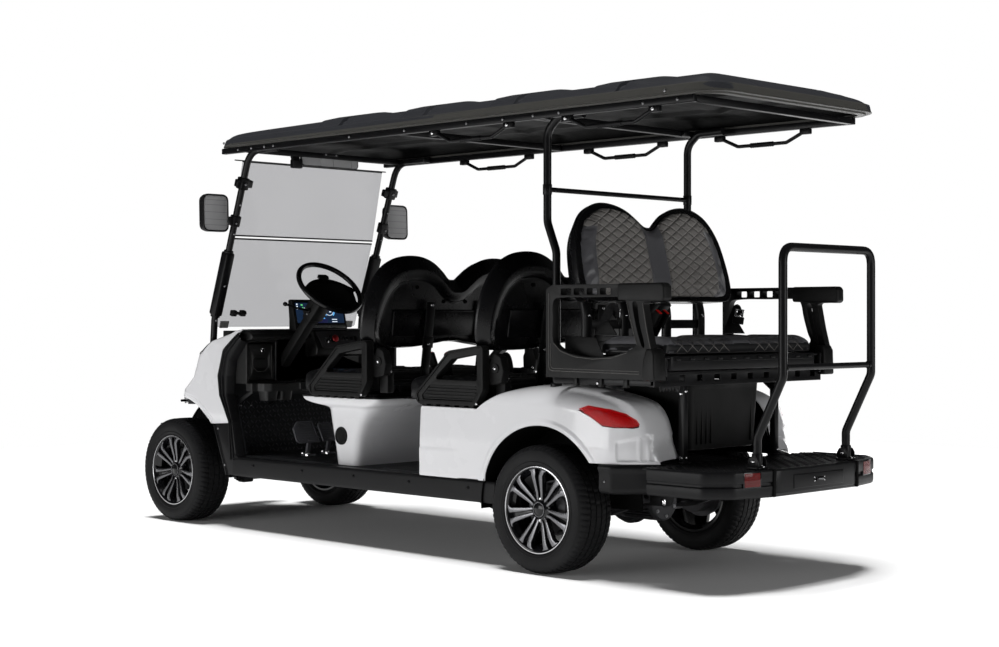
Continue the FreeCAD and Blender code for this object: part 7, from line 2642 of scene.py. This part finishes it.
MAT = finish("dark rubber floor mat", (0.014, 0.0145, 0.016), 0.5, grain=0.4, grain_size=0.0018,
             Specular_IOR_Level=0.3)
BORDER_GREY = finish("blue-grey mat border", (0.050, 0.053, 0.060), 0.45, grain=0.3, grain_size=0.0014)
TREAD = finish("raised mat tread", (0.048, 0.050, 0.055), 0.38, grain=0.25, grain_size=0.001,
               Specular_IOR_Level=0.35)


def tread_field(plane, width, length):
    """Rows of small raised lozenges, turned left and right by turns, over a rectangle in a plane."""
    pitch = 27
    model = panel([(-11, 0), (-7, -2.6), (7, -2.6), (11, 0), (7, 2.6), (-7, 2.6)], Matrix.Identity(4), 0,
                  2.5, 0.0)
    edit(model)
    bpy.ops.mesh.select_mode(type="FACE")
    bpy.ops.mesh.select_all(action="DESELECT")
    nothing()
    for face in model.data.polygons:
        face.select = face.normal.z > 0.9
    pick(model)
    bpy.ops.object.mode_set(mode="EDIT")
    bpy.ops.transform.resize(value=(0.72, 0.4, 1), center_override=(0, 0, 0.0025))
    bpy.ops.mesh.select_mode(type="VERT")
    nothing()
    shape = [v.co.copy() for v in model.data.vertices]
    faces = [tuple(f.vertices) for f in model.data.polygons if f.normal.z > -0.9]
    columns, rows = int(width / pitch), int(length / pitch)
    marks = []
    for j in range(rows):
        for i in range(columns):
            a, b = (i + 0.5) * pitch - columns * pitch / 2, (j + 0.5) * pitch + (length - rows * pitch) / 2
            turn = Matrix.Rotation(math.radians(48 if (i + j) % 2 else -48), 4, "Z")
            marks.append(plane @ Matrix.Translation((a / 1000, b / 1000, 0)) @ turn)
    mesh = bpy.data.meshes.new("tread")
    mesh.from_pydata([m @ v for m in marks for v in shape], [],
                     [tuple(k * len(shape) + i for i in f) for k in range(len(marks)) for f in faces])
    obj = bpy.data.objects.new("tread", mesh)
    bpy.context.scene.collection.objects.link(obj)
    bpy.data.objects.remove(model)
    return paint(obj, TREAD)


def floor_cover():
    """Floor, sloped toe board and bulkhead, with the tread mat on them and smooth borders."""
    base = side_plate([(-2440, 366), (-2440, 378), (-470, 378), (-355, 706), (-355, 759), (-343, 759),
                       (-343, 704), (-461, 366)], -530, 530, 0.003, 2, FRONT)
    toe = facing_frame(fore(-466, 0, 379.5), SEEN_FROM_BEHIND, (115, 0, 333))
    flat = facing_frame(fore(-1170, 0, 379), SEEN_FROM_BEHIND, (1, 0, 0))
    rear_flat = facing_frame(fore(-2280, 0, 379), SEEN_FROM_BEHIND, (1, 0, 0))
    sheets = [panel(rounded(1012, 318, 12, (0, 166)), toe, 0.0, 3.0, 0.0012),
              panel(rounded(1030, 690, 12, (0, 348)), flat, -0.5, 2.5, 0.0012),
              panel(rounded(1030, 690, 12, (0, 348)), rear_flat, -0.5, 2.5, 0.0012)]
    border = [panel(rounded(60, 326, 6, (side * 496, 166)), toe, 0.5, 7.0, 0.002) for side in (1, -1)]
    ribs = [panel(rounded(1000, 2.2, 0.8, (0, 20 + 34 * k)), sheet, 2.0, 3.6, 0.0006, 1)
            for sheet in (flat, rear_flat) for k in range(20)]
    toe.translation += toe.to_3x3() @ Vector((0, 0, 0.0028))
    treads = [tread_field(toe, 920, 306)]
    spots = [(fore(-375, y, 640), Vector((-0.945, 0, 0.326))) for y in (380, 446)]
    bolts = hex_heads(0.009, CHROME, spots)
    return join(paint(join(base, *sheets, *ribs), MAT), *treads, paint(join(*border), BORDER_GREY), bolts)


piece(floor_cover(), "floor_and_toe_board", "cart", "floor_pan")

# ---------------------------------------------------------------- chassis
FRAME_STEEL = finish("black chassis coating", (0.009, 0.009, 0.0095), 0.5, grain=0.5, grain_size=0.0022,
                     mottle=0.15)
WELD = finish("black painted weld", (0.012, 0.012, 0.012), 0.45, grain=0.9, grain_size=0.003, mottle=0.2)
AXLE_BLACK = finish("black axle casting", (0.016, 0.016, 0.017), 0.55, grain=0.7, grain_size=0.0025,
                    mottle=0.2)
MOTOR_GREY = finish("grey finned motor case", (0.055, 0.055, 0.058), 0.5, metal=0.6, grain=0.5,
                    grain_size=0.002, mottle=0.15)
SPRING_STEEL = finish("grey spring leaf", (0.035, 0.035, 0.037), 0.45, metal=0.4, grain=0.4,
                      grain_size=0.002, mottle=0.2)
CABLE = finish("black cable sleeve", (0.010, 0.010, 0.010), 0.6, grain=0.4, grain_size=0.0012)
CABLE_ORANGE = finish("orange power cable", (0.62, 0.14, 0.01), 0.45, grain=0.15, grain_size=0.0012)
RAIL_LINE = [(-965, 423), (282, 423), (300, 290), (2372, 290), (2388, 400), (3118, 400), (3118, 460),
             (2320, 460), (2312, 365), (354, 365), (342, 483), (-965, 483)]


def bead(points):
    """A rippled weld along a line."""
    dense = spread(points, max(6, int(sum((b - a).length for a, b in zip(points, points[1:])) / 0.009)))
    return tube([p + Vector((0, 0, 0.0008 * (k % 2))) for k, p in enumerate(dense)], 0.004, sides=8)


def chassis():
    """Box rails with their kick-ups, cross members, gussets, hanger plates, welds and bolts."""
    line = pairs(fillet(RAIL_LINE, 10, 4))
    rail = side_plate(line, 205, 255, 0.004, 2, REAR)
    side = [rail]
    for x, low, high in ((440, 290, 365), (1330, 290, 365), (2145, 290, 365)):
        side.append(side_plate([(x - 26, low + 4), (x + 26, low + 4), (x + 26, high - 4),
                                (x - 26, high - 4)], 253, 532, 0.004, 2, REAR))
    welds = []
    for x in (440, 1330, 2145):
        for end in (-27, 27):
            welds.append(bead([back(x + end, 255, 296), back(x + end, 255, 360)]))
    hanger = pairs(fillet([(-446, 300, 26), (-240, 292, 26), (-222, 340, 16), (-262, 426, 8),
                           (-420, 426, 8), (-462, 350, 20)], 12, 5))
    side.append(side_plate(hanger, 255, 262, 0.002, 2, REAR))
    front_hanger = pairs(fillet([(452, 292, 8), (300, 292, 8), (296, 258, 22), (352, 242, 22),
                                 (452, 268, 10)], 10, 5))
    side.append(side_plate(front_hanger, 520, 528, 0.002, 2, REAR))
    side.append(side_plate(front_hanger, 468, 476, 0.002, 2, REAR))
    side.append(rod(back(336, 462, 266), back(336, 534, 266), 0.011, 20, 0.002))
    gusset = [(354, 362), (470, 362), (356, 470)]
    side.append(side_plate(gusset, 226, 232, 0.001, 1, REAR))
    bright = hex_heads(0.0105, CHROME,
                       [(back(x, 262, z), (0, 1, 0)) for x, z in ((-283, 314), (-403, 316))]
                       + [(back(336, 534, 266), (0, 1, 0))])
    dull = hex_heads(0.008, STEEL, [(back(x, 255, 453), (0, 1, 0)) for x in (-900, -760, -610, -120, 100)]
                   + [(back(x, 255, 328), (0, 1, 0)) for x in (600, 900, 1200, 1500, 1800, 2050)]
                     + [(back(x, 255, 430), (0, 1, 0)) for x in (2480, 2980, 3080)])
    half = join(paint(join(*side), FRAME_STEEL), paint(join(*welds), WELD), bright, dull)
    cross = []
    for x, width, low, high in ((-940, 50, 423, 483), (320, 60, 296, 480), (1330, 60, 290, 365),
                                (2145, 60, 290, 365), (3098, 40, 400, 460)):
        cross.append(side_plate([(x - width / 2, low), (x + width / 2, low), (x + width / 2, high),
                                 (x - width / 2, high)], -206, 206, 0.004, 2, REAR))
    cross.append(side_plate([(-610, 425), (-545, 425), (-545, 481), (-610, 481)], -342, 342, 0.004, 2,
                            REAR))
    tie = [tube([back(2320, s * 120, 330), back(1400, s * 120, 326)], 0.010, sides=12) for s in (1, -1)]
    return join(both(half), paint(join(*cross, *tie), FRAME_STEEL))


def drum(y, s):
    """Brake drum with cooling ribs and a backing plate."""
    profile = [(0.030, 0), (0.090, 0), (0.096, 0.004)]
    for k in range(5):
        a = 0.010 + 0.009 * k
        profile += [(0.096, a), (0.0915, a + 0.002), (0.0915, a + 0.006), (0.096, a + 0.008)]
    profile += [(0.096, 0.056), (0.090, 0.058), (0.030, 0.058)]
    return lathe([(r, s * a) for r, a in profile], Vector((REAR, y, AXLE_Z)), "Y", 48)


def rear_drive():
    """Axle tubes, differential, finned motor with its cables, drums, spring seats and brake lines."""
    end = 0.440
    centre = Vector((REAR, 0, AXLE_Z))
    tubes = []
    for s in (1, -1):
        tubes.append(lathe([(0.0, s * 0.05), (0.060, s * 0.05), (0.052, s * 0.085), (0.040, s * 0.11),
                            (0.038, s * 0.16), (0.038, s * (end - 0.03)), (0.048, s * (end - 0.02)),
                            (0.048, s * end), (0.0, s * end)], centre, "Y", 40))
        tubes.append(box(back(-32, s * 300 - 24, AXLE_Z * 1000 - 36.5),
                         back(32, s * 300 + 24, AXLE_Z * 1000), 0.004))
        tubes.append(rod(centre + Vector((0, s * 0.496, 0)), centre + Vector((0, s * 0.568, 0)), 0.018, 24,
                         0.002))
    case = lathe([(0, -0.062), (0.070, -0.060), (0.096, -0.044), (0.105, -0.015), (0.105, 0.015),
                  (0.096, 0.044), (0.070, 0.060), (0, 0.062)], centre, "Y", 48)
    ribs = [lathe([(0.1035, a - 0.004), (0.109, a - 0.002), (0.109, a + 0.002), (0.1035, a + 0.004)],
                  centre, "Y", 48) for a in (-0.012, 0.012)]
    cover = lathe([(0, 0), (0.078, 0), (0.083, 0.004), (0.083, 0.012), (0.060, 0.026), (0, 0.030)],
                  back(92, 0, AXLE_Z * 1000), "X", 40)
    cover_bolts = hex_heads(0.006, STEEL,
                            [(back(104, 72 * math.cos(a), AXLE_Z * 1000 + 72 * math.sin(a)), (1, 0, 0))
                             for a in [k * math.pi / 4 for k in range(8)]])
    gearbox = box(back(-124, 20, AXLE_Z * 1000 - 60), back(-38, 152, AXLE_Z * 1000 + 70), 0.014, 3)
    at = back(-60, 110, AXLE_Z * 1000 + 20)
    body = lathe([(0, 0), (0.080, 0), (0.086, 0.006), (0.086, 0.030), (0.078, 0.036), (0.078, 0.196),
                  (0.086, 0.202), (0.086, 0.224), (0.080, 0.230), (0.030, 0.230), (0.028, 0.238),
                  (0, 0.238)], at, (-1, 0, 0), 56)
    fin = box(at + Vector((-0.194, -0.0016, 0.074)), at + Vector((-0.040, 0.0016, 0.088)), 0.0008, 1)
    fins = ring_of(fin, 28, at, "X")
    junction = box(at + Vector((-0.170, -0.042, 0.080)), at + Vector((-0.070, 0.042, 0.112)), 0.006, 3)
    motor_bolts = hex_heads(0.006, STEEL,
                            [(at + Vector((-0.231, 0.066 * math.cos(a), 0.066 * math.sin(a))), (-1, 0, 0))
                             for a in [0.4 + k * math.pi / 3 for k in range(6)]])
    cables = [tube([at + Vector((-0.10, y, 0.108)), at + Vector((-0.09, y, 0.150)),
                    at + Vector((0.10, y - 0.06, 0.155)), at + Vector((0.33, y - 0.14, 0.150))], 0.0075,
                   0.05, 12) for y in (-0.024, 0.0, 0.024)]
    lines = [tube([back(-40, s * 60, 330), back(-46, s * 180, 325), back(-46, s * 400, 322),
                   back(-30, s * 436, 330)], 0.0036, 0.04, 8) for s in (1, -1)]
    drums = [drum(s * 0.440, s) for s in (1, -1)]
    black = paint(join(*tubes, case, *ribs, cover, gearbox), AXLE_BLACK)
    grey = paint(join(body, fins, junction), MOTOR_GREY)
    return join(black, grey, paint(join(*drums), CAST), cover_bolts, motor_bolts,
                paint(join(*cables), CABLE_ORANGE), paint(join(*lines), CABLE))


def front_beam():
    """Front axle beam with spring seats and kingpin eyes, and the steering box with its drag link."""
    z = AXLE_Z * 1000
    beam = tube([fore(0, -386, z), fore(0, 386, z)], 0.028, sides=28)
    parts = [beam]
    for s in (1, -1):
        parts.append(lathe([(0.0105, -0.040), (0.022, -0.040), (0.024, -0.037), (0.024, 0.037),
                            (0.022, 0.040), (0.0105, 0.040)], fore(0, s * 390, z), "Z", 32))
        parts.append(box(fore(-32, s * 230 - 24, z - 36.5), fore(32, s * 230 + 24, z), 0.004))
        parts.append(bead([fore(27, s * 368, z - 14), fore(27, s * 368, z + 14)]))
    rack = tube([fore(-128, -200, z - 58), fore(-128, 200, z - 58)], 0.015, sides=20)
    gaiters = [lathe([(0.009 + 0.007 * (k % 2), s * (0.200 + 0.0075 * k)) for k in range(13)]
                     + [(0.0, s * 0.290), (0.0, s * 0.200)], fore(-128, 0, z - 58), "Y", 24)
               for s in (1, -1)]
    rods = [tube([fore(-128, s * 280, z - 58), fore(-128, s * 299, z - 58)], 0.007, sides=14)
            for s in (1, -1)]
    box_piece = box(fore(-160, 190, z - 84), fore(-100, 262, z - 30), 0.010, 3)
    return join(paint(join(*parts, box_piece), AXLE_BLACK), paint(join(rack, *rods), STEEL),
                paint(join(*gaiters), RUBBER))


def knuckle_piece(s):
    """Forked steering knuckle with its kingpin nuts, arm, spindle and brake backing plate."""
    z = AXLE_Z * 1000
    fork = plate(pairs(fillet([(0.366, z / 1000 + 0.060), (0.434, z / 1000 + 0.060),
                               (0.434, z / 1000 - 0.060), (0.366, z / 1000 - 0.060),
                               (0.366, z / 1000 - 0.0455), (0.416, z / 1000 - 0.0455),
                               (0.416, z / 1000 + 0.0455), (0.366, z / 1000 + 0.0455)], 0.004, 3)),
                 "x", FRONT - 0.024, FRONT + 0.024, 0.003)
    spindle = lathe([(0, 0.433), (0.030, 0.433), (0.026, 0.450), (0.026, 0.486), (0.018, 0.490),
                     (0.018, 0.560), (0, 0.560)], fore(0, 0, z), "Y", 32)
    arm = flat_bar([fore(-18, 390, z - 52.5), fore(-90, 392, z - 52.5), fore(-148, 390, z - 52.5)], 0.030,
                   0.013, 0.05, edge=0.003)
    eye = rod(fore(-136, 390, z - 62), fore(-136, 390, z - 44), 0.016, 24, 0.002)
    back_plate = lathe([(0.030, 0.437), (0.086, 0.437), (0.094, 0.444), (0.094, 0.452), (0.088, 0.449),
                        (0.030, 0.446)], fore(0, 0, z), "Y", 48)
    nuts = hex_heads(0.010, STEEL, [(fore(0, 390, z + 59), (0, 0, 1)), (fore(0, 390, z - 59), (0, 0, -1)),
                                    (fore(-136, 390, z - 62), (0, 0, -1))])
    obj = join(paint(join(fork, spindle, arm, eye), AXLE_BLACK), paint(back_plate, CAST), nuts)
    if s > 0:
        return obj
    mirrored = twin(obj, MIRROR)
    bpy.data.objects.remove(obj)
    return mirrored


def spring(axle, y, hanger_top):
    """Three bowed leaves clamped with U-bolts, and a shackle at each end."""
    z0 = AXLE_Z * 1000 - 38
    parts, fixings = [], []
    for k, (reach, drop) in enumerate(((330, 0), (250, 6), (165, 12))):
        upper = [(-reach + 2 * reach * i / 24,
                  z0 - drop - 0.2 + 84 * ((-reach + 2 * reach * i / 24) / 330) ** 2) for i in range(25)]
        parts.append(side_plate(upper + [(x, h - (6 if k < 2 else 5)) for x, h in reversed(upper)], y - 22,
                                y + 22, 0.0012, 1, axle))
    for end in (-330, 330):
        parts.append(rod(Vector((axle + end / 1000, (y - 24) / 1000, (z0 + 80) / 1000)),
                         Vector((axle + end / 1000, (y + 24) / 1000, (z0 + 80) / 1000)), 0.013, 24, 0.002))
        for side in (-20, 20):
            outline = fillet([(end - 13, z0 + 66), (end + 13, z0 + 66), (end + 13, hanger_top),
                              (end - 13, hanger_top)], 9, 5)
            parts.append(side_plate(pairs(outline), y + side - 3, y + side + 3, 0.001, 1, axle))
        for s in (-1, 1):
            fixings.append((Vector((axle + end / 1000, (y + s * 24) / 1000, (z0 + 80) / 1000)), (0, s, 0)))
    clamps = []
    for x in (-20, 20):
        points = [Vector((axle + x / 1000, (y - 27) / 1000, (z0 - 24) / 1000)),
                  Vector((axle + x / 1000, (y - 27) / 1000, (AXLE_Z * 1000 + 41) / 1000)),
                  Vector((axle + x / 1000, (y + 27) / 1000, (AXLE_Z * 1000 + 41) / 1000)),
                  Vector((axle + x / 1000, (y + 27) / 1000, (z0 - 24) / 1000))]
        clamps.append(tube(points, 0.0045, 0.02, 12))
        fixings += [(p - Vector((0, 0, -0.004)), (0, 0, -1)) for p in (points[0], points[-1])]
    clamps.append(box((axle - 0.036, (y - 34) / 1000, (z0 - 27) / 1000),
                      (axle + 0.036, (y + 34) / 1000, (z0 - 18) / 1000), 0.002))
    nuts = hex_heads(0.0066, STEEL, fixings)
    return join(paint(join(*parts), SPRING_STEEL), paint(join(*clamps), STEEL), nuts)


def battery():
    """Ribbed battery case with a lid, handles, a plug and its cables."""
    case = box(back(431, -349, 379), back(729, 349, 600), 0.012, 3)
    lid = box(back(428, -352, 598), back(732, 352, 618), 0.006, 3)
    ribs = [box(back(730, y - 5, 392), back(734, y + 5, 590), 0.002)
            for y in range(-320, 321, 40)] + [box(back(426, y - 5, 392), back(430, y + 5, 590), 0.002)
                                              for y in range(-320, 321, 40)]
    ends = [box(back(x - 5, s * 351 - 3, 392), back(x + 5, s * 351 + 3, 590), 0.002) for s in (1, -1)
            for x in range(460, 721, 40)]
    strap = [flat_bar([back(425, y, 385), back(425, y, 621), back(735, y, 621), back(735, y, 385)], 0.022,
                      0.003, up=(0, 1, 0), edge=0.0) for y in (-180, 180)]
    plug = box(back(560, 250, 617), back(620, 318, 640), 0.005, 3)
    cable = tube([back(590, 284, 636), back(590, 284, 660), back(480, 250, 655), back(420, 200, 560),
                  back(410, 200, 480)], 0.008, 0.05, 12)
    return join(paint(join(case, lid, *ribs, *ends), BATTERY), paint(join(*strap), WEB),
                paint(plug, SOFT_BLACK), paint(cable, CABLE_ORANGE))


piece(chassis(), "chassis_rails", "cart", "chassis_frame")
piece(rear_drive(), "rear_axle_and_motor", "cart", "rear_axle")
piece(front_beam(), "front_axle_beam", "cart", "front_axle")
piece(knuckle_piece(1), "left_steering_knuckle", "left_hub", "left_knuckle")
piece(knuckle_piece(-1), "right_steering_knuckle", "right_hub", "right_knuckle")
piece(join(both(spring(FRONT, 230, 400)), both(spring(REAR, 300, 470))), "leaf_spring_packs", "cart",
      "leaf_springs")
piece(battery(), "battery_case", "cart", "battery_pack")


# ---------------------------------------------------------------- floor, lights and camera
EYE, LOOKING, LENS, SHIFT_UP = (-6.1075, 5.9566, 1.1133), (0.704, -0.710, 0), 61.33, -0.0066


def studio():
    bpy.ops.mesh.primitive_plane_add(size=13, location=(0.4, -0.6, 0))
    floor = bpy.context.object
    floor.name = "studio_floor"
    ground = finish("white studio floor", (0.96, 0.96, 0.96), 1.0, mottle=0.0, wear=0.0,
                    Specular_IOR_Level=0.0)
    paint(floor, ground)

    world = bpy.data.worlds.new("studio")
    bpy.context.scene.world = world
    world.use_nodes = True
    nodes, link = world.node_tree.nodes, world.node_tree.links.new
    soft = nodes["Background"]
    soft.inputs["Color"].default_value = (1.0, 1.0, 1.0, 1)
    soft.inputs["Strength"].default_value = 0.03
    white = nodes.new("ShaderNodeBackground")
    white.inputs["Color"].default_value = (1, 1, 1, 1)
    white.inputs["Strength"].default_value = 1.0
    ray = nodes.new("ShaderNodeLightPath")
    seen = nodes.new("ShaderNodeMath")
    seen.operation = "MAXIMUM"
    link(ray.outputs["Is Camera Ray"], seen.inputs[0])
    link(ray.outputs["Is Transmission Ray"], seen.inputs[1])
    mix = nodes.new("ShaderNodeMixShader")
    link(seen.outputs[0], mix.inputs[0])
    link(soft.outputs[0], mix.inputs[1])
    link(white.outputs[0], mix.inputs[2])
    link(mix.outputs[0], nodes["World Output"].inputs["Surface"])

    def lamp(name, place, target, power, width, height):
        bpy.ops.object.light_add(type="AREA", location=place)
        light = bpy.context.object
        light.name = name
        light.data.shape = "RECTANGLE"
        light.data.size = width
        light.data.size_y = height
        light.data.energy = power
        light.rotation_euler = (Vector(target) - Vector(place)).to_track_quat("-Z", "Y").to_euler()
        light.visible_camera = False

    lamp("overhead_softbox", (0.3, 0.0, 6.5), (0, 0, 0.4), 16, 4, 1.6)
    lamp("left_softbox", (1.0, 5.8, 0.9), (0.1, 0, 0.75), 112, 4.4, 1.5)
    lamp("rear_softbox", (-6.6, -0.8, 1.35), (-0.5, 0, 0.9), 62, 2.4, 1.4)
    lamp("right_softbox", (0.6, -6.4, 1.0), (0.2, 0, 0.8), 38, 4, 1.4)
    bpy.ops.object.light_add(type="SUN", location=(0, 0, 8))
    sun = bpy.context.object
    sun.name = "broad_daylight"
    sun.data.energy = 3.5
    sun.data.angle = math.radians(17)
    sun.visible_glossy = False
    sun.rotation_euler = Vector((0.02, -0.05, -1.0)).to_track_quat("-Z", "Y").to_euler()

    camera = bpy.data.cameras.new("camera")
    eye = bpy.data.objects.new("camera", camera)
    bpy.context.scene.collection.objects.link(eye)
    bpy.context.scene.camera = eye
    camera.sensor_width = 36
    camera.lens = LENS
    camera.shift_y = SHIFT_UP
    eye.location = EYE
    eye.rotation_euler = Vector(LOOKING).to_track_quat("-Z", "Y").to_euler()
    bpy.context.scene.view_settings.view_transform = "Standard"


studio()
